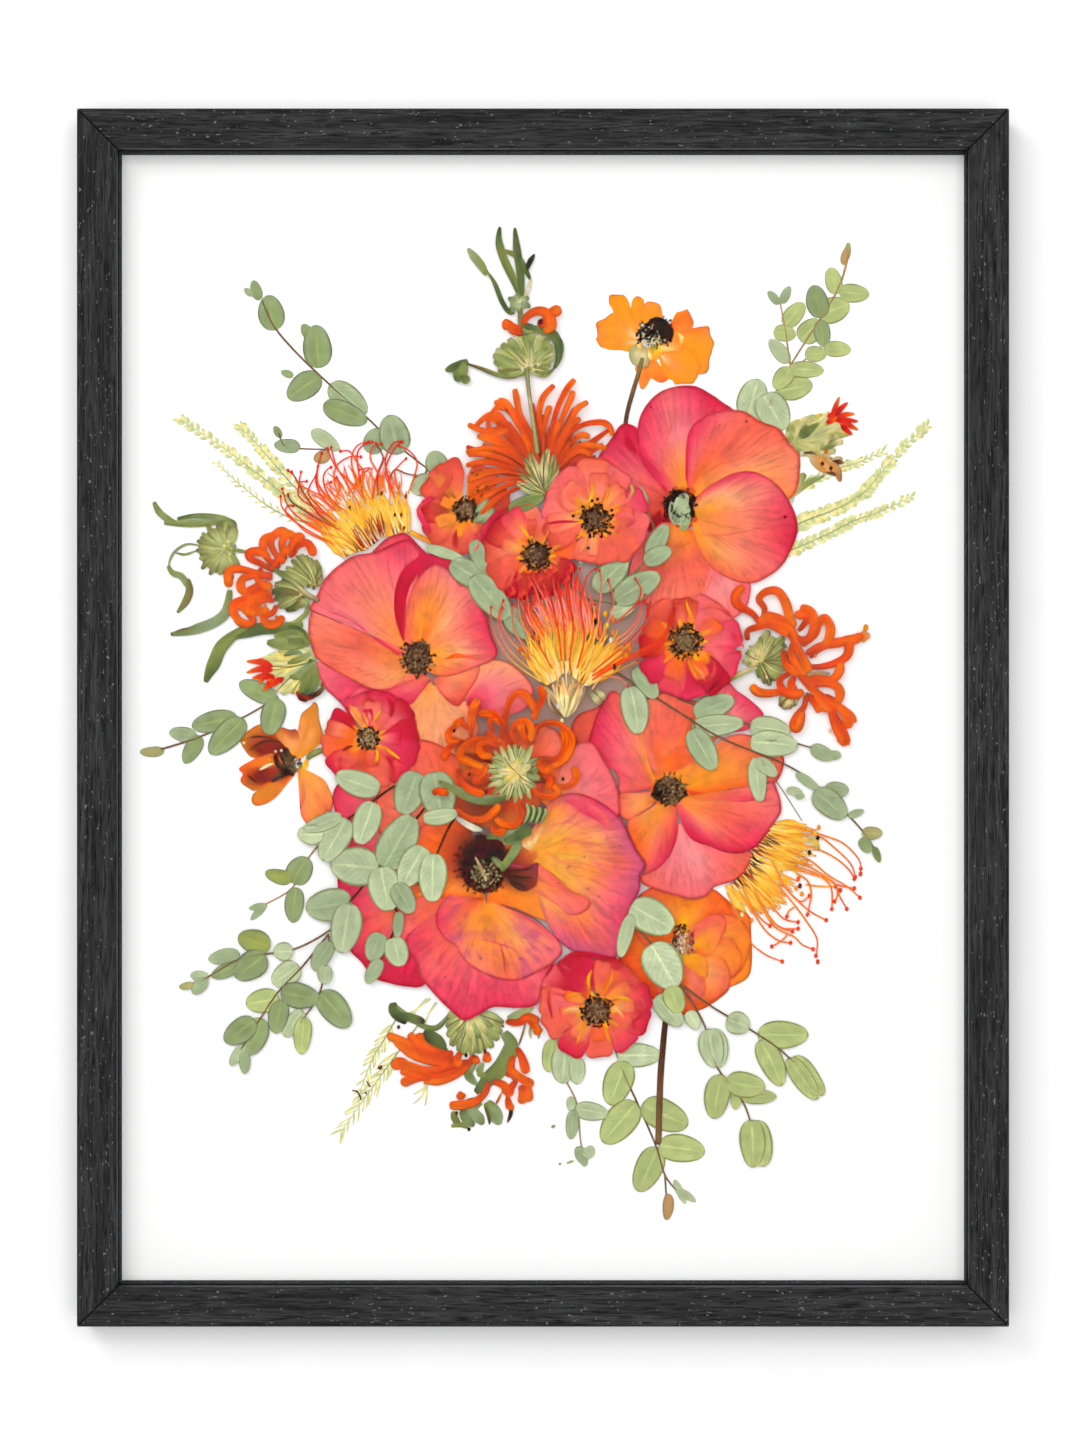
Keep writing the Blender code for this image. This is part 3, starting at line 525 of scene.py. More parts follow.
def bend(points, t):
    """The place at t, from 0 to 1, on a smooth curve through the points."""
    spans = len(points) - 1
    at = min(int(t * spans), spans - 1)
    f = t * spans - at
    a, b, c, d = (Vector(points[min(max(at + step, 0), spans)]) for step in (-1, 0, 1, 2))
    return 0.5 * (2 * b + (c - a) * f + (2 * a - 5 * b + 4 * c - d) * f * f + (3 * b - 3 * c + d - a) * f ** 3)


def spread(values, t):
    """The value at t, from 0 to 1, between values that are spread evenly."""
    place = min(max(t, 0), 1) * (len(values) - 1)
    first = min(int(place), max(len(values) - 2, 0))
    return values[first] + (values[min(first + 1, len(values) - 1)] - values[first]) * (place - first)


def length_of(points):
    return sum((Vector(b) - Vector(a)).length for a, b in zip(points, points[1:]))


def petal(piece, base, rim, colors, up=0.2, ruffle=0.3, ragged=0.25, claw=0.06, thick=0.14, cell=2.2, stain=None):
    """A petal that fans out from its base to its rim, a curve from its left side round to its right."""
    reach = max((Vector(point) - Vector(base)).length for point in rim)
    across = int(min(max(length_of(rim) / cell, 7), 46))
    along = int(min(max(reach / (1.25 * cell), 4), 18))
    seed = piece.parts * 1.7

    def place(u, v, front):
        edge = bend(rim, u)
        out = edge - Vector(base)
        edge += out.normalized() * ragged * (lumps(edge.x, edge.y, 2.6, seed) + lumps(edge.x, edge.y, 7, seed))
        x, z = Vector(base).lerp(edge, claw + (1 - claw) * v)
        pleats = 0.5 * noise.noise(Vector((u * length_of(rim) / 6, v * 1.3, seed))) * v
        swell = lumps(x, z, 13.0, seed) * v
        return x, z, up + ruffle * (pleats + swell + 0.35 * v ** 6), -thick * (1 - front)

    painted_on = wash(colors)
    if stain:
        spots = wash(stain)

        def blotched(u, v):
            at = Vector(base).lerp(bend(rim, u), v)
            wet = max(0, lumps(at.x, at.y, 5.0, seed) + 0.5 * lumps(at.x, at.y, 2.2, seed) - 0.05)
            return painted_on(u, v).lerp(spots(u, v), min(1.6 * wet, 0.75) * min(1.5 * v, 1))

    piece.slab(across, along, place, blotched if stain else painted_on)


def side_of(points, t):
    """The unit vector to the left of a curve."""
    ahead = bend(points, min(t + 0.02, 1)) - bend(points, max(t - 0.02, 0))
    return Vector((-ahead.y, ahead.x)).normalized()


def ribbon(piece, path, widths, colors, up=0.4, arch=0.25, thick=0.2, wave=0.0, cell=2.0, look=0, across=4):
    """A strap that follows a path; it is arched across by arch mm and waves up and down by wave mm."""
    along = int(min(max(length_of(path) / cell, 4), 60))
    seed = piece.parts * 2.3

    def place(u, v, front):
        x, z = bend(path, v) + side_of(path, v) * spread(widths, v) * (0.5 - u)
        lift = wave * lumps(v * length_of(path), 0, 9.0, seed)
        return x, z, up + lift, arch * (1 - (2 * u - 1) ** 2) - thick * (1 - front)

    piece.slab(across, along, place, wash(colors), look)


def tube(piece, path, widths, colors, up=0.5, flat=0.7, sides=6, cell=2.0, look=0, rise=0.0):
    """A closed tube along a path, pressed flat to a share of its width, rising rise mm in its middle."""
    length = length_of(path)
    along = int(min(max(length / cell, 4), 40)) + 4

    def place(u, v, front):
        row = round(v * along)
        first, last = 0.5 * widths[0] / length, 0.5 * widths[-1] / length
        if row <= 2:
            t, share = ((0, 0), (0.3 * first, 0.7), (first, 1))[row]
        elif row >= along - 2:
            t, share = ((1, 0), (1 - 0.3 * last, 0.7), (1 - last, 1))[along - row]
        else:
            t, share = first + (1 - first - last) * (row - 2) / (along - 4), 1
        half = share * spread(widths, t) / 2
        turn = math.tau * u
        x, z = bend(path, t) + side_of(path, t) * half * math.cos(turn)
        return x, z, up + rise * math.sin(math.pi * t), half * flat * (1 + math.sin(turn))

    piece.rolled(sides, along, place, wash(colors), look)


print("shapes ready")

# %% [markdown]
# ## Dried petals and leaves as materials
#
# A dried petal is matt and a little crinkled. Its veins fan out from its base, so they are drawn
# with the petal's own u and v: a noise that is squeezed across and stretched along gives streaks
# that spread as the petal widens. Finer mottling is in millimetres on the board, as cells and
# bruises don't follow the petal. Both darken the painted colour a little; the veins and a fine crinkle drive the
# bump.
#
# A leaf differs in its veins: one midrib along its middle, and side veins that leave it at a slant.
# They come from the distance to the middle line and from stripes across it.

# %% Plant materials
def painted(tree, height_nodes, where):
    """The colour stored on the mesh, with mottling over a few sizes in mm."""
    color = add(tree, "ShaderNodeAttribute", attribute_name="tint").outputs["Color"]
    for size, low, high in height_nodes:
        cloud = add(tree, "ShaderNodeTexNoise", {
            "Vector": where, "Scale": 1 / (size * MM), "Detail": 3.0, "Roughness": 0.6})
        shade = add(tree, "ShaderNodeMapRange", {
            "Value": cloud, "From Min": 0.3, "From Max": 0.7, "To Min": low, "To Max": high})
        color = add(tree, "ShaderNodeVectorMath", {0: color, 1: shade}, operation="MULTIPLY").outputs[0]
    return color


def petal_look(name, veins, depth, roughness, mottling, darken=0.78, gloss=0.1):
    """A dried petal: veins streaks across it, with a bump depth mm high."""
    look, tree, where = new_material(name)
    growth = add(tree, "ShaderNodeUVMap", uv_map="growth")
    sway = add(tree, "ShaderNodeTexNoise", {"Vector": where, "Scale": 1 / (7 * MM), "Detail": 2.0})
    shift = add(tree, "ShaderNodeVectorMath", {0: sway, 1: (0.03, 0.0, 0.0), 2: growth},
                operation="MULTIPLY_ADD")
    squeeze = add(tree, "ShaderNodeMapping", {"Vector": shift, "Scale": (veins, 2.2, 1.0)})
    streak = add(tree, "ShaderNodeTexNoise", {"Vector": squeeze, "Scale": 1.0, "Detail": 2.5})
    line = add(tree, "ShaderNodeMapRange", {
        "Value": streak, "From Min": 0.34, "From Max": 0.60, "To Min": darken, "To Max": 1.06})
    color = painted(tree, mottling, where)
    veined = add(tree, "ShaderNodeVectorMath", {0: color, 1: line}, operation="MULTIPLY")
    parts = add(tree, "ShaderNodeSeparateXYZ", {"Vector": growth})
    # The rim is painted darker: partly the petal's own dried rim, partly painted shadow for the thin dark line that
    # an edge casts where petals overlap.
    rim = add(tree, "ShaderNodeMapRange", {
        "Value": parts.outputs["Y"], "From Min": 0.955, "From Max": 0.99, "To Min": 0.0, "To Max": 1.0})
    rim_dried_and_shaded = add(tree, "ShaderNodeVectorMath", {0: veined, 1: (0.62, 0.30, 0.32)}, operation="MULTIPLY")
    veined = add(tree, "ShaderNodeMix", {"Factor": rim, "A": veined, "B": rim_dried_and_shaded}, data_type="RGBA")
    crinkle = add(tree, "ShaderNodeTexNoise", {"Vector": where, "Scale": 1 / (1.3 * MM), "Detail": 3.0})
    relief = add(tree, "ShaderNodeMath", {0: streak, 1: crinkle}, operation="ADD")
    surface(tree, veined, roughness, relief, 0.5, depth, Specular_IOR_Level=gloss)
    return look


def leaf_look(name, roughness):
    """A dried eucalyptus leaf: waxy and matt, with a pale midrib and slanting side veins."""
    look, tree, where = new_material(name)
    growth = add(tree, "ShaderNodeUVMap", uv_map="growth")
    parts = add(tree, "ShaderNodeSeparateXYZ", {"Vector": growth})
    across = add(tree, "ShaderNodeMath", {0: parts.outputs["X"]}, operation="FRACT")
    off_middle = add(tree, "ShaderNodeMath", {0: across, 1: 0.5}, operation="SUBTRACT")
    far = add(tree, "ShaderNodeMath", {0: off_middle}, operation="ABSOLUTE")
    rib = add(tree, "ShaderNodeMapRange", {
        "Value": far, "From Min": 0.02, "From Max": 0.05, "To Min": 1.0, "To Max": 0.0})
    slant = add(tree, "ShaderNodeMath", {0: far, 1: -0.55, 2: parts.outputs["Y"]}, operation="MULTIPLY_ADD")
    wobble = add(tree, "ShaderNodeTexNoise", {"Vector": where, "Scale": 1 / (4 * MM), "Detail": 2.0})
    waved = add(tree, "ShaderNodeMath", {0: wobble, 1: 0.10, 2: slant}, operation="MULTIPLY_ADD")
    stripes = add(tree, "ShaderNodeMath", {0: waved, 1: 62.0}, operation="MULTIPLY")
    vein = add(tree, "ShaderNodeMath", {0: stripes}, operation="SINE")
    vein_line = add(tree, "ShaderNodeMapRange", {
        "Value": vein, "From Min": 0.5, "From Max": 1.0, "To Min": 0.95, "To Max": 1.12})
    speck = add(tree, "ShaderNodeTexVoronoi", {"Vector": where, "Scale": 1 / (5.5 * MM)})
    spot = add(tree, "ShaderNodeMapRange", {
        "Value": speck.outputs["Distance"], "From Min": 0.03, "From Max": 0.09, "To Min": 1.0, "To Max": 0.0})
    color = painted(tree, [(6.0, 0.84, 1.10), (1.1, 0.92, 1.06)], where)
    veined = add(tree, "ShaderNodeVectorMath", {0: color, 1: vein_line}, operation="MULTIPLY")
    paler = add(tree, "ShaderNodeVectorMath", {0: veined, 1: (1.34, 1.30, 1.24)}, operation="MULTIPLY")
    ribbed = add(tree, "ShaderNodeMix", {"Factor": rib, "A": veined, "B": paler}, data_type="RGBA")
    # The margin is painted darker and browner: partly the leaf's own dried edge, partly painted shadow for the dark
    # outline along overlapping leaves.
    to_end = add(tree, "ShaderNodeMath", {0: parts.outputs["Y"], 1: 0.5}, operation="SUBTRACT")
    to_side = add(tree, "ShaderNodeMath", {0: to_end}, operation="ABSOLUTE")
    margin = add(tree, "ShaderNodeMath", {0: far, 1: to_side}, operation="MAXIMUM")
    edge_dried_and_shaded = add(tree, "ShaderNodeMapRange", {
        "Value": margin, "From Min": 0.41, "From Max": 0.475, "To Min": 0.0, "To Max": 1.0})
    dried = add(tree, "ShaderNodeVectorMath", {0: ribbed, 1: (0.42, 0.42, 0.27)}, operation="MULTIPLY")
    ribbed = add(tree, "ShaderNodeMix", {"Factor": edge_dried_and_shaded, "A": ribbed, "B": dried}, data_type="RGBA")
    spotted = add(tree, "ShaderNodeMix", {"Factor": spot, "A": ribbed, "B": "#a08a58"}, data_type="RGBA")
    relief = add(tree, "ShaderNodeMath", {0: rib, 1: wobble}, operation="ADD")
    surface(tree, spotted, roughness, relief, 0.4, 0.15, Specular_IOR_Level=0.12)
    return look


ROSE = petal_look("dried rose petal", 80.0, 0.14, 0.8, [(9.0, 0.86, 1.08), (1.6, 0.86, 1.08)], 0.74)
POPPY = petal_look("dried poppy petal", 60.0, 0.12, 0.75, [(5.0, 0.9, 1.06), (1.2, 0.9, 1.06)], 0.84)
FLORET = petal_look("dried protea style", 6.0, 0.06, 0.6, [(3.0, 0.88, 1.08)])
TUBE = petal_look("dried lion's ear floret", 9.0, 0.12, 0.85, [(2.4, 0.80, 1.08), (0.7, 0.86, 1.06)], 0.7)
CALYX = petal_look("dried calyx", 9.0, 0.2, 0.8, [(3.0, 0.82, 1.1), (0.8, 0.88, 1.06)], 0.66)
STAMEN = petal_look("dried stamens", 5.0, 0.1, 0.9, [(1.0, 0.7, 1.2)], gloss=0.0)
LEAF = leaf_look("dried eucalyptus leaf", 0.7)
STALK = petal_look("dried stalk", 8.0, 0.12, 0.8, [(4.0, 0.8, 1.12), (0.9, 0.88, 1.06)], 0.72)
print("plant materials:", ", ".join(
    look.name for look in (ROSE, POPPY, FLORET, TUBE, CALYX, STAMEN, LEAF, STALK)))

# %% [markdown]
# ## Eucalyptus
#
# The sprigs are young eucalyptus, with round waxy leaves in pairs on thin brown stems. One function
# draws a leaf from five numbers: its middle, its length and width, and the direction in which it
# grows. Its rows are spaced by a cosine, so that they crowd at both ends where the outline turns
# fastest. A sixth word picks a tint for leaves that dried yellower, darker or paler.

# %% Leaves and stems
LEAF_ACROSS, LEAF_ALONG = 6, 9       # faces on each side of a leaf
PALER = {"sage": "mist", "fern": "sage", "lime": "chartreuse", "mist": "dew", "olive": "fern", "moss": "fern"}


def leaf(piece, x, z, length, width, angle, tint="sage", up=0.0):
    """An oval leaf that grows towards angle, in degrees anticlockwise from the right."""
    turn = math.radians(angle)
    ahead = Vector((math.cos(turn), math.sin(turn)))
    side = Vector((-ahead.y, ahead.x))
    seed = piece.parts * 0.77
    lean = 0.06 * length * noise.noise(Vector((x, z, 3.1)))
    rim = PALER.get(tint, tint)
    colors = wash(f"{rim} {rim} {rim}|{tint} {tint} {rim}|{tint} {tint} {tint}|{tint} {tint} {rim}|{rim} {rim} {rim}")
    shade = 1 + 0.07 * noise.noise(Vector((x * 0.37, z * 0.37, 9.0)))

    def place(u, v, front):
        t = 0.035 + 0.93 * v
        along = (1 - math.cos(math.pi * t)) / 2 - 0.5
        half = 0.5 * width * math.sin(math.pi * t) ** 0.9 * (1 - 0.14 * along * 2)
        half *= 1 + 0.05 * noise.noise(Vector((x + 3 * v, z + 5 * (u > 0.5), seed)))
        spine = Vector((x, z)) + ahead * along * length + side * lean * math.cos(math.pi * along)
        at = spine - side * half * (2 * u - 1)
        cup = 0.16 * lumps(at.x, at.y, 9.0, seed) + 0.14 * abs(2 * u - 1)
        return at.x, at.y, up + cup, -0.22 * (1 - front)

    piece.slab(LEAF_ACROSS, LEAF_ALONG, place, lambda u, v: colors(u, v) * shade)


def stem(piece, width, path, tint="bark", up=0.0):
    tube(piece, path, [0.8 * width, 0.6 * width], tint, up, flat=0.4, sides=5, cell=3.0, look=1)


def sprig(node, leaves, stems, stem_tint="bark"):
    """A eucalyptus sprig: the stems lie under the leaves and show between them."""
    piece = Pressed(node)
    for number, shape in enumerate(leaves):
        leaf(piece, *shape, up=0.75 + 0.13 * (number % 5))
    for width, *path in stems:
        stem(piece, width, path, stem_tint)
    piece.lay([LEAF, STALK])


print("a leaf is", LEAF_ACROSS * LEAF_ALONG, "faces on each side")

# %% Upper sprigs
sprig("eucalyptus_top_left", [
    (-153, 228, 11, 6, 108, "fern"), (-157, 227, 6, 3.6, 140, "sage"), (-136.5, 183.5, 7, 4, 160, "fern"),
    (-145, 216, 19, 14, 100, "fern"), (-120.5, 198, 23, 15.5, 95, "fern"), (-126, 206, 9, 6, 120, "fern"),
    (-127.5, 176.5, 21, 14, 215, "fern"), (-104, 170, 25, 14, -38, "sage"), (-105.5, 162.5, 25, 12.5, -22, "fern"),
    (-79.5, 151, 21.5, 16.5, 105, "sage"), (-90, 147.5, 14, 11, 80, "sage"), (-57, 136, 13, 12, 110, "sage"),
    (-64, 124, 14, 12, 200, "mist"),
], [
    (1.6, *xz("-150,223 -143,208 -130,193 -112,176 -95,161 -80,147 -58,130")), (1.4, *xz("-62,133 -64,124")),
])
sprig("eucalyptus_small_left", [
    (-141.5, 152.5, 7, 4, 120, "fern"), (-136.5, 145, 14, 7.5, 175, "sage"), (-116, 148, 18, 8, -35, "mist"),
    (-118, 139, 9, 7, 200, "tan"),
], [
    (1.3, *xz("-141,152 -138,145 -130,143.5 -112,143")), (1.2, *xz("-113,144 -118,139")),
])
sprig("eucalyptus_top_right", [
    (162.5, 249, 9, 3.5, 85, "khaki"), (161, 246, 9, 4, 80, "tan"), (155, 233, 14.5, 9, 105, "lime"),
    (166, 226.5, 16, 10, -5, "lime"), (146.5, 222, 18, 12, 105, "fern"), (155, 217.5, 18, 14, 20, "lime"),
    (142.5, 206.5, 15, 12.5, 45, "lime"), (149, 205, 14.5, 9, -80, "fern"), (157, 196.5, 14.5, 8.5, -3, "lime"),
    (145.5, 194, 11.5, 8.5, 0, "lime"), (134, 215, 16, 10, 50, "lime"), (129, 205, 12, 9, -10, "lime"),
    (126, 195.5, 16, 8, 130, "mist"), (140.5, 185.5, 18.5, 9, -3, "lime"), (128, 181, 14, 10, 230, "lime"),
    (134.5, 176, 19, 12.5, 12, "lime"), (112, 170, 22, 17, 75, "mist"), (123, 163, 22, 18, -60, "mist"),
    (123, 224, 9, 4.5, 130, "sage"), (129.5, 225.5, 10, 5, 65, "sage"),
], [
    (1.6, *xz("163,247 158,230 148,213 132,188 120,166")), (1.3, *xz("132,188 129.5,205 126.5,222")),
    (1.2, *xz("136,188 150,199")),
], "tan")

# %% Sprigs on the left
sprig("eucalyptus_left", [
    (-208.5, -18, 13, 5.5, 183, "khaki"), (-192, -9, 15, 8, 170, "sage"), (-187, -17, 17, 9, 240, "fern"),
    (-175, -2.5, 25, 12, 190, "fern"), (-168.5, -10, 26, 14, 225, "fern"), (-152, 14, 22, 11, 155, "fern"),
    (-144, 0.5, 20, 13, 255, "fern"),
], [(1.6, *xz("-204,-17 -185,-11 -162,-1 -141,11"))])
sprig("eucalyptus_left_low", [
    (-98.5, -34.5, 25, 14, 160, "mist"), (-94, -56, 24, 15, 250, "mist"), (-110.5, -65, 26, 16, 240, "mist"),
    (-123.5, -62, 14, 11, 180, "dew"), (-117, -56, 22, 9, 200, "mist"), (-100, -79, 26, 21, 175, "mist"),
    (-77, -66, 32, 20, 60, "sage"), (-84, -91, 24, 18, -80, "mist"), (-69, -79, 24, 16, -120, "mist"),
    (-58.5, -85, 26, 15.5, -92, "mist"), (-71, -40, 24, 17, -110, "sage"), (-56, -41, 25, 20, -80, "sage"),
    (-54.5, -52, 19, 9, 10, "mist"), (-74, -96, 18, 12, -60, "sage"), (-77, -110, 14, 6, -95, "sage"),
    (-89, -122, 16, 12, 250, "sage"), (-77.5, -124.5, 16, 13, -75, "mist"), (-90, -135, 15, 8, 240, "sage"),
], [
    (1.8, *xz("-66,-31 -80,-37 -90,-44 -104,-54 -113,-61")), (1.8, *xz("-62,-47 -70,-57 -87,-79 -97,-91 -103,-98")),
    (1.8, *xz("-47,-53 -52,-62 -57,-74")), (1.6, *xz("-60,-80 -66,-80")),
    (1.8, *xz("-80,-99 -77,-106 -81,-117 -88,-130")),
], "umber")
sprig("eucalyptus_left_small", [
    (-129.5, -81.5, 16, 14, 60, "fern"), (-141, -84.5, 15, 8, 165, "olive"), (-132.5, -100, 19, 10.5, -95, "fern"),
    (-152, -104, 11, 4, 225, "sage"), (-152, -101, 10, 4, 190, "sage"),
], [(1.4, *xz("-118,-66 -126,-76 -134,-91 -149,-100"))], "tan")
sprig("eucalyptus_bottom_left", [
    (-114, -99.5, 25, 18, 190, "sage"), (-105, -112, 27, 17, -100, "mist"), (-154, -119.5, 18, 13, 160, "olive"),
    (-156, -132.5, 20, 15, 215, "fern"), (-138.5, -124.5, 10.5, 10, 180, "dew"), (-170, -127.5, 17, 8, 190, "sage"),
    (-169, -134.5, 17, 8, 205, "fern"), (-183, -138, 10, 6, 170, "mist"), (-183, -143, 11, 7, 230, "sage"),
    (-190, -143, 8, 4, 190, "khaki"), (-137, -137, 17, 13, 215, "mist"), (-149.5, -151, 18, 13, 190, "lime"),
    (-129.5, -148, 21, 14, -10, "fern"), (-141, -159.5, 18, 11, -100, "fern"), (-161.5, -167, 20, 13, 215, "fern"),
    (-153.5, -170, 21, 13, 250, "fern"), (-163, -180, 13, 6, 235, "mist"), (-159, -184, 12, 6, -90, "sage"),
    (-117.5, -127, 18, 10, 240, "sage"), (-116, -137, 10, 8, -90, "mist"), (-111, -155.5, 24, 15, -50, "fern"),
    (-133, -163, 17, 9, 235, "mist"), (-128, -169.5, 20, 10, -95, "lime"),
], [
    (1.6, *xz("-103,-101 -112,-112 -133,-123.5 -160,-128 -180,-139 -188,-142")),
    (1.6, *xz("-114,-115 -129,-133.5 -141,-146 -151,-161 -161,-177")),
    (1.6, *xz("-114,-116 -116,-133 -120,-149 -130,-163")),
])

# %% Sprigs in the middle and on the right
sprig("eucalyptus_center", [
    (-38, 76, 26, 14, -30, "sage"), (-34, 86, 18, 9, -70, "sage"), (-28, 64, 30, 16, -50, "sage"),
    (36, 76, 24, 14, 45, "sage"), (50, 69, 28, 15, 30, "sage"), (61, 94, 20, 10, 60, "sage"),
    (61, 86, 16, 10, 25, "sage"), (42, 57, 14, 8, 20, "mist"), (52, 116, 14, 8, 100, "sage"),
    (-9, 114, 21, 8, 22, "moss"), (-52, 87.5, 21, 6, -18, "mist"), (-13, 50, 20, 13, -50, "sage"),
    (3, 62, 16, 9, 40, "sage"),
], [
    (1.4, *xz("-30,64 0,66 40,60")), (1.4, *xz("40,60 38,68 50,78 60,92 58,104 53,113")),
], "moss")
sprig("eucalyptus_right_upper", [
    (91, 6, 23, 13, 20, "sage"), (93, -4, 28, 12, 5, "mist"), (121, -6, 22, 13, -10, "mist"),
    (123, -14, 26, 14, -5, "mist"), (149, -18.5, 14, 8, -25, "sage"), (156, -20, 6, 5, 0, "sage"),
], [(1.5, *xz("72,10 84,5.5 107.5,-3 119,-7 136,-14 148,-17"))])
sprig("eucalyptus_right_lower", [
    (48.5, 4, 26, 15, -80, "mist"), (54.5, 18.5, 20, 11, -55, "sage"), (85, -17, 25, 14, -60, "sage"),
    (114.5, -33, 24, 10, -85, "mist"), (119, -26.5, 14, 8, -40, "mist"), (141, -34, 15, 5, -35, "sage"),
    (134, -39.5, 9, 4.5, -12, "mist"), (137, -42, 5, 3, 10, "sage"), (156.5, -38.5, 13, 9, 0, "sage"),
    (153, -46, 22, 14, -40, "sage"), (167, -51, 9, 4, 20, "sage"), (175.5, -61.5, 11, 7, 0, "khaki"),
    (172, -68, 9, 7, -60, "fern"), (178, -73, 9, 4, -70, "moss"),
], [
    (0.8, *xz("120,-28 129,-41 138,-55")), (1.6, *xz("36,26 73,2.5 95,-11 129,-25 148,-38 170,-60 178,-73")),
    (1.4, *xz("79,0 84,-14")),
])

# %% Sprigs below
sprig("eucalyptus_bottom", [
    (51, -180, 24, 13, 0, "dew"), (40, -195, 25, 16, -110, "lime"), (41, -216, 28, 17, -130, "lime"),
    (65, -212, 27, 17, -25, "lime"), (74, -230, 25, 15, -8, "lime"), (56, -241, 26, 15, -115, "lime"),
    (73, -253, 14, 4, -65, "mist"), (77, -255, 11, 4, -35, "mist"), (66.5, -261, 14, 6, -95, "tan"),
], [
    (1.6, *xz("38,-176 44,-192 50,-205 60,-228 65,-244 71,-252")), (1.4, *xz("65,-244 66,-260")),
])
sprig("eucalyptus_bottom_small", [
    (4, -180, 18, 9, -100, "lime"), (11, -185, 20, 14, -95, "mist"), (18, -188, 15, 9, -90, "mist"),
    (26, -210, 18, 10, -10, "mist"), (15.5, -217, 16, 7, -95, "sage"), (15, -206, 8, 5, -90, "mist"),
    (20.5, -233, 7, 9, 20, "sage"), (24.5, -232, 6, 8, -40, "mist"), (22, -237, 5, 4, -90, "sage"),
    (5.5, -218, 2.4, 1.6, 30, "fern"), (9, -238, 1.4, 1.2, 0, "khaki"), (14.5, -237, 4, 1.2, 20, "khaki"),
], [
    (1.3, *xz("10,-184 12,-193 18,-206 20,-226 22,-233")), (1.2, *xz("16,-217 20,-212")),
], "tan")
sprig("eucalyptus_bottom_right", [
    (58, -106, 26, 19, -30, "mist"), (44, -116, 24, 8, -105, "mist"), (64, -132, 27, 21, -60, "dew"),
    (67, -156, 21, 12, -50, "mist"), (70, -150, 15, 12, -70, "lime"), (80, -161, 11, 8, -60, "dew"),
    (92.5, -176, 21, 13, -80, "mist"), (90, -176, 21, 14, -80, "mist"), (93, -202, 24, 14, -100, "lime"),
    (108, -195.5, 21, 14, -10, "lime"), (103, -203, 12, 6, -95, "lime"), (115, -202, 19, 8, 0, "lime"),
    (115.5, -227, 25, 15, -80, "lime"), (111.5, -227, 25.5, 14, -88, "lime"), (104, -163, 13, 12.5, -20, "mist"),
    (128, -169, 27, 15, 0, "lime"), (121.5, -184, 27, 13, -65, "lime"), (141.5, -191, 26, 12, -52, "lime"),
    (138.5, -192.5, 27, 11, -55, "lime"),
], [
    (1.6, *xz("45,-103 49,-111 59,-122 74,-143 86,-164 92,-185 106,-204 111,-217")),
    (1.6, *xz("75,-143 90,-154 110,-166 125,-176 134,-184")),
])

# %% [markdown]
# ## The big roses
#
# Five single roses make the heart of the bouquet. Each petal is placed one by one: where it is
# attached, and a few points on its rim. They are laid in the order in which they overlap, the
# lowest first. Rims dried to magenta, while the bases stayed yellow and orange. A dark crescent,
# deep crimson, is painted shade on the turned-up edge of a petal.

# %% Stamens and creases
def stamens(piece, x, z, width, height, up, seed, count=150, tints=("soot", "umber", "tan"), ring=0.0, size=0.8):
    """A clump of dried anthers: dark beads in an oval, thinner in its middle where there is a ring."""
    dice = random.Random(seed)
    colors = [wash(tint)(0, 0) for tint in tints]
    for _ in range(count):
        turn = dice.uniform(0, math.tau)
        reach = ring + (1 - ring) * dice.random() ** 0.6
        rough = 1 + 0.14 * math.sin(5 * turn + seed) + 0.08 * math.sin(11 * turn)
        at_x = x + 0.5 * width * reach * rough * math.cos(turn)
        at_z = z + 0.5 * height * reach * rough * math.sin(turn)
        color = dice.choices(colors, (5, 4, 2, 2)[:len(colors)])[0] * dice.uniform(0.75, 1.15)
        piece.bead(at_x, at_z, up + 0.35 * (1 - reach) + dice.uniform(0, 0.35), size * dice.uniform(0.55, 1.0), color,
                   1)


def filaments(piece, x, z, inner, outer, up, seed, count=26, tint="umber", knob="soot"):
    """Short threads that stand out around the clump, each with an anther at its end."""
    dice = random.Random(seed)
    for number in range(count):
        turn = math.tau * (number + dice.uniform(-0.3, 0.3)) / count
        far = outer * dice.uniform(0.82, 1.12)
        start = (x + inner * math.cos(turn), z + inner * math.sin(turn))
        drift = turn + dice.uniform(-0.25, 0.25)
        end = (x + far * math.cos(drift), z + far * math.sin(drift))
        tube(piece, [start, end], [0.5, 0.35], tint, up, sides=4, cell=3, look=1)
        piece.bead(end[0], end[1], up + 0.15, dice.uniform(0.5, 0.8), wash(knob)(0, 0), 1)


def crease(piece, path, tint, up, width=0.55):
    """A fine fold line that stands a little above its petal."""
    ribbon(piece, path, [0.15, width, width, 0.15], tint, up, arch=0.1, thick=0.12, across=2)


def speck(piece, x, z, up, size=0.5, tint="oxblood"):
    piece.bead(x, z, up, size, wash(tint)(0, 0), 1)


print("stamens ready")

# %% The rose on the left
rose = Pressed("rose_left")
petal(rose, (-68, 40), xz("-93,86 -84,95 -73,98 -62,88 -50,86 -42,83 -46,72"),
      "brick rose rose|brick crimson magenta|crimson crimson magenta", 0.0)
petal(rose, (-66, 24), xz("-122,30 -117,17 -108,8 -100,-2 -88,-8 -72,-4 -64,10"),
      "salmon magenta pink|coral magenta magenta|coral rose magenta", 0.1)
petal(rose, (-58, 20), xz("-72,12 -74,-8 -66,-24 -52,-29 -40,-22 -34,-6 -40,8"),
      "amber apricot peach|apricot peach apricot|apricot peach salmon", 0.25)
petal(rose, (-42, 8), xz("-36,27 -29,31 -20,30 -11,24 -5,15 -9,5 -20,1 -34,0"),
      "salmon peach apricot|magenta pink peach|ruby pink rose|ruby magenta rose", 0.4)
petal(rose, (-59, 21), xz("-33,29 -35,21 -40,13 -45,6 -51,9 -56,15"),
      "coral apricot salmon|coral salmon brick|coral coral crimson", 0.6)
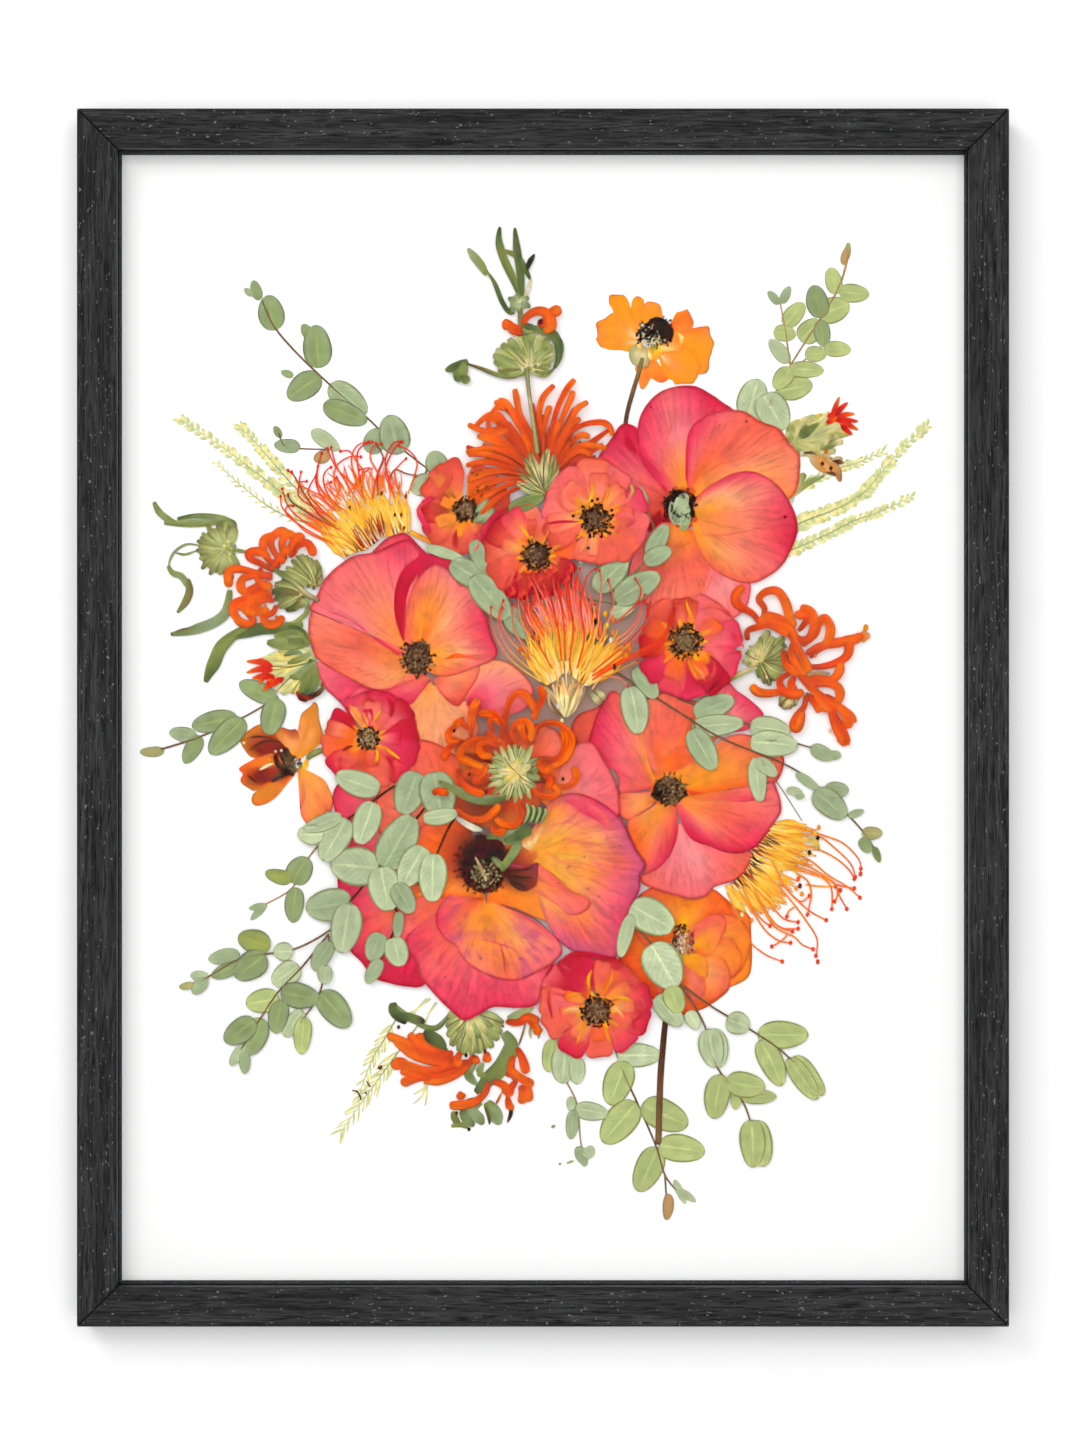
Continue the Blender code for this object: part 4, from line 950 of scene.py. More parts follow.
petal(rose, (-67, 28),
      xz("-79,34 -91,42 -100,51 -110,60 -121,60 -125,50 -124,41 -121,32 -113,26 -103,21 -94,16 -84,15 -73,18 -63,23"),
      "gold salmon rose|gold coral pink|amber coral salmon|amber salmon coral|amber apricot salmon|amber coral coral",
      0.7)
petal(rose, (-60, 21), xz("-63,23 -70,20 -79,17 -84,12 -76,9 -70,7 -66,12 -61,18"),
      "amber coral coral|coral rose magenta|magenta ruby ruby", 0.95)
petal(rose, (-70, 35),
      xz("-77,33 -90,42 -100,50 -111,56 -124,57 -120,66 -116,74 -109,81 -101,86 -91,88 -81,92 -72,95 -66,88 -69,72 "
         "-74,55 -74,43"),
      "gold coral ruby|amber pink magenta|amber pink rose|amber salmon rose|amber salmon rose|amber pink magenta"
      "|gold apricot rose|amber coral coral", 1.05)
# Painted shade: the turned-up edge is coloured deep crimson for the shade on it.
ribbon(rose, xz("-74,41 -76,53 -75.5,66 -71,77 -62,84 -54,82"), [1, 5.5, 7, 8, 6, 1],
       "ruby crimson crimson ruby magenta|crimson crimson ruby ruby magenta|magenta ruby crimson ruby magenta", 1.35)
petal(rose, (-66, 35),
      xz("-74,42 -73,54 -70,66 -65,76 -58,81.5 -51,79 -45,72 -38,69 -34,61 -30,53 -27.5,44 -24,35 -28,30 -36,27 "
         "-46,23 -55,22 -62,25"),
      "gold coral coral|orange amber coral|gold amber rose|orange amber pink|amber peach rose|amber salmon magenta"
      "|gold peach magenta|gold apricot rose|gold amber coral|gold amber amber", 1.5)
crease(rose, xz("-64,68 -68,60 -70,50 -72,42"), "coral", 1.75)
crease(rose, xz("-122,34 -108,31 -96,25 -84,19"), "coral", 0.95)
ribbon(rose, xz("-44,33 -38,32 -34,31"), [0.4, 3.2, 0.4], "coral", 1.7, arch=0.15)
ribbon(rose, xz("-52,31 -46,33 -40,32"), [0.4, 3.0, 0.4], "orange", 1.7, arch=0.15)
petal(rose, (-67, 32), xz("-72,38 -66,40.5 -61,37 -60,30 -64,24 -70,24 -74,31 -72,38"), "umber bark umber", 1.6,
      ragged=0.8)
stamens(rose, -67, 32, 17, 19, 1.9, 3, 280, ("umber", "bark", "tan"))
filaments(rose, -67, 32, 5, 9.0, 1.8, 5, 22, "umber", "umber")
for x, z in xz("-104,63 -82,84 -110,33 -98,26 -74,18 -55.5,9"):
    speck(rose, x, z, 1.1 if z > 40 else 0.9, 0.4, "brick")
rose.lay([ROSE, STAMEN])

# %% The rose at the upper right
rose = Pressed("rose_upper_right")
petal(rose, (74, 114), xz("62,114 66,123 75,126 84,122 87,112 82,103 72,101 64,106 62,114"), "orange orange brick",
      0.0)
petal(rose, (66, 112), xz("54,116 53,106 56,99 64,101 70,106"), "crimson crimson blood|blood blood crimson", 0.0)
petal(rose, (68, 116), xz("66,122 56,132 51,143 51,153 46,156.5 41,155.5 36,148 30,140 27,128 34,118 46,110 58,107"),
      "crimson brick crimson|brick crimson ruby|rose magenta ruby|brick rose magenta|brick rose coral"
      "|crimson brick brick", 0.1)
ribbon(rose, xz("50,141 46,146 44,152"), [1, 5, 1], "crimson ruby", 0.35, arch=0.3)
petal(rose, (75, 120),
      xz("64,122 56,131 51.5,140 50,150 52,161 57,169 64,174.5 73,177 82,176.5 89,173 96,168 103,162 90,158 79,150 "
         "77,136"),
      "gold rose magenta|amber magenta ruby|amber rose magenta|amber rose magenta|gold pink rose|gold pink magenta"
      "|gold rose ruby|gold salmon magenta|gold amber ruby|gold gold amber", 0.35)
petal(rose, (78, 120),
      xz("76,128 76,139 77,150 81,157 89,162 98,164 107,163.5 116,158 126,154 131,147 136.5,141 137,132 136,123 "
         "131,116 118,112 98,108"),
      "orange ruby ruby|coral magenta ruby|coral rose magenta|orange coral rose|amber coral coral|amber salmon coral"
      "|amber apricot salmon|gold amber salmon|gold amber amber|gold amber amber", 0.7)
petal(rose, (72, 104), xz("63,104 54,96 47,84 46,72 52,62 62,58 74,60 84,62 91,70 94,80 88,92 80,100"),
      "orange coral rose|amber coral rose|amber coral salmon|gold coral coral|gold orange coral", 0.5)
petal(rose, (90, 84), xz("92,80 89,71 84,62 84,52 95,50 106,56 110.5,66 109,76 100,80"),
      "coral salmon coral|rose pink salmon|rose blush rose|coral rose magenta", 0.8)
petal(rose, (79, 106),
      xz("80,116 86,121.5 93,126 101,130 110,131.5 118,129 126,123 131,116 135,107 135.5,98 132,89 127.5,81 120,75 "
         "111,71.5 101,73 91,79 84,88 80.5,98"),
      "gold amber coral|gold peach magenta|gold peach magenta|gold peach rose|amber salmon magenta|amber salmon ruby"
      "|amber salmon rose|amber apricot coral|gold amber coral|gold amber amber", 1.1)
crease(rose, xz("71.5,165 68,154 64,143 63,130"), "coral", 0.75)
crease(rose, xz("80,125 92,134 104,138 113,143"), "orange", 1.05)
crease(rose, xz("81,98 93,97 106,99 117,101"), "coral", 1.4)
crease(rose, xz("70,90 79,93.5"), "brick", 0.9, 0.4)
petal(rose, (73, 113), xz("66,117 71,121 78,119 80,112 77,106 70,105 66,110 66,117"), "umber soot soot", 1.1,
      ragged=0.8)
stamens(rose, 73, 113, 15.5, 17, 1.5, 11, 230, ("soot", "soot", "umber"), 0.45)
filaments(rose, 73, 113, 6, 8.8, 1.5, 12, 34, "umber", "soot")
for shape in ((74, 115, 10, 7, 60, "mist"), (70, 109, 13, 6, 100, "sage"), (75, 108, 12, 6, 70, "mist"),
              (76, 103.5, 9, 4, 60, "fern")):
    leaf(rose, *shape, up=2.2)
for x, z, size in ((57.5, 165.5, 0.6), (108.5, 158, 0.7), (129, 107, 0.9), (94, 156, 0.4), (91, 161, 0.4),
                   (128, 115, 0.4)):
    speck(rose, x, z, 1.2 if z < 130 else 1.0, size)
rose.lay([ROSE, STAMEN])


# %% The rose at the lower right
rose = Pressed("rose_lower_right")
petal(rose, (70, -34), xz("56,-36 60,-26 70,-18 84,-18 92,-28 88,-42 72,-50 60,-46 56,-36"), "gold amber orange", 0.0)
petal(rose, (52, -22), xz("18,-14 15,-7 18,1 28,5 38,10 46,6"), "coral coral brick|coral coral coral", 0.0)
petal(rose, (92, -4), xz("88,9 96,20 104,14 111,9 117.5,1 110,-6 100,-8"),
      "rose pink rose|rose pink magenta|coral rose magenta", 0.1)
petal(rose, (64, -32), xz("57,-26 51,-8 52,6 59,12.5 69,13 80,9 90,8 98,0 92,-12 80,-22"),
      "coral salmon coral|orange coral salmon|amber coral coral|amber orange coral|amber orange orange", 0.3)
petal(rose, (60, -28), xz("61,-25 66,-20 74,-15 82,-19 79,-24 70,-29"), "coral orange coral|amber orange coral", 0.45)
petal(rose, (75, -38),
      xz("76,-31 83,-23 92,-14 102,-9 113,-10 124,-18 128.5,-22 127,-30 121,-38 112,-44.5 102,-44 90,-43 80,-42"),
      "amber amber amber|gold amber salmon|gold amber coral|gold amber coral|tangerine orange rose"
      "|orange vermilion ruby|vermilion vermilion crimson",
      0.55)
petal(rose, (59, -36),
      xz("60,-33 57,-25 54,-13 52,-2 46,6 38,14.5 33,10 29,3 26,-6 24.5,-13 29,-18 33,-25 38,-28 40.5,-34 40.5,-39.5 "
         "48,-39.5 56,-38"),
      "gold gold amber|amber amber salmon|amber salmon coral|coral rose magenta|coral rose ruby|coral rose magenta"
      "|coral coral rose|coral magenta magenta",
      0.8)
petal(rose, (60, -42), xz("57,-39 49,-40 41,-40 40,-47 41,-52 46,-54.5 52,-51 58,-47"),
      "coral salmon coral|amber apricot coral|orange amber coral", 0.6)
petal(rose, (72, -54),
      xz("72,-58 70,-68 64,-78 56,-82 52,-85 54,-89 62,-92.5 71,-95 80,-97 87,-95 92,-90 99,-88 105,-85 110,-78 "
         "112,-72 100,-68 88,-63 78,-58"),
      "salmon salmon coral|peach salmon coral|blush pink coral|blush pink rose|pink blush rose|pink rose coral"
      "|rose pink coral|rose coral magenta",
      0.55)
petal(rose, (66, -44), xz("60,-46 53,-51 45,-55 46,-62 50,-71 55,-79 53.5,-84 60,-81 66,-76 70.5,-67 72,-58 71,-50"),
      "amber amber coral|amber apricot coral|gold amber orange|amber salmon coral|amber coral magenta"
      "|amber coral ruby|amber coral coral",
      0.9)
petal(rose, (71, -43),
      xz("76,-42 86,-43 97,-44.5 108,-45 116,-42 120,-38 123,-34 126,-42 127,-50 122.5,-57 118,-64 112,-70 104,-72.5 "
         "95,-71 88,-68 80,-65.5 75,-59 71.5,-50"),
      "amber gold coral|gold amber rose|orange coral magenta|gold coral rose|gold salmon rose|amber coral rose"
      "|amber coral magenta"
      "|amber salmon ruby|coral rose ruby|coral magenta ruby|coral rose coral", 1.15)
crease(rose, xz("62,-9 69,-8 76,-7"), "coral", 0.5, 0.4)
crease(rose, xz("58,-33 55,-26 54,-18 53,-10"), "amber", 1.0, 0.6)
petal(rose, (67, -39), xz("59,-36 64,-32 71,-32.5 76,-38 72,-45 64,-46 59,-42 59,-36"), "umber bark umber", 1.2,
      ragged=0.8)
stamens(rose, 67, -39, 17.5, 14, 1.6, 21, 260, ("umber", "bark", "soot", "tan"))
stamens(rose, 62, -40, 8, 10, 2.0, 22, 60, ("soot", "soot", "umber"))
filaments(rose, 68, -38, 4, 8.5, 1.6, 23, 26, "tan", "umber")
for x, z in xz("113,-48 56.5,-45 92,-82 100,-60"):
    speck(rose, x, z, 1.35, 0.4, "brick")
rose.lay([ROSE, STAMEN])

# %% The rose at the bottom
rose = Pressed("rose_bottom")
petal(rose, (-68, -55), xz("-84,-30 -98,-33 -108,-34 -112,-42 -110.5,-52 -110,-62 -104,-70 -92,-74 -78,-74"),
      "orange coral coral|coral rose magenta|coral rose magenta|coral rose magenta|orange coral rose", 0.0)
petal(rose, (-62, -92),
      xz("-84,-76 -98,-80 -109,-84 -108.5,-96 -107,-108 -104,-122 -97,-130 -90,-138.5 -79,-142 -64,-143 -58,-130"),
      "orange coral rose|coral rose magenta|orange rose ruby|amber coral magenta|orange rose ruby|coral magenta ruby"
      "|coral magenta crimson", 0.1)
petal(rose, (-46, -58), xz("-44,-22 -56,-14 -68,-12 -80,-22 -88,-38 -89,-54 -84,-68 -70,-78 -58,-80"),
      "rust orange coral|orange coral coral|orange salmon coral|rust coral coral|rust orange coral", 0.25)
petal(rose, (-10, -38), xz("-26,-16 -10,-4 6,-6 12,-18 12,-34 6,-50"),
      "rust orange coral|orange coral salmon|orange amber coral", 0.1)
petal(rose, (8, -52), xz("6,-40 10,-26 15,-17 21,-13 27,-14 31,-20 35,-27 39,-35 40.5,-44 40,-53 28,-58"),
      "apricot apricot salmon|apricot salmon pink|apricot pink rose|apricot pink rose|salmon rose rose"
      "|coral rose magenta", 0.3)
petal(rose, (-34, -76), xz("-40,-52 -54,-52 -66,-60 -68,-72 -64,-86 -54,-96 -42,-99 -30,-100"),
      "soot umber rust orange|umber rust orange coral|umber rust orange orange|umber rust amber orange"
      "|umber rust tangerine orange", 0.5)
petal(rose, (-28, -82), xz("-18,-64 -6,-68 4,-76 14,-88 18,-100 12,-110 -2,-107 -16,-101 -30,-99"),
      "soot rust amber|umber rust amber|umber amber amber|rust tangerine amber|rust tangerine orange", 0.6)
petal(rose, (-6, -72),
      xz("-14,-66 -7,-61 -1,-52 4,-45 9,-41.5 17,-40 25,-42 34,-47 42,-54 46,-63 50,-71 55,-78 52,-84 52,-90 49,-97 "
         "46,-105 42,-115 40,-128 28,-127 18,-125 11,-121 4,-113 -3,-96"),
      "amber cream amber|amber butter amber salmon|honey apricot amber rose|amber honey apricot rose magenta"
      "|honey amber apricot mauve|amber honey apricot coral mauve"
      "|honey apricot amber rose mauve|amber honey apricot rose magenta|honey amber amber coral mauve"
      "|amber honey apricot rose mauve|rust amber honey rose", 0.95,
      ruffle=0.25, stain="amber mauve")
petal(rose, (-6, -86), xz("-3,-77 5,-83 13,-90.5 20,-94 25.5,-98 22.5,-103 15,-105 8,-100 0,-95 -6,-92"),
      "rust salmon coral|amber coral coral|amber salmon rose|orange amber coral", 1.25)
petal(rose, (-21, -82), xz("-17,-78 -8,-79 -2,-77 -3,-84 -4,-89 -11,-92.5 -17,-89"),
      "umber oxblood mauve|soot rust plum|oxblood umber rust|soot umber soot", 1.4, ragged=0.9)
for path in (xz("-18,-81 -10,-81 -4,-79"), xz("-18,-84 -11,-85 -5,-85"), xz("-17,-87 -12,-89 -9,-91")):
    crease(rose, path, "soot", 1.85, 0.9)
petal(rose, (-46, -98), xz("-62,-94 -72,-98 -80,-106 -78,-116 -73,-120 -66,-119 -58,-115"),
      "orange coral coral|coral coral rose|coral coral magenta", 0.9)
petal(rose, (-28, -98),
      xz("-56,-104 -68,-112 -74,-120 -68,-129 -65,-138 -58,-147 -50,-155 -42,-161.5 -34,-158 -26,-154 -13,-154.5 "
         "-3,-153 -1,-145 3,-136 6,-130 10,-124 8,-118"),
      "coral coral rose|coral coral magenta|amber coral rose|amber rose magenta|coral rose magenta"
      "|salmon rose magenta|salmon rose rose|coral rose magenta|coral rose coral",
      1.2, stain="magenta")
petal(rose, (-30, -96),
      xz("-50,-94 -56,-102 -57,-110 -52,-118 -46,-122 -42,-129 -34,-135 -24,-139 -14,-140 -4,-136 6,-130 10.5,-124 "
         "6,-116 -2,-110 -10,-105 -20,-101"),
      "rust coral coral|orange coral magenta|amber amber rose|gold amber salmon|gold amber coral|amber apricot rose"
      "|amber salmon rose|amber coral magenta|rust orange magenta",
      1.5, stain="mauve")
crease(rose, xz("-38,-117 -28,-119 -18,-122 -12,-126"), "magenta", 1.85, 0.5)
crease(rose, xz("-23,-120 -21,-127 -20,-135"), "ruby", 1.85, 0.5)
crease(rose, xz("-22,-100 -6,-106 4,-114"), "rust", 1.8, 0.8)
crease(rose, xz("-40,-129 -30,-141 -26,-152"), "magenta", 1.5, 0.5)
ribbon(rose, xz("12,-44 22,-48 31,-53 36,-60"), [0.4, 7, 6, 0.6], "magenta rose coral|rose magenta rose", 1.25,
       arch=0.2)
for path in (xz("10,-64 22,-67 34,-68"), xz("2,-58 14,-56 24,-60"), xz("0,-70 9,-76 20,-78"),
             xz("30,-56 36,-66 40,-74"), xz("24,-75 34,-80 47,-84"), xz("12,-108 20,-112 24,-111"),
             xz("26,-86 33,-84"), xz("36,-90 44,-88 50,-87")):
    crease(rose, path, "rose", 1.3, 0.5)
petal(rose, (-32, -77), xz("-41,-70 -33,-62 -23,-66 -20,-76 -22,-88 -31,-93 -41,-88 -44,-79 -41,-70"),
      "umber soot oxblood", 1.5, ragged=1.4)
stamens(rose, -32, -77, 24, 29, 1.9, 31, 420, ("soot", "oxblood", "umber"), size=0.9)
stamens(rose, -30, -84, 15, 14, 2.5, 32, 170, ("khaki", "umber", "bark", "straw"), size=0.6)
filaments(rose, -32, -78, 7, 14.5, 2.2, 33, 70, "soot", "umber")
filaments(rose, -31, -83, 2, 6.5, 2.8, 34, 22, "bark", "khaki")
ribbon(rose, xz("-36,-74 -33,-80 -30,-87"), [0.6, 2.2, 1.0], "straw tan straw", 3.2, arch=0.4)
for width, path in ((6, xz("-30,-64 -23,-62 -17,-66 -14,-61")), (5, xz("-12,-60 -14,-69 -20,-78 -22,-82")),
                    (4, xz("-27,-74 -23,-78 -20,-80"))):
    ribbon(rose, path, [1.5, width, 0.8 * width, 1], "pine fern moss pine|moss fern olive moss", 3.4, arch=0.5,
           look=1)
for x, z in xz("-44,-145 -38,-148 -33,-128 -52,-138 24,-91 14,-79 13,-80 8,-88 22,-74 30,-95 12,-69 -12,-128 41,-68"):
    speck(rose, x, z, 1.9, 0.5, "plum")
rose.lay([ROSE, STAMEN])

# %% [markdown]
# ## Spray roses
#
# The six small roses are double: rings of petals, each ring shorter than the one below it, folded
# and creased by the press. A fan petal is written in the way that a florist would say it: which
# way it points from the flower's middle, how wide it spreads, how far it reaches, and its colours.

# %% A petal that points away from the middle
FAN_STEPS = 7        # spans of the rim of a fan petal


def fan(piece, center, angle, spread_deg, reach, colors, up, start=0.0, notch=0.06):
    """A rounded petal that grows from near the middle towards angle, in degrees."""
    x, z = center
    turn = math.radians(angle)
    base = (x + start * math.cos(turn), z + start * math.sin(turn))
    rim = []
    for step in range(FAN_STEPS + 1):
        t = step / FAN_STEPS
        at = turn + math.radians(spread_deg) * (t - 0.5)
        far = (reach - start) * (0.66 + 0.34 * math.sin(math.pi * t) ** 0.6)
        far *= 1 - notch * math.cos(math.tau * 1.5 * (t - 0.5)) + 0.05 * noise.noise(Vector((at * 2, reach, x)))
        rim.append((base[0] + far * math.cos(at), base[1] + far * math.sin(at)))
    petal(piece, base, rim[::-1], colors, up, ruffle=0.35, ragged=0.2, cell=1.7)
    crease(piece, rim[1:5] if piece.parts % 2 else rim[3:7],
           "crimson" if "crimson" in colors or "ruby" in colors else "brick", up + 0.3, 0.5)


def fold(piece, path, width, colors, up=1.2):
    """A petal's edge that was folded over: a narrow raised strip with tapered ends."""
    ribbon(piece, path, [0.3, width, width, 0.3], colors, up, arch=0.4, thick=0.15)


GOLD_RAYS = 11       # yellow petaloids that show as a star around the stamens


def spray_rose(node, center, petals, folds, middle, extra=None):
    """A double rose: petals from the lowest up, folds on them, and stamens in the middle."""
    piece = Pressed(node)
    highest = 1.6
    for number, (angle, spread_deg, reach, colors) in enumerate(petals):
        fan(piece, center, angle, spread_deg, reach, colors, highest * number / len(petals), start=0.12 * reach)
    for width, colors, *path in folds:
        fold(piece, path, width, colors, highest)
    (x, z), disc, ring, tints = middle
    for step in range(GOLD_RAYS):
        turn = math.tau * (step + 0.3 * math.sin(5 * step)) / GOLD_RAYS
        reach = ring * (0.72, 0.95, 0.62)[step % 3]
        ribbon(piece, [(x + far * math.cos(turn), z + far * math.sin(turn)) for far in (0.3 * ring, 0.6 * reach,
                                                                                        reach)],
               [2.6, 0.2 * ring, 0.7], ("rust gold sunflower", "umber amber gold", "brick gold amber")[step % 3],
               highest - 0.05, arch=0.15)
    round_rim = [(x + 0.45 * ring * math.cos(math.tau * step / 12), z + 0.45 * ring * math.sin(math.tau * step / 12))
                 for step in range(13)]
    petal(piece, (x, z), round_rim[::-1], "bark umber soot", highest, ragged=0.5, cell=1.4)
    stamens(piece, x, z, ring, ring, highest + 0.2, len(petals) * 7, 150, tints[0], 0.6, size=0.75)
    stamens(piece, x, z, disc, disc, highest + 0.5, len(petals) * 5, 210, tints[1], size=0.6)
    filaments(piece, x, z, 0.4 * ring, 0.55 * ring, highest + 0.1, len(petals) * 3, 22, "umber", "soot")
    if extra:
        extra(piece, highest)
    piece.lay([ROSE, STAMEN])


DARK_RING, TAN_DISC, DARK_DISC = ("umber", "soot", "bark"), ("bark", "tan", "umber"), ("bark", "umber", "tan")
print("fans ready")

# %% Spray roses at the top
def green_bit(piece, up):
    for path, width in ((xz("-37,104 -31,108 -28,113"), 5), (xz("-36,109 -32,113 -29,118"), 4),
                        (xz("-33,103 -28,108 -27,112"), 4)):
        ribbon(piece, path, [1, width, width, 1], "pine sage pine|sage mist moss|moss sage pine", up + 0.9, arch=0.6)


spray_rose("spray_rose_top_left", (-42, 110), [
    (60, 60, 27, "orange orange coral"), (10, 60, 27, "amber brick brick"), (330, 60, 24, "amber coral crimson"),
    (295, 50, 26, "gold coral crimson"), (275, 40, 24, "gold coral brick"), (250, 45, 24, "amber coral coral"),
    (215, 60, 25, "amber ochre coral brick"), (180, 55, 24, "ochre rust brick crimson"),
    (140, 60, 27, "ochre rust coral brick"), (110, 50, 29, "amber coral brick"), (128, 22, 28, "rust ochre coral"),
    (205, 40, 17, "gold amber amber"), (255, 34, 15, "gold gold amber"), (300, 34, 14, "gold amber coral"),
    (155, 40, 14, "gold tangerine amber"),
], [
    (3.5, "coral brick coral", *xz("-48,131 -52,123 -58,117")),
    (3.2, "coral magenta crimson", *xz("-65,114 -66,109 -61,100 -60,98")),
    (3.2, "brick magenta crimson", *xz("-66,111 -61,116 -57,117")), (3, "magenta coral", *xz("-36,98 -34,92 -37,88")),
    (2.6, "crimson brick", *xz("-46,100 -47,94 -46,89")),
], ((-41, 110.5), 8.5, 12, (DARK_RING, TAN_DISC)), green_bit)
spray_rose("spray_rose_center", (-6, 88), [
    (100, 60, 26, "orange coral salmon"), (60, 60, 24, "amber coral pink"), (10, 60, 26, "gold orange coral"),
    (330, 50, 26, "orange brick crimson"), (290, 55, 27, "crimson brick crimson"),
    (250, 55, 27, "rust brick crimson"), (215, 60, 27, "orange coral brick"), (180, 50, 26, "amber salmon brick"),
    (150, 55, 27, "amber coral brick crimson"), (120, 50, 26, "orange salmon coral magenta"),
    (90, 30, 18, "amber brick coral"), (165, 40, 17, "gold apricot coral"), (200, 36, 18, "orange coral coral"),
    (15, 40, 15, "gold amber salmon"), (345, 24, 16, "amber orange coral"), (265, 50, 12, "gold amber orange"),
], [
    (3, "crimson ruby crimson", *xz("-31,98 -27,106 -18,112")),
    (3.5, "crimson magenta brick", *xz("-33,93 -31,100 -29,104")),
    (1.6, "gold sunflower gold", *xz("-6,94 -10,99 -12,103")), (1.6, "gold amber gold", *xz("-1,92 2,97 3,100")),
    (1.6, "gold amber", *xz("1,84 5,83 8,81")), (2.4, "ruby crimson", *xz("10,80 14,76 13,71")),
    (2.4, "crimson ruby", *xz("-13,78 -15,72 -12,66")), (2, "magenta crimson", *xz("5,78 6,72 4,66")),
], ((-3.5, 86), 11, 15, (DARK_RING, DARK_DISC)))
spray_rose("spray_rose_center_right", (28, 107), [
    (92, 60, 32, "apricot salmon coral"), (60, 50, 29, "salmon coral rose"), (130, 60, 31, "salmon coral rose"),
    (20, 50, 29, "amber rose magenta"), (345, 55, 30, "amber coral rose"), (165, 60, 30, "amber salmon rose"),
    (315, 55, 30, "amber coral coral"), (205, 55, 30, "salmon coral coral brick"),
    (190, 40, 27, "gold apricot salmon coral"), (285, 50, 27, "amber coral coral"),
    (255, 50, 26, "amber salmon coral"), (135, 44, 24, "gold apricot coral salmon"),
    (85, 44, 24, "gold salmon coral"), (50, 36, 22, "gold apricot coral"), (30, 30, 20, "gold salmon coral"),
    (5, 34, 21, "gold coral coral"), (265, 24, 22, "gold apricot salmon"), (235, 34, 14, "gold sunflower amber"),
    (330, 40, 15, "gold amber coral"),
], [
    (1.8, "gold sunflower gold", *xz("22,112 26,118 26,125")), (1.8, "gold amber gold", *xz("32,114 34,118 35,123")),
    (1.8, "sunflower gold", *xz("22,110 18,109 14,108")), (1.8, "gold amber", *xz("22,112 19,115 16,117")),
    (1.8, "gold amber", *xz("35,111 38,112 42,113")), (1.6, "apricot amber", *xz("24,98 22,92 20,87")),
    (2.4, "coral rose coral", *xz("47,122 46,116 42,113")),
    (2.4, "coral rose magenta", *xz("37,107 44,108 48,105 44,101")),
    (2, "rose coral rose", *xz("12,124 8,118 11,111 18,109")), (2, "lemon fern", *xz("46.5,124 47.5,120 45,116")),
    (1.6, "crimson magenta", *xz("3,103 9,104 20,104")),
], ((28, 105), 10.5, 15, (DARK_RING, DARK_DISC)), lambda piece, up: [
    piece.bead(x, z, up + 0.4, 0.9, wash("soot")(0, 0), 1)
    for x, z in xz("25,96 31,96 33,99 35.5,98 37,101 37,107.5 36.5,110 24,90 16,107 21,112 26,115 29,116")
] + [piece.bead(20, 82, up + 0.4, 1.3, wash("grey")(0, 0), 1)])

# %% Spray roses at the sides and the bottom
spray_rose("spray_rose_mid_right", (76, 38), [
    (60, 55, 30, "coral rose rose"), (40, 50, 30, "coral coral rose"), (95, 45, 27, "brick coral brick"),
    (125, 50, 29, "brick brick coral"), (15, 50, 31, "coral rose magenta"), (340, 50, 31, "coral rose magenta"),
    (310, 50, 31, "rust ruby crimson"), (280, 50, 29, "orange ruby magenta"), (250, 50, 28, "orange coral magenta"),
    (215, 50, 28, "orange magenta ruby"), (180, 50, 26, "amber vermilion crimson"),
    (150, 44, 25, "amber orange brick"), (35, 36, 23, "gold coral coral orange"),
    (100, 28, 25, "gold amber coral brick"), (80, 20, 25, "amber gold coral brick"),
    (245, 50, 20, "gold orange coral"), (300, 40, 20, "amber orange coral"), (330, 40, 16, "gold gold orange"),
    (200, 36, 13, "gold amber orange"),
], [
    (3, "crimson ruby oxblood", *xz("88,33 93,28 93,20 88,14")),
    (2.2, "crimson coral", *xz("80,18 86,19 91,24 91,31")),
    (2.4, "magenta coral rose", *xz("100,55 95,58 88,60 84,57")),
    (2.2, "crimson vermilion crimson", *xz("70,60 69,54 66,47")),
    (1.8, "sunflower gold amber", *xz("76,62 78,56 81,50")), (1.8, "gold amber", *xz("77,30 80,24 82,20")),
    (1.8, "amber apricot", *xz("79,29 84,24 86,20")), (2, "rose ruby", *xz("95,32 100,35 106,35")),
    (2, "ruby rose", *xz("100,45 104,41 107,37")),
], ((75.5, 40.5), 11, 17, (DARK_RING, ("bark", "tan", "olive"))), lambda piece, up: [
    piece.bead(x, z, up + 0.5, 0.7, wash("sunflower")(0, 0), 1)
    for x, z in xz("69,41 84,38.5 74,32.5 77.5,29.5 80,45.5 70,46 83,31 67,37")
])
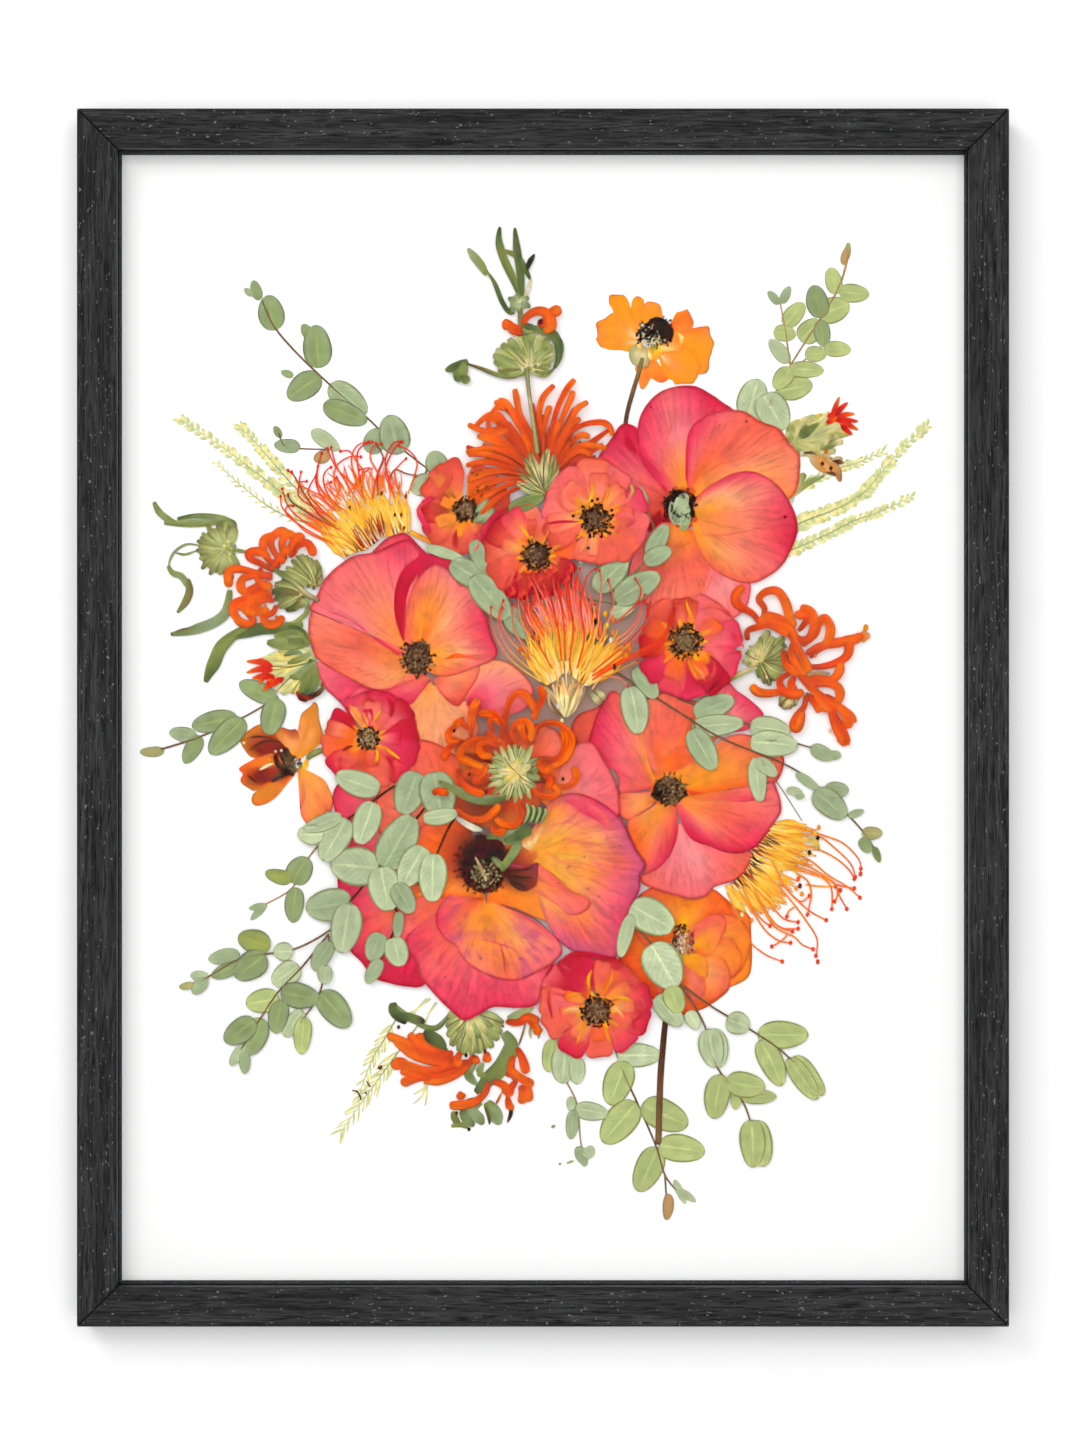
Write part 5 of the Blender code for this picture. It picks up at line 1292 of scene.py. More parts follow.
spray_rose("spray_rose_left_low", (-92, -11), [
    (75, 60, 27, "coral rose ruby"), (40, 50, 28, "coral rose crimson"), (110, 45, 26, "coral rose magenta"),
    (150, 45, 25, "vermilion crimson ruby"), (10, 50, 27, "magenta ruby crimson"), (340, 50, 28, "rose magenta ruby"),
    (310, 45, 28, "orange coral ruby"), (280, 45, 28, "orange coral coral"), (250, 45, 26, "orange brick coral"),
    (220, 50, 28, "orange coral ruby"), (190, 46, 27, "orange orange coral"),
    (165, 34, 25, "amber orange salmon brick"), (85, 44, 21, "coral pink coral"), (95, 34, 16, "brick coral ruby"),
    (120, 22, 20, "apricot amber apricot"), (60, 34, 17, "amber coral rose"), (0, 40, 17, "gold rose ruby"),
    (320, 34, 18, "gold coral ruby"), (275, 40, 16, "gold coral brick"), (210, 40, 14, "gold amber orange"),
], [
    (2, "amber apricot amber", *xz("-97,-3 -99,2 -103,7")), (1.6, "apricot amber", *xz("-93,-4 -94,-1 -96,3")),
    (1.8, "gold sunflower", *xz("-90,-2 -88,1 -86,4")), (2.6, "magenta rose magenta", *xz("-103,10 -98,14 -93,15")),
    (2.6, "ruby crimson", *xz("-83,11 -80,6 -81,0")), (2.6, "crimson ruby", *xz("-76,10 -72,6 -70,-1")),
    (2, "coral crimson", *xz("-97,6 -94,10 -89,8")), (1.8, "sunflower gold", *xz("-88,-17 -88,-21 -89,-24")),
    (1.8, "gold sunflower", *xz("-85,-15 -80,-19 -76,-22")), (2.2, "crimson brick", *xz("-83,-20 -80,-27 -80,-34")),
    (2.2, "ruby coral ruby", *xz("-107,-21 -110,-25 -107,-27")),
    (1.6, "oxblood crimson", *xz("-101,-15 -104,-16 -107,-18")),
], ((-93, -11), 9.5, 11, (DARK_RING, ("tan", "bark", "straw"))))
spray_rose("spray_rose_bottom", (28, -153), [
    (110, 50, 29, "brick ruby ruby"), (75, 50, 28, "coral coral crimson"), (40, 50, 28, "coral coral brick"),
    (10, 50, 31, "coral coral ruby"), (340, 50, 31, "orange coral ruby"), (310, 50, 30, "orange coral magenta"),
    (275, 50, 29, "orange coral coral"), (240, 50, 31, "orange coral ruby"), (205, 50, 31, "amber coral coral"),
    (175, 50, 31, "coral rose coral"), (145, 50, 32, "ruby crimson rose"), (122, 40, 31, "gold ruby crimson"),
    (80, 34, 25, "gold coral coral"), (60, 26, 23, "amber orange coral"), (130, 30, 22, "gold ruby ruby"),
    (160, 30, 18, "gold amber orange"), (30, 34, 22, "gold amber coral"), (0, 34, 22, "cream apricot coral"),
    (330, 34, 22, "amber coral coral"), (240, 44, 22, "gold apricot coral"), (275, 34, 20, "gold coral orange"),
    (190, 26, 20, "gold apricot coral"), (215, 24, 18, "gold amber coral"),
], [
    (1.8, "gold sunflower gold", *xz("25,-145 24,-139 26,-134")),
    (1.8, "gold amber gold", *xz("33,-145 36,-140 37,-135")),
    (2, "amber sunflower amber", *xz("37,-149 43,-149 47,-151")),
    (2, "amber gold amber", *xz("21,-147 16,-147 13,-149")), (1.8, "cream amber", *xz("19,-155 14,-155 10,-157")),
    (1.6, "cream amber", *xz("38,-154 41,-157 43,-160")),
    (2.6, "ruby crimson ruby", *xz("7,-132 15,-126 26,-126 36,-128")),
    (2, "rose crimson", *xz("50,-148 54,-152 52,-158 48,-162")), (2, "crimson coral", *xz("48,-160 49,-166 52,-168")),
    (2, "ruby coral", *xz("40,-129 44,-136 50,-143")), (1.8, "coral crimson", *xz("4,-140 3,-150 5,-160")),
    (1.8, "gold amber", *xz("24,-162 20,-168 18,-174")), (1.8, "gold amber", *xz("32,-162 34,-168 36,-174")),
], ((28.5, -156), 10.5, 15.5, (DARK_RING, ("bark", "tan", "umber"))))

# %% [markdown]
# ## Pincushion proteas
#
# A pincushion is a dense tuft of yellow strands with long styles that bend over and end in a red
# knob. The tuft is filled between a line of roots and a line of tips; the long styles are each
# drawn along their own way, because that is what gives each flower its shape.

# %% Tufts and long styles
def tuft(piece, roots, tips, count, seed, colors, width=1.3, bow=0.08, low=0.2, high=1.8):
    """Fills a fan with strands: some short, some long, each bent a little."""
    chance = random.Random(seed)
    for number in range(count):
        t = (number + chance.random()) / count
        root, tip = bend(roots, t), bend(tips, min(max(t + chance.gauss(0, 0.04), 0), 1))
        tip = root.lerp(tip, chance.uniform(0.62, 1.04))
        aside = Vector((root.y - tip.y, tip.x - root.x)) * chance.gauss(0, bow)
        middle = root.lerp(tip, 0.5) + aside
        ribbon(piece, [tuple(root), tuple(middle), tuple(tip)],
               [0.5 * width, width * chance.uniform(0.7, 1.25), 0.35 * width],
               chance.choice(colors), chance.uniform(low, high), arch=0.45, thick=0.25, cell=3.0, across=2)


def style(piece, path, colors="honey orange coral", up=1.6, width=0.95, knob=0.85, tip="scarlet"):
    """One long style with the knob at its tip."""
    tube(piece, path, [width, width, 0.75 * width], colors, up, flat=0.8, sides=5, cell=1.8)
    if knob:
        x, z = path[-1]
        piece.bead(x, z, up + 0.1, knob, wash(tip)(0, 0), 0, stretch=1.2)


def styles(piece, *rows, width=0.95, knob=0.85, tip="scarlet"):
    """Rows of (colors, up, path...)."""
    for colors, up, *path in rows:
        style(piece, path, colors, up, width, knob, tip)


YELLOWS = ("amber honey corn", "cream corn honey", "corn honey amber", "butter corn honey", "honey corn honey",
           "honey corn sunflower", "rust honey corn", "bone corn honey", "umber honey amber", "corn sunflower honey")
print("protea helpers ready")

# %% The protea at the upper left
protea = Pressed("protea_left")
tuft(protea, xz("-106,85 -100,88 -93,90 -88,95 -80,97 -71,99"),
     xz("-116,93 -119,100 -116,109 -111,117 -103,120 -94,123 -84,121 -73,121"), 150, 51, YELLOWS, 1.5)
tuft(protea, xz("-96,90 -89,93 -84,98"), xz("-104,101 -96,106 -86,110"), 26, 52,
     ("oxblood rust tan", "crimson rust apricot", "bone tan rust"), 1.0, low=1.8, high=2.1)
tuft(protea, xz("-112,96 -113,103 -111,112 -104,118 -95,120 -86,120 -76,119"),
     xz("-131,104 -130,113 -124,124 -110,134 -98,134 -86,134 -76,130"), 54, 53,
     ("amber orange salmon", "amber orange coral", "gold tangerine coral", "apricot salmon coral"), 0.9, low=0.6,
     high=1.4)
WARM, HOT, BURNT = "honey orange vermilion scarlet", "orange vermilion scarlet scarlet", "amber rust bark oxblood"
styles(protea,
       (WARM, 1.2, *xz("-100,88 -113,93 -126,99 -134,107 -139,112 -140,118")),
       (WARM, 1.4, *xz("-104,91 -118,96 -130,103 -137,109 -136,113 -133,113")),
       (WARM, 1.3, *xz("-105,95 -118,99 -128,105 -136,113 -139,122")),
       (BURNT, 1.5, *xz("-108,100 -120,106 -128,111 -134,115 -136,119")),
       (BURNT, 1.7, *xz("-110,101 -119,108 -127,119 -131,126 -134,131")),
       (WARM, 1.6, *xz("-110,102 -120,110 -128,120 -132,128 -136,132")),
       (HOT, 1.6, *xz("-112,106 -122,112 -130,118 -130,125 -129,131")),
       (HOT, 1.5, *xz("-110,104 -119,112 -125,119 -124,124 -121,129")),
       (HOT, 1.6, *xz("-110,110 -118,118 -121,126 -120,134")),
       (WARM, 1.5, *xz("-108,110 -115,118 -120,125 -120,133 -118,141")),
       (HOT, 1.8, *xz("-107,111 -114,118 -117,126 -116,131 -113,133.5")),
       (WARM, 1.4, *xz("-108,114 -124,121 -130,125 -126,126")),
       (WARM, 1.7, *xz("-97,112 -104,124 -110,134 -113,144")),
       (WARM, 1.6, *xz("-94,114 -101,124 -110,133 -115,143.5")),
       (WARM, 1.5, *xz("-104,114 -111,124 -110,134 -103,139 -97,139")),
       (WARM, 1.5, *xz("-94,116 -100,127 -102,138 -99,145 -93,147")),
       (HOT, 1.7, *xz("-96,117 -98,129 -99,140 -96,145 -91,147")),
       (WARM, 1.8, *xz("-98,122 -95,130 -99,136 -103,142 -108,142")),
       (WARM, 1.6, *xz("-104,118 -98,128 -92,133 -98,132")),
       (WARM, 1.6, *xz("-87,118 -88,130 -92,138 -90,145 -86,146")),
       (BURNT, 1.8, *xz("-88,118 -88,129 -85,138 -89,146")), (HOT, 1.7, *xz("-91,116 -89,127 -87,133 -85,138")),
       (HOT, 1.9, *xz("-79,117 -82,127 -84,137 -80,146 -75,147")), (HOT, 1.7, *xz("-80,120 -84,131 -80,142 -76,147")),
       (WARM, 1.8, *xz("-76,118 -79,130 -77,134 -73,138")),
       (WARM, 1.6, *xz("-72,119 -69,127 -67,136 -71,142 -77,145")),
       (BURNT, 1.8, *xz("-82,126 -79,132 -73,130 -68,129")),
       (WARM, 1.6, *xz("-110,118 -108,124 -110,128")), (WARM, 1.6, *xz("-116,124 -113,125.5")))
style(protea, xz("-71,99 -65,96 -58,92.5"), "sunflower gold amber", 1.9, 2.6, 0)
style(protea, xz("-71,97 -67,89 -59,82"), "amber apricot tan", 2.0, 0.8, 0)
for x, z in xz("-75.5,108 -103,112 -86,119.5 -79,108 -74,101 -73,118"):
    protea.bead(x, z, 2.1, 0.7, wash("oxblood")(0, 0), 0, stretch=1.8)
protea.lay([FLORET, CALYX, STALK])

# %% The protea in the middle
protea = Pressed("protea_center")
tuft(protea, xz("2,17 7,20 12,24 18,20 22,17 26,18"),
     xz("-14,37 -8,44 0,52 8,56 15,58 22,54 33,50 40,46 47,38 46,31"), 170, 61, YELLOWS, 1.5, bow=0.06)
tuft(protea, xz("11,1 12,0 13.5,1"), xz("-2,19 5,20 12,25 19,20 24,17"), 34, 62,
     ("straw tan straw", "bark straw tan", "umber tan bone", "straw butter amber"), 1.9, bow=0.1, low=0.4, high=2.2)
petal(protea, (12, 2), xz("3,12 4,20 10,26 16,26 23,18 21,10 16,3"), "bark tan bark|tan straw tan", 0.2)
tuft(protea, xz("0,40 4,44 9,46 14,46 18,46 24,44 32,40"),
     xz("-14,60 -9,66 -2,70 5,72 12,74 18,76 27,60"), 60, 63,
     ("amber orange scarlet", "amber salmon blush coral", "orange coral scarlet", "apricot blush salmon",
      "amber orange coral"), 1.25, low=1.0, high=2.2)
ROSY, BLOOD = "corn honey salmon coral scarlet", "orange vermilion scarlet scarlet"
styles(protea,
       (ROSY, 1.8, *xz("-1,19 -14,28 -22,37 -27,48 -27.5,58.5")),
       (ROSY, 1.9, *xz("1,20 -12,30 -20,39 -24,50 -21,62")), (ROSY, 2.0, *xz("2,20 -10,33 -18,42 -22.5,51 -21.5,58")),
       (ROSY, 2.0, *xz("4,22 -8,36 -15,46 -16,60")), (ROSY, 2.1, *xz("4,24 -4,38 -11,50 -13,60 -12,68")),
       (BLOOD, 2.2, *xz("5,26 -3,40 -9,52 -9,62 -7,74")), (ROSY, 2.1, *xz("6,28 0,42 -7,54 -8,62 -11,72")),
       (ROSY, 2.3, *xz("8,30 3,46 -1,58 -4,68 -9,76")), (ROSY, 2.2, *xz("9,30 6,46 2,60 -3,70 -6,76")),
       (BLOOD, 2.3, *xz("10,30 8,46 5,60 0,73")), (ROSY, 2.2, *xz("11,30 9,48 7,62 5,75")),
       (BLOOD, 2.3, *xz("12,30 11,50 9,64 8,77")), (ROSY, 2.3, *xz("13,30 13,50 12,62 11,70")),
       (BLOOD, 2.2, *xz("14,30 16,48 14,62 13,77")), (ROSY, 2.3, *xz("15,30 18,48 16,62 16,79")),
       (ROSY, 2.4, *xz("16,30 19,46 18,62 19.5,79")), (ROSY, 2.3, *xz("16,28 20,44 19,60 18,74")),
       (BLOOD, 2.2, *xz("18,26 22,42 20,58 23,74 28,79")),
       ("gold amber apricot", 2.0, *xz("18,26 25,40 27,52 27.5,60")),
       (ROSY, 2.4, *xz("20,28 28,44 30,58 31,70 30,78")), (ROSY, 2.4, *xz("20,24 30,40 35,52 37.5,62 34.5,73")),
       (ROSY, 2.1, *xz("22,26 34,38 44,45 50,53 54,65")), (ROSY, 2.2, *xz("24,24 36,36 46,44 52,54 51,61")),
       (BLOOD, 2.3, *xz("26,24 38,34 48,43 55,52 57,61")), (BLOOD, 2.2, *xz("26,22 40,32 51,43 55,54 54,62")),
       (BLOOD, 2.3, *xz("38,50 44,55 50,61 52,68 49,73.5")), (BLOOD, 2.3, *xz("28,22 42,30 56,36 64,41 68,50 70,57")),
       (BLOOD, 2.2, *xz("28,22 44,32 58,38 66,44 68,55")), (BLOOD, 2.4, *xz("26,20 44,30 58,35 66,41")),
       (BLOOD, 2.1, *xz("30,24 46,33 60,40 66,47 67,53")),
       ("cream gold amber", 2.4, *xz("26,15 30,20 38,24 50,30")), ("amber salmon tan", 1.6, *xz("30,22 40,21 45,17")))
for x, z in xz("-14,75 -8,71 -3,74 2,76 5,79 12,74 14,79 -12,66 -17,67 17,70 9,66 -5,62 1,66"):
    ribbon(protea, [(x - 2, z - 3), (x + 1.5, z), (x - 1, z + 3)], [0.6, 2.6, 2.0, 0.6],
           "crimson scarlet crimson|scarlet coral ruby", 2.4, arch=0.5)
for x, z, tint in ((34, 49, "lemon"), (37, 45, "amber"), (42, 37, "amber"), (46, 36, "tangerine"), (44, 33, "gold"),
                   (37, 52, "tangerine"),
                   (33, 55, "sunflower"), (36, 41, "bone"), (-12, 36, "orange"), (-9, 33, "amber"), (38, 27, "umber"),
                   (28, 51, "soot"), (8, 6, "bone"), (10, -2, "butter")):
    protea.bead(x, z, 2.4, 1.3, wash(tint)(0, 0), 1, stretch=1.6)
for path in (xz("25,14 28,10 31,7"), xz("28,16 31,12 33,9"), xz("17,13 17,9 18,5")):
    ribbon(protea, path, [1, 3.4, 2], "moss straw bark", 0.4, arch=0.3, look=1)
protea.lay([FLORET, CALYX, STALK])

# %% The protea at the lower right
protea = Pressed("protea_right")
tuft(protea, xz("124,-56 118,-62 112,-69 110,-78 104,-86 97,-90"),
     xz("140,-57 147,-61 145,-72 142,-80 133,-93 128,-101 119,-105 108,-104"), 170, 71, YELLOWS, 1.6)
tuft(protea, xz("120,-62 112,-70 109,-80 100,-88"), xz("128,-66 122,-75 116,-86 106,-94"), 22, 72,
     ("soot umber tan", "umber bark tan", "oxblood rust amber"), 1.0, low=1.8, high=2.0)
SUNNY = "honey amber tangerine orange tangerine"
styles(protea,
       (SUNNY, 1.5, *xz("128,-57 140,-60 150,-63 160,-67 168,-75 169.5,-80.5")),
       (SUNNY, 1.6, *xz("130,-62 146,-63 156,-70 164,-78 166.5,-85")),
       (SUNNY, 1.5, *xz("132,-66 146,-70 156,-75 163,-81 166,-86")),
       (SUNNY, 1.7, *xz("128,-70 142,-76 152,-84 162,-90 169,-96")),
       (SUNNY, 1.8, *xz("130,-76 143,-80 153,-87 158,-89.5 166,-91")),
       (SUNNY, 1.7, *xz("128,-78 143,-82 152,-88 154,-93 154,-102")),
       (SUNNY, 1.8, *xz("130,-80 145,-84 155,-88 157,-94 155.5,-98")),
       (SUNNY, 1.6, *xz("143,-80 155,-88 158,-95 162,-102")),
       (SUNNY, 1.9, *xz("135,-83 141,-87 143,-94 142,-100 141,-105")),
       (SUNNY, 1.7, *xz("122,-76 129,-90 137,-98 142,-95")), (SUNNY, 1.6, *xz("124,-84 132,-94 142,-103 151,-108")),
       (SUNNY, 1.8, *xz("118,-82 130,-95 140,-108 146,-118 145.5,-127")),
       (SUNNY, 1.6, *xz("110,-88 120,-98 128,-107 136,-109")),
       (SUNNY, 1.8, *xz("112,-90 118,-102 125,-111 133,-114")),
       (SUNNY, 1.7, *xz("112,-93 119,-105 127,-112 136,-112.5")),
       (SUNNY, 1.7, *xz("106,-90 112,-102 117,-108 121,-111")),
       (SUNNY, 1.6, *xz("104,-92 112,-104 119,-114 126,-119 132,-120")),
       (SUNNY, 1.7, *xz("118,-104 124,-112 134,-117 138,-121 144,-123.5")),
       (SUNNY, 1.9, *xz("98,-93 104,-106 109,-118 118,-126 127.5,-130")),
       (SUNNY, 1.5, *xz("131,-115 127,-119 122,-122")), (SUNNY, 1.5, *xz("134,-101 131,-103 130,-106")),
       ("amber gold straw", 1.4, *xz("140,-89 148,-90 156,-90")),
       width=1.05, knob=1.15, tip="vermilion")
for x, z, tint in ((169.3, -83.3, "vermilion"), (146.5, -130.2, "vermilion"), (158.5, -92, "vermilion"),
                   (136, -86, "orange"), (147, -58.5, "gold"), (145, -61.5, "sunflower"),
                   (146.5, -64, "soot"), (142, -72, "umber"), (135, -91, "gold"), (138, -94, "gold"),
                   (137, -89.7, "oxblood"), (111, -108, "amber"), (106, -105, "butter")):
    protea.bead(x, z, 1.9, 1.2, wash(tint)(0, 0), 0, stretch=1.3)
ribbon(protea, xz("142,-64 145,-67 147,-71"), [1.5, 4.6, 3.5, 0.8], "straw sunflower olive|olive straw moss", 2.0,
       arch=0.5, look=1)
protea.lay([FLORET, CALYX, STALK])

# %% [markdown]
# ## Lion's ear
#
# Lion's ear carries its flowers in whorls: a round ribbed calyx with a ruff of curled orange
# floret tubes, and straps of dried leaf above and below. Each tube follows its own curl.

# %% Calyxes, curls and straps
def calyx(piece, center, tips, tints, up=0.8, width=4.0, seed=1, pale=0.35):
    """Ribbed sepals from the middle out to each tip, overlapping like a fan."""
    chance = random.Random(seed)
    cx, cz = center
    for number, (x, z) in enumerate(tips):
        lift = up + 0.5 * ((number * 7) % 5) / 5
        bow = chance.uniform(-0.08, 0.08)
        middle = (0.5 * (cx + x) - bow * (z - cz), 0.5 * (cz + z) + bow * (x - cx))
        ribbon(piece, [center, middle, (x, z)], [1.2, 1.25 * width, 1.15 * width, 0.4 * width],
               tints[number % len(tints)], lift, arch=0.5, thick=0.25, cell=1.4, look=1)
        if chance.random() < 0.8:
            tube(piece, [center, middle, (x, z)], [0.5, 0.55, 0.35],
                 "lemon butter olive" if chance.random() < pale else "olive bark umber", lift + 0.5, sides=4,
                 cell=3.0, look=1)


def sepals(center, first, last, inner, outer, count, seed):
    """Tips of sepals around a middle, from the first angle to the last."""
    chance = random.Random(seed)
    out = []
    for number in range(count):
        angle = math.radians(first + (last - first) * number / (count - 1))
        far = outer if number % 2 else inner
        far *= chance.uniform(0.9, 1.06)
        out.append((center[0] + far * math.cos(angle), center[1] + far * math.sin(angle)))
    return out


CURL_TINTS = ("rust ember orange ember|brick orange tangerine", "rust vermilion orange|ember orange tangerine",
              "ember orange tangerine|rust ember orange", "brick orange tangerine|rust ember vermilion")


def curls(piece, width, up, *paths):
    """Floret tubes, each a little higher than the one before, with a darker line along it as painted shade for its
    groove.
    """
    for number, path in enumerate(paths):
        lift = up + 0.12 * (number % 6)
        tube(piece, path, [0.6 * width, 0.85 * width, 1.05 * width, 1.25 * width, 0.9 * width],
             CURL_TINTS[number % 4], lift, flat=0.55, sides=7, cell=1.3)
        # A thin rust line on top of each tube is painted shade for the groove.
        if length_of(path) > 8:
            tube(piece, path[1:-1] if len(path) > 4 else path, [0.3, 0.4, 0.3], "rust vermilion rust",
                 lift + 0.62 * width - 0.15, sides=4, cell=2.2)


def straps(piece, up, *rows):
    """Dried leaf straps: rows of (width, colors, path...)."""
    for number, (width, colors, *path) in enumerate(rows):
        ribbon(piece, path, [0.5 * width, width, width, 0.3 * width], colors, up + 0.15 * (number % 4), arch=0.45,
               thick=0.25, cell=1.8, look=2)


def scales(piece, up, radius, tints, *places):
    for number, (x, z) in enumerate(places):
        piece.bead(x, z, up, radius, wash(tints[number % len(tints)])(0, 0), 1, stretch=1.25)


GREEN = ("olive chartreuse olive|moss olive moss", "moss olive chartreuse|olive lime bark",
         "chartreuse straw olive|olive moss olive")
DRY = ("moss olive moss|olive moss pine", "olive lime moss|moss olive bark", "moss bark pine|olive moss pine")
print("lion's ear helpers ready")

# %% The lion's ear at the left
ear = Pressed("leonotis_left")
straps(ear, 0.0, (3.6, "moss olive moss|olive sage moss", *xz("-207.5,115 -205,110 -201,106.5 -196,104.5")),
       (4.2, "olive sage moss|moss olive pine", *xz("-202,104 -192,103.5 -180,104 -170,105.5 -164,104")),
       (3.4, "pine olive moss|moss sage olive", *xz("-195,106 -186,107.5 -176,107 -169,105.5 -165,102 -164,96")),
       (1.4, "olive sage olive", *xz("-184,92 -190,92.5 -196,89 -199,84 -199.5,80")),
       (1.3, "sage olive moss", *xz("-185,89 -191,87 -196,88")),
       (3.6, "moss olive moss|olive sage olive", *xz("-200,81 -197.5,77 -193,75.5 -190,71 -188.5,67")),
       (4.2, "moss bark olive|bark olive moss", *xz("-189.5,74 -188.5,68 -190.5,62 -195,56")),
       (5.6, "moss sage moss|olive sage moss",
        *xz("-167,68 -168,61 -170,55 -176,50.5 -184,47.5 -191,45.5 -198.5,44.5")),
       (2.4, "moss bark pine", *xz("-197,45 -192,46.5 -187,47.5")),
       (6.6, "moss pine moss|olive moss pine", *xz("-128,50 -138,48 -150,47.5 -160,45 -167,42")),
       (7.0, "olive moss pine|moss olive moss", *xz("-158,48 -166,43 -172,37 -175,30 -178,24 -180,19")),
       (2.6, "moss olive lime", *xz("-126,64 -125.5,57 -129,53 -134,50.5")))
calyx(ear, (-169, 90), sepals((-170, 90), 58, 308, 13.4, 15.5, 27, 3),
      ("chartreuse lime olive|lime chartreuse olive", "lime chartreuse moss|olive lime bark",
       "chartreuse olive bark|olive chartreuse moss"), 0.6, 3.6, 4, 0.6)
calyx(ear, (-169, 90), sepals((-169, 90), 40, -60, 4.5, 5.5, 5, 5), ("olive lime moss",), 0.9, 2.6, 5)
tube(ear, xz("-168,89.5 -162,89 -156,88"), [1.4, 2.0, 1.0], "lime olive moss", 0.8, look=1)
scales(ear, 1.7, 0.9, ("butter", "straw", "lime"),
       *xz("-170,91.5 -167.5,91.5 -165,92 -168,94 -166.5,96.5 -169,88 -167,87 -170.5,86.5 -172,89 -166,89.5"))
calyx(ear, (-121, 70), xz("-134,84 -131.5,86 -129,87 -126.5,86.5 -124,85 -121,84 -119,80 -118,76 -137,80 -140,77.5"),
      GREEN, 0.9, 4.4, 7, 0.3)
calyx(ear, (-127, 66), xz("-139,74 -143,71 -144.5,67 -143,63 -141,59 -137,57 -133,57 -130,59 -128,61"), DRY, 1.1, 5.6,
      8, 0.2)
tube(ear, xz("-147,82 -140,77 -133,72 -126,66 -119,62"), [1.6, 3.0, 2.6, 2.8], "bark moss straw bark", 1.7, look=1)
scales(ear, 2.0, 0.9, ("straw", "bark", "tan"),
       *xz("-129,66 -127.5,64 -129,62 -124,72 -122,69 -120,70.5 -131,68 -125,70"))
curls(ear, 4.2, 1.0,
      xz("-140,80 -146,84 -149,90 -148,95 -143,97"), xz("-143,78 -150,82 -156,85 -156,88 -150,88 -146,85"),
      xz("-138,82 -143,88 -145,94 -142,98 -138,99 -135,96"), xz("-137,84 -139,91 -137,97 -132,97"),
      xz("-134,85 -134,91 -131,96 -127,95"), xz("-133,86 -131,91 -126,93 -123,89 -123,86"),
      xz("-144,76 -152,77 -160,79 -166,79 -168,75 -167,70"), xz("-144,74 -152,76 -160,74 -161,69 -158,66"),
      xz("-146,72 -153,70 -158,66 -154,63 -147,66"), xz("-146,68 -152,68 -157,64 -164,61 -165,56 -162,52"),
      xz("-144,65 -150,66 -156,62 -158,57 -152,55"), xz("-143,62 -148,63 -153,60 -150,56 -146,58"),
      xz("-142,60 -144,56 -149,54 -147,50 -142,50 -138,54"), xz("-150,62 -156,59 -160,60 -163,58"),
      xz("-150,80 -152,74 -148,70 -144,70"), xz("-158,55 -154,52 -157,50 -161,51 -164,54"),
      xz("-141,84 -138,88 -134,90"),
      xz("-146,78 -143,82 -140,84 -138,82"), xz("-165,76 -168,73 -166,70"))
scales(ear, 2.3, 1.0, ("amber", "apricot", "orange"), *xz("-143,82.5 -146,72 -145,64.5 -148,59.5 -163,54 -142,53.5"))
ear.lay([TUBE, CALYX, STALK])

# %% The bud below it
ear = Pressed("leonotis_left_bud")
calyx(ear, (-122, 30),
      xz("-134,13 -139,12.5 -142,14 -144,18 -146,21 -147,25 -149,28 -150,31 -146,33 -141,35 -136,36 -128,37"),
      ("chartreuse butter lemon|butter celery chartreuse", "celery butter chartreuse|chartreuse lemon celery",
       "butter celery butter|lime chartreuse celery"), 0.2, 5.6, 11, 0.6)
for number, path in enumerate((xz("-144,27 -150,29.5 -158,30"), xz("-144,25 -150,26 -158,24"),
                               xz("-146,27 -150,30 -152,31"),
                               xz("-143,22 -149,22 -155,21"), xz("-143,21 -146,18 -149,14"),
                               xz("-140,20 -144,18 -147,16"),
                               xz("-138,21 -142,19.5 -147,20"), xz("-146,26 -149,22 -151,18"))):
    ribbon(ear, path, [1.0, 4.0, 3.0, 0.8], ("crimson scarlet vermilion tangerine", "scarlet scarlet tangerine",
                                             "scarlet vermilion scarlet")[number % 3], 1.4 + 0.1 * number, arch=0.5)
straps(ear, 1.6, (7.5, "moss olive moss|olive lime moss", *xz("-124,41 -131,40 -139,39.5 -147,40")),
       (4.5, "olive moss olive", *xz("-124,43 -132,46 -138,45 -143,43")),
       (2.6, "moss pine moss", *xz("-125,41 -128,46 -134,48 -140,46")),
       (4.4, "sage olive moss|moss sage moss", *xz("-121,30 -126,26 -131,22 -135,22")),
       (3.6, "sage olive moss", *xz("-124,34 -130,31 -136,29")), (3.0, "sage moss", *xz("-128,34 -133,35 -138,33")),
       (5.4, "moss olive pine|pine moss olive", *xz("-123,31 -125,24 -127,17 -130,13")),
       (5.0, "olive moss pine", *xz("-121,28 -121,22 -123,16 -127,12")),
       (4.0, "straw sage olive", *xz("-117,25 -119,20 -123,17")),
       (3.0, "rust oxblood umber", *xz("-118,25 -122,23 -124,18")))
ribbon(ear, xz("-118,25 -116,20 -118,16"), [0.6, 3.0, 1.0], "blood vermilion oxblood", 1.8, arch=0.4)
for path, colors in ((xz("-131,14 -129,10.5 -125.5,9"), "rust oxblood umber"),
                     (xz("-125,12 -120.5,12.5 -116,17"), "soot umber olive"),
                     (xz("-129,13 -126,10.5 -122,11"), "umber rust oxblood")):
    ribbon(ear, path, [1.6, 3.2, 1.6], colors, 1.9, arch=0.5)
for number in range(9):
    tube(ear, [(-136 + number, 42.5), (-135 + number, 39)], [0.4, 0.4], "soot pine", 2.3, sides=4, look=1)
ear.lay([TUBE, CALYX, STALK])

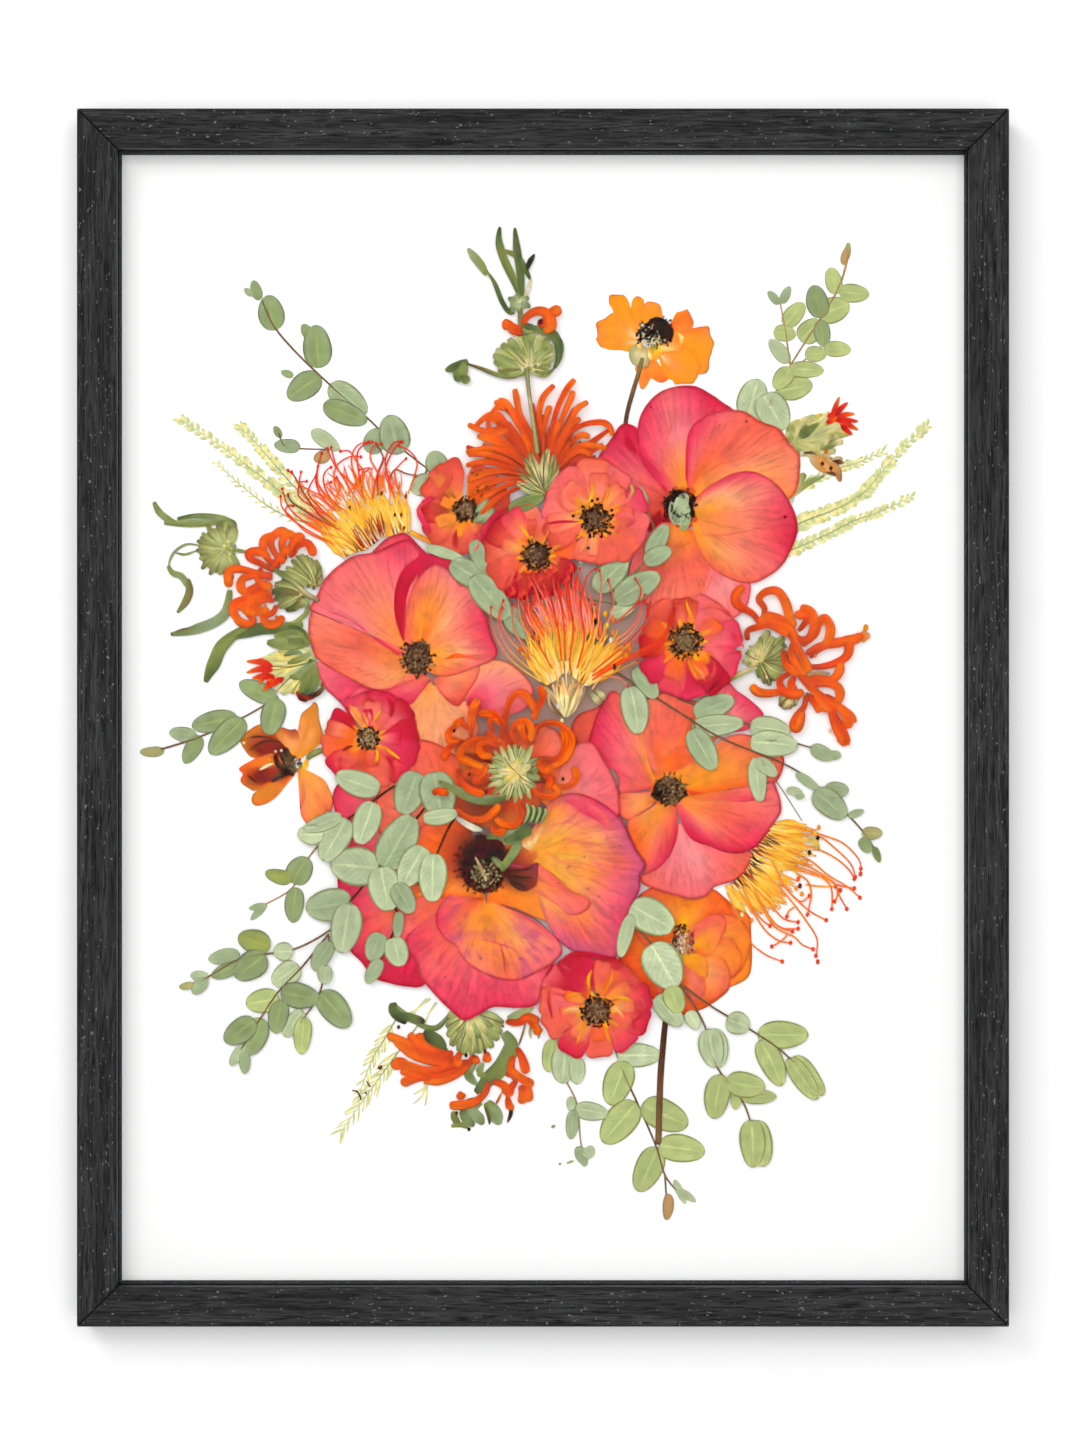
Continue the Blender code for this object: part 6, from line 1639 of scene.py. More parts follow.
# %% The lion's ear at the right
ear = Pressed("leonotis_right")
straps(ear, 0.2, (1.6, "tan straw olive", *xz("115,28 108,25 97,20")),
       (1.4, "straw olive", *xz("115,27 106,23 99,19")),
       (3.2, "straw tan grey", *xz("138,21 146,23 153,23.5")), (3.0, "bark tan straw", *xz("140,13 146,9 149,5")))
calyx(ear, (117, 30), sepals((118, 32), 100, -62, 12, 14.5, 10, 13), GREEN, 0.7, 5.6, 14, 0.5)
calyx(ear, (117, 30), sepals((117, 31), 95, 200, 9, 11, 9, 15), ("straw butter olive", "lime straw olive"), 1.1, 2.4,
      16, 0.8)
calyx(ear, (116, 28), xz("115,21 118,18 121,17 123,20"), DRY, 0.8, 3.6, 17)
scales(ear, 2.0, 0.95, ("straw", "butter", "olive"),
       *xz("113,33 112,30 110,29 115,32 119,21.5 109,35 112,36 117,34 115,28 108,31 106,34.5"))
calyx(ear, (133, 12), xz("126,9 126,6 128,4.5 131,4.5 134,6 136,9"), ("olive straw bark", "moss olive bark"), 0.2,
      4.2, 18)
scales(ear, 1.5, 1.0, ("moss", "straw", "soot", "olive"),
       *xz("129,38 130,36 131,34 132,31 133,28 137,33 138,30 138,34 128,39 136,12"))
curls(ear, 4.4, 1.2,
      xz("109,41 109,46 114,48 122,50 130,48 134,42 136,34"), xz("116,49 112,55 107,58 103,61 103,66 107,70"),
      xz("117,52 118,58 115,63 119,67 125,67 129,61 131,54 134,48"), xz("134,48 128,52 120,54 115,50"),
      xz("133,46 136,42 141,42 144,47 144,53 142,57 137,59"), xz("136,46 140,51 141,54 137,55 134,54"),
      xz("138,38 145,44 147,50 150,53 153,48 152,42 149,38"), xz("140,34 147,38 155,39 162,41 170,43"),
      xz("142,32 148,37 156,40 165,41 171,44"), xz("141,27 148,27 156,29 162,33 163,39 160,41"),
      xz("138,20 146,21 154,20 158,25 158,30"), xz("138,22 144,18 152,18 157,16 158,12 157,8"),
      xz("135,24 142,16 150,10 158,5 164,0 165,-3"), xz("136,25 144,15 152,8 155,-2 158,-9 162,-12"),
      xz("134,24 141,19 146,12 149,6 154,4"), xz("133,40 132,34 135,28 140,22"), xz("128,36 129,29 133,25 137,24"),
      xz("132,24 126,20 128,14 134,12 139,14"), xz("136,14 128,14 120,13 114,14 111,17.5"),
      xz("140,12 139,6 135,1 133,-4 135,-6 137,-2 138,4"), xz("141,12 146,6 148,3"), xz("134,22 132,18 134,12"),
      xz("130,46 135,38 139,30 142,24"), xz("118,50 126,47 131,44"), xz("150,12 156,8 160,2 163,-3 159,-3"),
      xz("153,6 157,-2 160,-8 161,-13 157,-10"), xz("166,42 170,44"))
scales(ear, 3.0, 1.6, ("amber", "gold", "apricot"), *xz("171,45 172,48 173,43.5 171,42"))
scales(ear, 3.0, 1.0, ("apricot", "amber", "cream"),
       *xz("163,-1 161,-11 153,-7 145,33 135,-1 132,46 123,13 149,50 128,15"))
ear.lay([TUBE, CALYX, STALK])

# %% The lion's ear in the middle
ear = Pressed("leonotis_center")
# Painted shade: a dark rust-brown sheet under the whorl fills its gaps with the colour of the shade between the
# curls.
petal(ear, (-24, -34),
      xz("-47,-16 -38,-10 -26,-10 -12,-16 -2,-28 0,-42 -8,-55 -24,-59 -40,-54 -46,-43 -44,-30 -47,-16"),
      "umber rust ochre|rust ochre brick|umber rust brick|oxblood rust ochre|rust umber rust|umber rust ochre", 0.0,
      ragged=0.9)
straps(ear, 0.3, (5.4, "pine moss olive|moss sage moss", *xz("-18,-41 -26,-43.5 -36,-43 -46,-38.5 -55,-34")),
       (3.4, "grey bone mist", *xz("-46,-53 -38,-58 -32,-60")),
       (8.0, "moss pine fern|pine moss pine", *xz("-6,-60 -14,-61 -20,-66")),
       (4.0, "moss sage", *xz("-27,-62 -20,-62 -12,-57")))
calyx(ear, (-14, -29), sepals((-15, -29), 50, 300, 13, 16.5, 34, 23),
      ("lime celery chartreuse|chartreuse butter olive", "chartreuse lime olive|lime celery chartreuse",
       "celery chartreuse lime|lime chartreuse moss"), 1.0, 2.6, 24, 0.4)
calyx(ear, (-13, -30), sepals((-14, -29), 45, -65, 9, 13, 10, 25),
      ("sage olive moss|lime olive moss", "moss sage olive"), 0.9, 4.0, 26, 0.6)
calyx(ear, (-14, -29), sepals((-15, -29), 0, 350, 6.5, 9.5, 15, 27),
      ("butter lemon lime", "cream butter straw", "lemon straw lime"), 2.0, 3.0, 28, 0.8)
# Painted shade: dark straps from the middle, under the calyx, darken the gaps between the curls.
for number, (x,
             z) in enumerate(xz("-45,-20 -44,-31 -41,-12 -38,-38 -30,-7 -30,-45 -20,-50 -12,-50 -22,-6 6,-33 4,-22")):
    ribbon(ear, [(-14, -29), (0.4 * x - 9, 0.4 * z - 17), (x, z)], [3, 8, 8, 3],
           ("oxblood rust ember|rust umber rust", "umber brick rust|rust ember orange",
            "rust ember orange|umber rust brick")[number % 3],
           0.1, arch=0.2, thick=0.12)
for number in range(7):
    tube(ear, [(-9 + 1.6 * number, -45.5 - 0.5 * number), (-7.5 + 1.5 * number, -50), (-10 + 1.5 * number, -56)],
         [0.9, 2.6, 0.9],
         ("straw lime sage", "olive pine moss")[number % 2], 0.9, sides=5, look=1)
curls(ear, 3.8, 1.2,
      xz("-23,-12 -20,-4 -19,4 -16,11 -11,13 -7,9 -4,4 -5,-1"), xz("-6,2 -2,6 0,12 -2,17"),
      xz("-14,-14 -17,-8 -14,-3 -9,-2 -6,-7 -7,-13"), xz("-5,-14 -3,-6 2,-3 9,-4 15,-10 14,-18 9,-24 4,-26"),
      xz("2,-24 10,-20 12,-12 10,-6"), xz("-20,-8 -22,-2 -27,2 -34,2"), xz("-38,-10 -38,-2 -37,5 -34,10"),
      xz("-26,-8 -28,-2 -25,0 -22,-4"), xz("-42,0 -46,-4 -50,-8 -49,-12 -44,-12"),
      xz("-42,-12 -49,-15 -52,-20 -54,-22"),
      xz("-22,-13 -30,-11 -38,-12 -43,-17 -44,-21 -38,-24 -31,-27"), xz("-24,-16 -29,-13 -34,-15 -32,-20 -27,-20"),
      xz("-28,-33 -36,-34 -32,-29 -30,-24"), xz("-45,-27 -44,-33 -39,-38 -31,-41"),
      xz("-46,-48 -40,-53 -32,-54 -26,-50 -23,-46"),
      xz("-13,-46 -11,-51 -15,-57 -22,-56 -25,-53"), xz("-27,-56 -26,-60 -22,-61 -21,-58"), xz("0,-30 4,-33 2,-38"),
      xz("-6,-37 -2,-41 4,-42 8,-39 4,-35"), xz("5,-36 11,-37 16,-35 18,-30 16,-26"), xz("1,-22 -2,-24 1,-28 6,-26"),
      xz("-58,-41 -56,-39 -50,-40.5"), xz("-8,-14 -11,-8 -12,-3"), xz("-40,-6 -44,-2 -47,-5"),
      xz("-33,6 -37,2 -38,-6"))
scales(ear, 3.4, 0.9, ("soot", "amber", "soot"), *xz("10.5,-32.5 -23,-12 -47,-7 -39,-30"))
ear.lay([TUBE, CALYX, STALK])

# %% The lion's ear at the top
ear = Pressed("leonotis_top")
FIERY = [[(x, z) for x, z in path] for path in (
    xz("0,134 0,148 -2,160 0,170 6,177"), xz("2,134 4,150 8,165 13,175 17,180"),
    xz("3,134 7,150 11,161 15,170 16,174"),
    xz("4,134 9,148 15,158 18,164 24,168"), xz("4,132 9,144 14,155 20,159"),
    xz("5,132 12,148 20,155 30,157 35,155 37,150"),
    xz("5,131 13,144 20,150 25,149"), xz("6,131 14,141 22,145 34,143"), xz("6,130 14,138 20,142 26,139"),
    xz("-2,134 -6,148 -12,158 -18,165 -26,168"), xz("-3,134 -8,147 -14,157 -19,167 -24,169"),
    xz("-2,135 -6,150 -12,161 -14,170 -15,175"),
    xz("-4,133 -12,146 -20,156 -28,161 -36,155"), xz("-4,132 -13,144 -22,153 -30,152 -40,156"),
    xz("-5,131 -15,141 -25,146 -35,150"),
    xz("-5,130 -16,139 -28,143 -41,141"), xz("-6,128 -18,136 -30,140 -40,140"), xz("-6,128 -18,133 -30,136 -41,134"),
    xz("-6,127 -18,131 -30,130 -40,126"), xz("-7,126 -18,127 -30,124 -38,119"), xz("-7,125 -18,124 -28,119 -36,114"),
    xz("-8,124 -18,120 -26,115 -33,108"), xz("-28,161 -24,165 -20,164"), xz("-29,161 -29,155 -26,151 -18,153"),
    xz("-20,164 -15,159 -10,150 -6,140"), xz("-35,155 -30,160 -24,157"), xz("0,150 2,160 4,166"),
    xz("-12,140 -22,148 -33,151"),
    xz("4,136 6,150 9,158"), xz("-16,148 -20,157 -26,163"))]
for number in range(22):
    turn = math.radians(18 + 7.2 * number)
    far = 24 + 7 * ((number * 5) % 4)
    ribbon(ear, [(math.cos(turn) * 5, 127 + math.sin(turn) * 5),
                 (math.cos(turn) * far, 127 + math.sin(turn) * 0.9 * far)],
           [2, 4.2, 2.0], ("oxblood rust ember", "umber rust brick", "oxblood brick ember")[number % 3], 0.1,
           arch=0.1, thick=0.1)
curls(ear, 3.0, 0.5, *FIERY)
for x, z, far in ((-36, 132, 3), (-32, 121, 3), (17, 146, 3)):
    filaments(ear, x, z, 0.6, far, 2.2, int(20 + x), 5, "rust", "umber")
calyx(ear, (1, 119),
      xz("-15,134 -12,129 -14,125 -10,138 -7,141 -4,136 -2,131 1,141 3,143 6,140 8,135 7,130 -8,124 -3,128"),
      ("sage olive lime|lime olive sage", "moss straw olive", "olive lime straw"), 1.8, 3.8, 33, 0.6)
tube(ear, xz("-3,140 -4.5,152 -6.5,166 -8,178 -8.5,186"), [2.8, 2.3, 2.2, 2.2], "olive straw moss|moss bark olive",
     2.6, look=2)
straps(ear, 0.2, (2.4, "bark moss umber|moss olive bark", *xz("-10,184 -16,181.5 -24,182.5 -33,186 -42,189")),
       (5.0, "moss pine moss", *xz("-40,190 -46,187 -52,185")),
       (7.5, "moss olive moss|olive moss pine", *xz("-42,189 -44,184 -46,179")),
       (5.0, "pine moss olive", *xz("-44,182 -41,180 -39,179")),
       (5.0, "moss pine moss|olive moss pine", *xz("-12,206 -4,207 3,205 8,200 8.5,192 6,186")),
       (3.0, "pine moss", *xz("2,207 6,205 9,202")),
       (2.0, "moss olive sage", *xz("6,186 1,182 -4,183")))
calyx(ear, (-7, 186),
      xz("-24,186 -26,190 -26.5,193 -25,196 -22,199 -18,202 -14,205 -10,204 -5.5,205 -1,204 2.5,202 5.5,198 6,193 "
         "4,188"),
      ("olive lime straw|moss olive lime", "lime olive moss|straw lime olive", "moss lime olive|olive moss lime"),
      0.8, 6.0, 34, 0.4)
calyx(ear, (-7, 186), sepals((-7, 186), 30, 150, 9, 14, 7, 35), ("lime straw olive", "olive lime moss"), 1.5, 3.2, 36,
      0.6)
calyx(ear, (-8, 186), xz("-24,184.5 -19,182.5 -14,182 0,182.5 3,184"), ("lime olive moss", "straw lime olive"), 1.2,
      3.4, 37, 0.6)
scales(ear, 2.4, 1.0, ("butter", "bone", "olive"), *xz("-9,187 -6,187.5 -8,184.5 -5,185 -11,185.5 -4,187"))
curls(ear, 5.2, 0.8, xz("-14,206 -18,209 -22,209.5"), xz("-12,203 -14,207 -18,205"),
      xz("-11,209 -8,214 -2,216.5 3,214 4,208 0,206.5"),
      xz("-2,208 2,212 6,216 10,217"))
ear.bead(-1, 210.5, 2.6, 2.4, wash("oxblood")(0, 0), 0, stretch=0.9)
straps(ear, 1.6, (4.0, "moss straw olive|bark moss olive", *xz("-12,218 -11.5,211 -9,206 -5,206")),
       (5.2, "moss pine moss", *xz("-12,209 -8,207.5 -4,208")))
calyx(ear, (-12.5, 221), sepals((-13, 221), 0, 340, 4.5, 6.5, 12, 38), ("bone lime olive", "grey sage moss"), 1.2,
      3.0, 39, 0.7)
straps(ear, 1.0, (2.6, "moss pine olive", *xz("-15,216 -18,216 -22,222 -26,232 -30,238")),
       (4.6, "olive sage lime|moss olive sage", *xz("-30,236 -33,241 -37,246 -40,250")),
       (4.4, "pine moss pine|moss olive pine", *xz("-12,224 -16,234 -21,245 -23.5,254 -23,261.5")),
       (4.2, "pine moss pine|moss pine bark", *xz("-11,223 -12,236 -14,250 -15,261")),
       (3.4, "olive moss pine", *xz("-21,249 -14,246 -10,240 -6.5,233")),
       (2.0, "straw bone olive", *xz("-6.5,234 -8,228 -11,223")),
       (2.8, "pine soot pine", *xz("-9,238 -7,243 -4.5,247")))
ear.lay([TUBE, CALYX, STALK])

# %% The lion's ear at the bottom
ear = Pressed("leonotis_bottom")
straps(ear, 0.2, (3.0, "olive moss sage|sage moss pine",
                  *xz("-78,-154 -72,-159 -64,-164.5 -57,-165.5 -52,-161 -49,-157")),
       (6.0, "pine moss pine|moss pine soot", *xz("-80,-152 -79,-157 -73,-163")),
       (5.0, "pine moss soot", *xz("-76,-158 -68,-161 -63,-162")),
       (8.0, "pine moss pine|soot pine moss", *xz("-64,-168 -58,-172 -52,-176")),
       (6.5, "soot pine moss", *xz("-60,-171 -54,-178 -50,-180")),
       (9.0, "moss olive moss|sage moss pine", *xz("-21,-168 -17,-175 -22,-186 -30,-194 -36,-200")),
       (3.0, "bark umber soot", *xz("-36,-158 -28,-159 -21,-165")),
       (1.2, "tan bark", *xz("-9,-162 -11,-169 -13,-175")),
       (5.0, "sage moss sage", *xz("-36,-184 -40,-190 -35,-196")),
       (4.4, "straw lime sage", *xz("-5,-154 -12,-158 -19,-160")),
       (8.0, "moss sage lime|olive moss sage", *xz("-30,-205 -26,-211 -23,-217")),
       (6.0, "olive sage moss", *xz("-33,-205 -38,-209 -34,-214 -32,-217")),
       (6.5, "moss sage pine|pine moss sage", *xz("-42,-208 -41,-213 -37,-218")),
       (4.0, "olive moss bark", *xz("-48,-210 -47,-214 -44,-218")),
       (3.0, "olive moss", *xz("-49,-218 -44,-217 -40,-219")),
       (2.2, "bark pine", *xz("-31,-207 -29,-212 -28.5,-217")))
calyx(ear, (-38, -157),
      xz("-51,-160 -51.5,-165 -51,-170 -49,-175 -45,-178 -42,-180 -38,-180 -34,-179 -31,-177 -27,-176 -24,-172 "
         "-22,-168 -21,-163"),
      ("olive lime moss|lime straw olive", "lime butter olive|olive lime moss", "straw lime olive|moss lime olive"),
      0.6, 6.0, 43, 0.4)
calyx(ear, (-38, -158), xz("-46,-167 -43,-171 -39,-172 -34,-171 -30,-169 -27,-165"),
      ("lime butter olive", "straw lime moss"), 1.4, 4.0, 44, 0.7)
curls(ear, 4.4, 1.0, xz("-48,-180 -56,-178 -64,-174 -66,-168"), xz("-46,-182 -56,-180 -66,-176 -71,-168"),
      xz("-50,-183 -60,-180 -72,-174 -83,-169"),
      xz("-44,-184 -56,-184 -68,-180 -79,-172"), xz("-40,-183 -50,-186 -62,-188 -74,-185 -80,-186"),
      xz("-37,-182 -46,-188 -58,-192 -68,-190 -76,-188"),
      xz("-37,-180 -43,-188 -54,-193 -64,-193"), xz("-64,-192 -70,-193 -76,-195"), xz("-72,-184 -77,-183 -80,-187"),
      xz("-48,-178 -54,-182 -50,-186"),
      xz("-44,-178 -46,-183 -43,-185"), xz("-29,-194 -31,-200 -37,-205 -45,-206.5 -50,-206.5"),
      xz("-44,-203 -43,-201 -46,-203"),
      xz("-14,-176 -11,-182 -9,-190"), xz("-16,-180 -17,-188 -12,-192"), xz("-20,-190 -14,-191 -9,-194 -5,-196"),
      xz("-27,-194 -21,-196 -19,-201"),
      xz("-14,-193 -18,-199 -17,-202"), xz("-10,-194 -8,-199 -8,-205"), xz("-12,-196 -11,-201 -11.5,-206"),
      xz("-19,-202 -18,-207 -16,-206"),
      xz("-20,-162 -13,-162.5 -8,-160 -2,-162"), xz("-8,-161 -4,-165 -2,-169"), xz("-30,-178 -30,-184"),
      xz("-36,-180 -36,-185"))
ribbon(ear, xz("-20,-162 -15,-163 -10,-161"), [1, 4.0, 2], "amber gold tangerine", 2.6, arch=0.4)
straps(ear, 1.4, (1.4, "moss straw", *xz("-6,-163 -7,-167 -6.5,-171")),
       (1.4, "straw moss", *xz("-3,-165 -2,-168 -2.5,-171")),
       (2.2, "umber soot bark", *xz("-19,-203 -17,-210 -19,-216")),
       (1.4, "tangerine rust", *xz("-22,-200 -24,-204 -25,-206")),
       (4.0, "sage olive moss", *xz("-32,-184 -34,-189 -30,-192")),
       (3.0, "soot pine", *xz("-44,-208 -40,-205 -36,-203")))
scales(ear, 2.2, 1.0, ("soot", "umber", "apricot"),
       *xz("-41,-180 -52,-182 -42,-184 -36,-181 -46,-211 -46,-184 -39.5,-219.5 -16,-192 -57,-178 -31,-178 -77,-165"))
ear.lay([TUBE, CALYX, STALK])

# %% The bud at the upper right
ear = Pressed("leonotis_bud_right")
straps(ear, 0.1, (7.0, "sage lime olive|lime straw moss", *xz("131,118 134,124 140,130")),
       (3.4, "straw olive sage", *xz("133,118 141,125 150,129")), (3.0, "bone sage", *xz("132,114 133,119")))
calyx(ear, (133, 146),
      xz("136,159 141,160 145,161 149,161.5 153,162.5 152,157 157,158 161,158 163,155 164,152 160,147 156,142 "
         "150,140 143,140"),
      ("olive straw lemon|straw lime olive", "lime straw butter|olive lime straw",
       "straw butter lime|lime olive straw"), 0.5, 6.2, 51, 0.5)
calyx(ear, (134, 147), xz("134,158 132,155 130,152 140,158 140,140 136,142"),
      ("lime olive straw", "straw lime olive"), 0.6, 6.0, 52, 0.5)
calyx(ear, (137, 149), xz("147,157 144,154 141,156"), ("olive moss olive|moss pine olive",), 1.4, 4.6, 53, 0.2)
calyx(ear, (148, 143), xz("158,150 155,151 157,147"), ("olive moss straw", "moss straw olive"), 1.4, 3.4, 54, 0.3)
for number, path in enumerate((xz("155,158 155.5,164 158,171"), xz("156,161 159,165 162.5,168"),
                               xz("156,159 161,161.5 166,162"), xz("156,158 162,158.5 168,158"),
                               xz("158,157 163,156 168,153.5"), xz("159,156 162,153 165,151"),
                               xz("151,157 154,158.5 157,160"), xz("152,162 154,160"))):
    ribbon(ear, path, [1.0, 3.6, 2.6, 0.9], ("vermilion scarlet tangerine", "blood scarlet vermilion",
                                             "crimson vermilion tangerine", "scarlet scarlet vermilion")[number % 4],
           1.5 + 0.1 * number, arch=0.5)
straps(ear, 1.5, (8.0, "tan amber straw|straw tan amber", *xz("143,140 148,136 153,131")),
       (5.0, "straw tan bark|tan amber tan", *xz("150,140 154,136 157,131 158.5,126")),
       (3.0, "bark umber tan", *xz("153,138 157,136.5 160.5,136")),
       (2.0, "straw tan", *xz("153,137 157,138.5 160,138")), (2.4, "bark umber", *xz("151,131 156,130 157,129")))
scales(ear, 2.4, 1.1, ("umber", "bone", "orange"), *xz("153.5,133 149,141.5 151,142 149,135.5 138,141"))
ribbon(ear, xz("139,141 143,141.5 146,140"), [0.8, 2.0, 0.8], "umber bark", 1.9, arch=0.3)
ear.lay([TUBE, CALYX, STALK])

# %% [markdown]
# ## The orange flowers and the plumes
#
# An orange ranunculus under the big roses, a poppy at the top, a faded lily at the left, and the
# pale plumes that stick out behind everything.

# %% The orange rose
rose = Pressed("rose_orange")
tube(rose, xz("70,-145 66,-158 64,-175 62.5,-195 61.5,-228"), [2.8, 3.0, 3.4, 3.4],
     "umber umber umber bark|soot umber bark tan", 0.0, flat=0.5, look=2)
petal(rose, (74, -118), xz("44,-108 40,-120 41,-131 48,-142 58,-150 66,-152"),
      "orange tangerine vermilion|orange tangerine vermilion|tangerine orange vermilion", 0.0)
petal(rose, (74, -120), xz("92,-92 102,-100 110,-106 111,-116 111.5,-126 110,-138 100,-144"),
      "amber amber coral|orange amber tangerine|amber apricot tangerine", 0.1)
petal(rose, (74, -122), xz("60,-146 72,-158 84,-156 94,-150 100,-143 96,-130"),
      "coral orange coral|orange coral orange|coral orange tangerine", 0.2)
petal(rose, (75, -117), xz("54,-122 46,-108 50,-96 60,-90 72,-90 84,-91 92,-92 99,-99 102,-108"),
      "orange orange coral|orange tangerine orange|amber orange coral|gold amber orange|sunflower gold orange"
      "|gold amber orange|amber orange orange|orange coral orange", 0.3)
petal(rose, (82, -120), xz("94,-104 103,-106 110,-114 110,-126 103,-138 94,-140"),
      "orange amber coral|coral amber tangerine|orange apricot coral", 0.5)
petal(rose, (80, -128), xz("90,-118 100,-118 105,-124 106,-132 100,-139 90,-142"),
      "amber amber coral|orange amber tangerine|coral apricot coral", 0.7)
petal(rose, (76, -132), xz("88,-127 96,-128 100,-137 98,-146 88,-152 80,-153"),
      "orange apricot tangerine|amber apricot coral|coral amber orange", 0.85)
petal(rose, (74, -130), xz("80,-130 86,-138 86,-147 80,-152 74,-146"),
      "salmon coral orange|coral salmon coral|amber orange coral", 0.95)
petal(rose, (72, -126), xz("80,-126 84,-126 88,-131 87,-139 80,-135 74,-131"),
      "gold sunflower gold|sunflower gold amber|gold gold amber", 1.1)
petal(rose, (77, -120), xz("80,-112 86,-107 93,-104.5 98,-108 96,-116 93,-122 89,-127 84,-127"),
      "coral coral salmon|salmon coral coral|gold amber coral|sunflower gold amber|coral orange coral", 1.2)
ribbon(rose, xz("74,-116 74,-108 77,-100"), [3, 6, 1.5], "sunflower gold amber|gold sunflower orange", 0.9, arch=0.1,
       thick=0.1)
stamens(rose, 74.5, -121, 12, 14, 1.7, 61, 260, ("straw", "apricot", "bark", "bone"), size=0.6)
stamens(rose, 74, -112.5, 8, 6, 2.1, 62, 34, ("umber", "soot", "tan"))
stamens(rose, 70.5, -120, 4, 12, 2.0, 63, 24, ("soot", "plum", "umber"))
stamens(rose, 79.5, -120, 2.4, 11, 2.0, 64, 20, ("plum", "brick", "umber"))
rose.lay([ROSE, STAMEN, STALK])

# %% The poppy at the top
poppy = Pressed("poppy_top")
tube(poppy, xz("43.5,153 45,163 48,174 51,184 53,192"), [2.2, 2.4, 2.0], "umber bark olive|bark umber bark", 0.0,
     look=2)
petal(poppy, (58, 192), xz("49,187 51,180 52,176 54,175.5 57,180 59,184"), "orange amber amber|amber orange amber",
      0.1)
petal(poppy, (57, 193), xz("56,184 58,181 63,178.5 67,180.5 65,184 61,190"),
      "gold tangerine gold|tangerine amber orange|amber gold amber", 0.3)
petal(poppy, (53, 201),
      xz("48,195 42,196 34,196.5 30,199 28.5,204 29,210 33,213 37,217 35,222 36,226 43,225 46,221 47,216 50,211"),
      "amber gold gold|bone amber gold|apricot gold amber|bone amber gold|apricot gold gold|amber gold gold"
      "|amber gold gold", 0.5, ruffle=0.5, ragged=1.4, cell=1.7)
petal(poppy, (52, 206), xz("47,213 47,219 48,223 50.5,225 54,222.5 52,219.5 50,214"),
      "apricot gold gold|amber gold gold", 0.7)
petal(poppy, (58, 207), xz("53,211 52,216 53,219 56,222 61,221 63,219 64,213"),
      "amber gold gold|gold gold amber|amber gold amber", 0.8)
petal(poppy, (66, 202), xz("66,208 69,212 71,216 75,217 77,218 79,214 80.5,210 78,206 74,202"),
      "rust orange amber|amber orange gold|orange amber orange|amber orange amber", 0.5)
petal(poppy, (66, 198), xz("72,203 77,207 83,208.5 88,208 89,204 91.5,200 90,194 89,188 86,184 82,183 80,182"),
      "orange amber amber|amber amber orange|gold gold amber|amber gold gold|gold gold amber|amber gold gold", 0.6,
      ruffle=0.5, ragged=1.4, cell=1.7)
petal(poppy, (61, 196), xz("78,196 84,190 83,183 80,178 75,177.5 71,177 69,180 66,182 63,187"),
      "gold gold gold|apricot amber gold|bone amber gold|amber gold gold|apricot gold gold", 0.8, ruffle=0.5,
      ragged=1.4, cell=1.7)
petal(poppy, (52, 200), xz("45.5,197 46,192 48,188.5 52,186.5 56,187 57.5,191 56,197"),
      "bark khaki khaki|khaki straw khaki|khaki straw tan|tan khaki bark", 1.1)
petal(poppy, (60, 200), xz("56,197 57,193 60,190 64,194 69,195 74,196 74.5,201 71,206 68,203"),
      "umber olive amber|olive sunflower gold|gold butter amber|bark amber tangerine|umber amber gold", 1.2)
for path in (xz("56,197 57,193 58,190"), xz("53,200 51,198.5 53,196"), xz("71,205.5 74,203 73.5,198")):
    ribbon(poppy, path, [1, 2.2, 1], "gold butter gold", 1.9, arch=0.4)
for number, (x, z, width, height, tints) in enumerate(((61, 206, 13, 8, ("soot",)),
                                                       (66, 204, 8, 9, ("soot", "umber")),
                                                       (63, 210.5, 6, 5, ("soot",)),
                                                       (57, 207, 6, 6, ("soot", "umber")),
                                                       (52, 204, 4, 10, ("soot", "umber")),
                                                       (57, 202, 8, 6, ("straw", "soot", "bone")),
                                                       (61, 201, 7, 4, ("straw", "umber", "soot")))):
    stamens(poppy, x, z, width, height, 2.0, 71 + number, int(width * height * 0.8), tints, size=0.9)
petal(poppy, (61, 206), xz("53,205 54,210 58,213 63,213.5 68,210 70,205 68,201 62,201 56,202 53,205"),
      "soot umber soot", 1.6, ragged=1.0)
filaments(poppy, 61, 206, 5, 8.4, 1.9, 79, 26, "soot", "soot")
filaments(poppy, 56, 203, 2, 6, 2.3, 80, 14, "bone", "straw")
for x, z in xz("39.5,215.5 39,213 30,208.5 75,215 53,211.5"):
    speck(poppy, x, z, 1.1, 0.5, "rust")
poppy.lay([POPPY, STAMEN, STALK])

# %% The lily at the left
lily = Pressed("lily_left")
tube(lily, xz("-126,-22 -122,-19 -117,-17"), [2.4, 3.4, 3.0], "moss olive sage|bark olive moss", 0.0, look=2)
petal(lily, (-131, -23), xz("-137,-10 -142,-6 -150,-3.5 -156,-6 -161.5,-11 -160,-16 -156,-21 -151,-22 -140,-24"),
      "umber orange ochre|soot rust ochre|umber oxblood rust ochre|oxblood rust oxblood ochre|rust ochre rust ochre"
      "|rust orange ochre orange", 0.3)
petal(lily, (-132, -25), xz("-145,-19 -154,-22 -162,-27 -160,-30 -161.5,-34 -156,-38.5 -153,-39 -144,-36 -138,-30"),
      "rust orange ochre|rust ochre orange|oxblood rust oxblood orange|soot rust oxblood ochre"
      "|oxblood rust orange ochre|soot rust orange", 0.6)
petal(lily, (-131, -27), xz("-139,-30 -147,-36 -154,-40 -155.5,-44 -153,-47 -147,-45.5 -142,-42 -137,-36 -132,-30"),
      "rust ochre orange rust|oxblood ochre ochre|rust orange ochre orange|rust ochre orange", 0.8)
petal(lily, (-131, -23), xz("-143,-9 -140,-5 -135,-6.5 -132,-6 -130,-10 -129.5,-18"),
      "gold apricot ochre|ochre apricot rust|gold ochre ochre", 0.9)
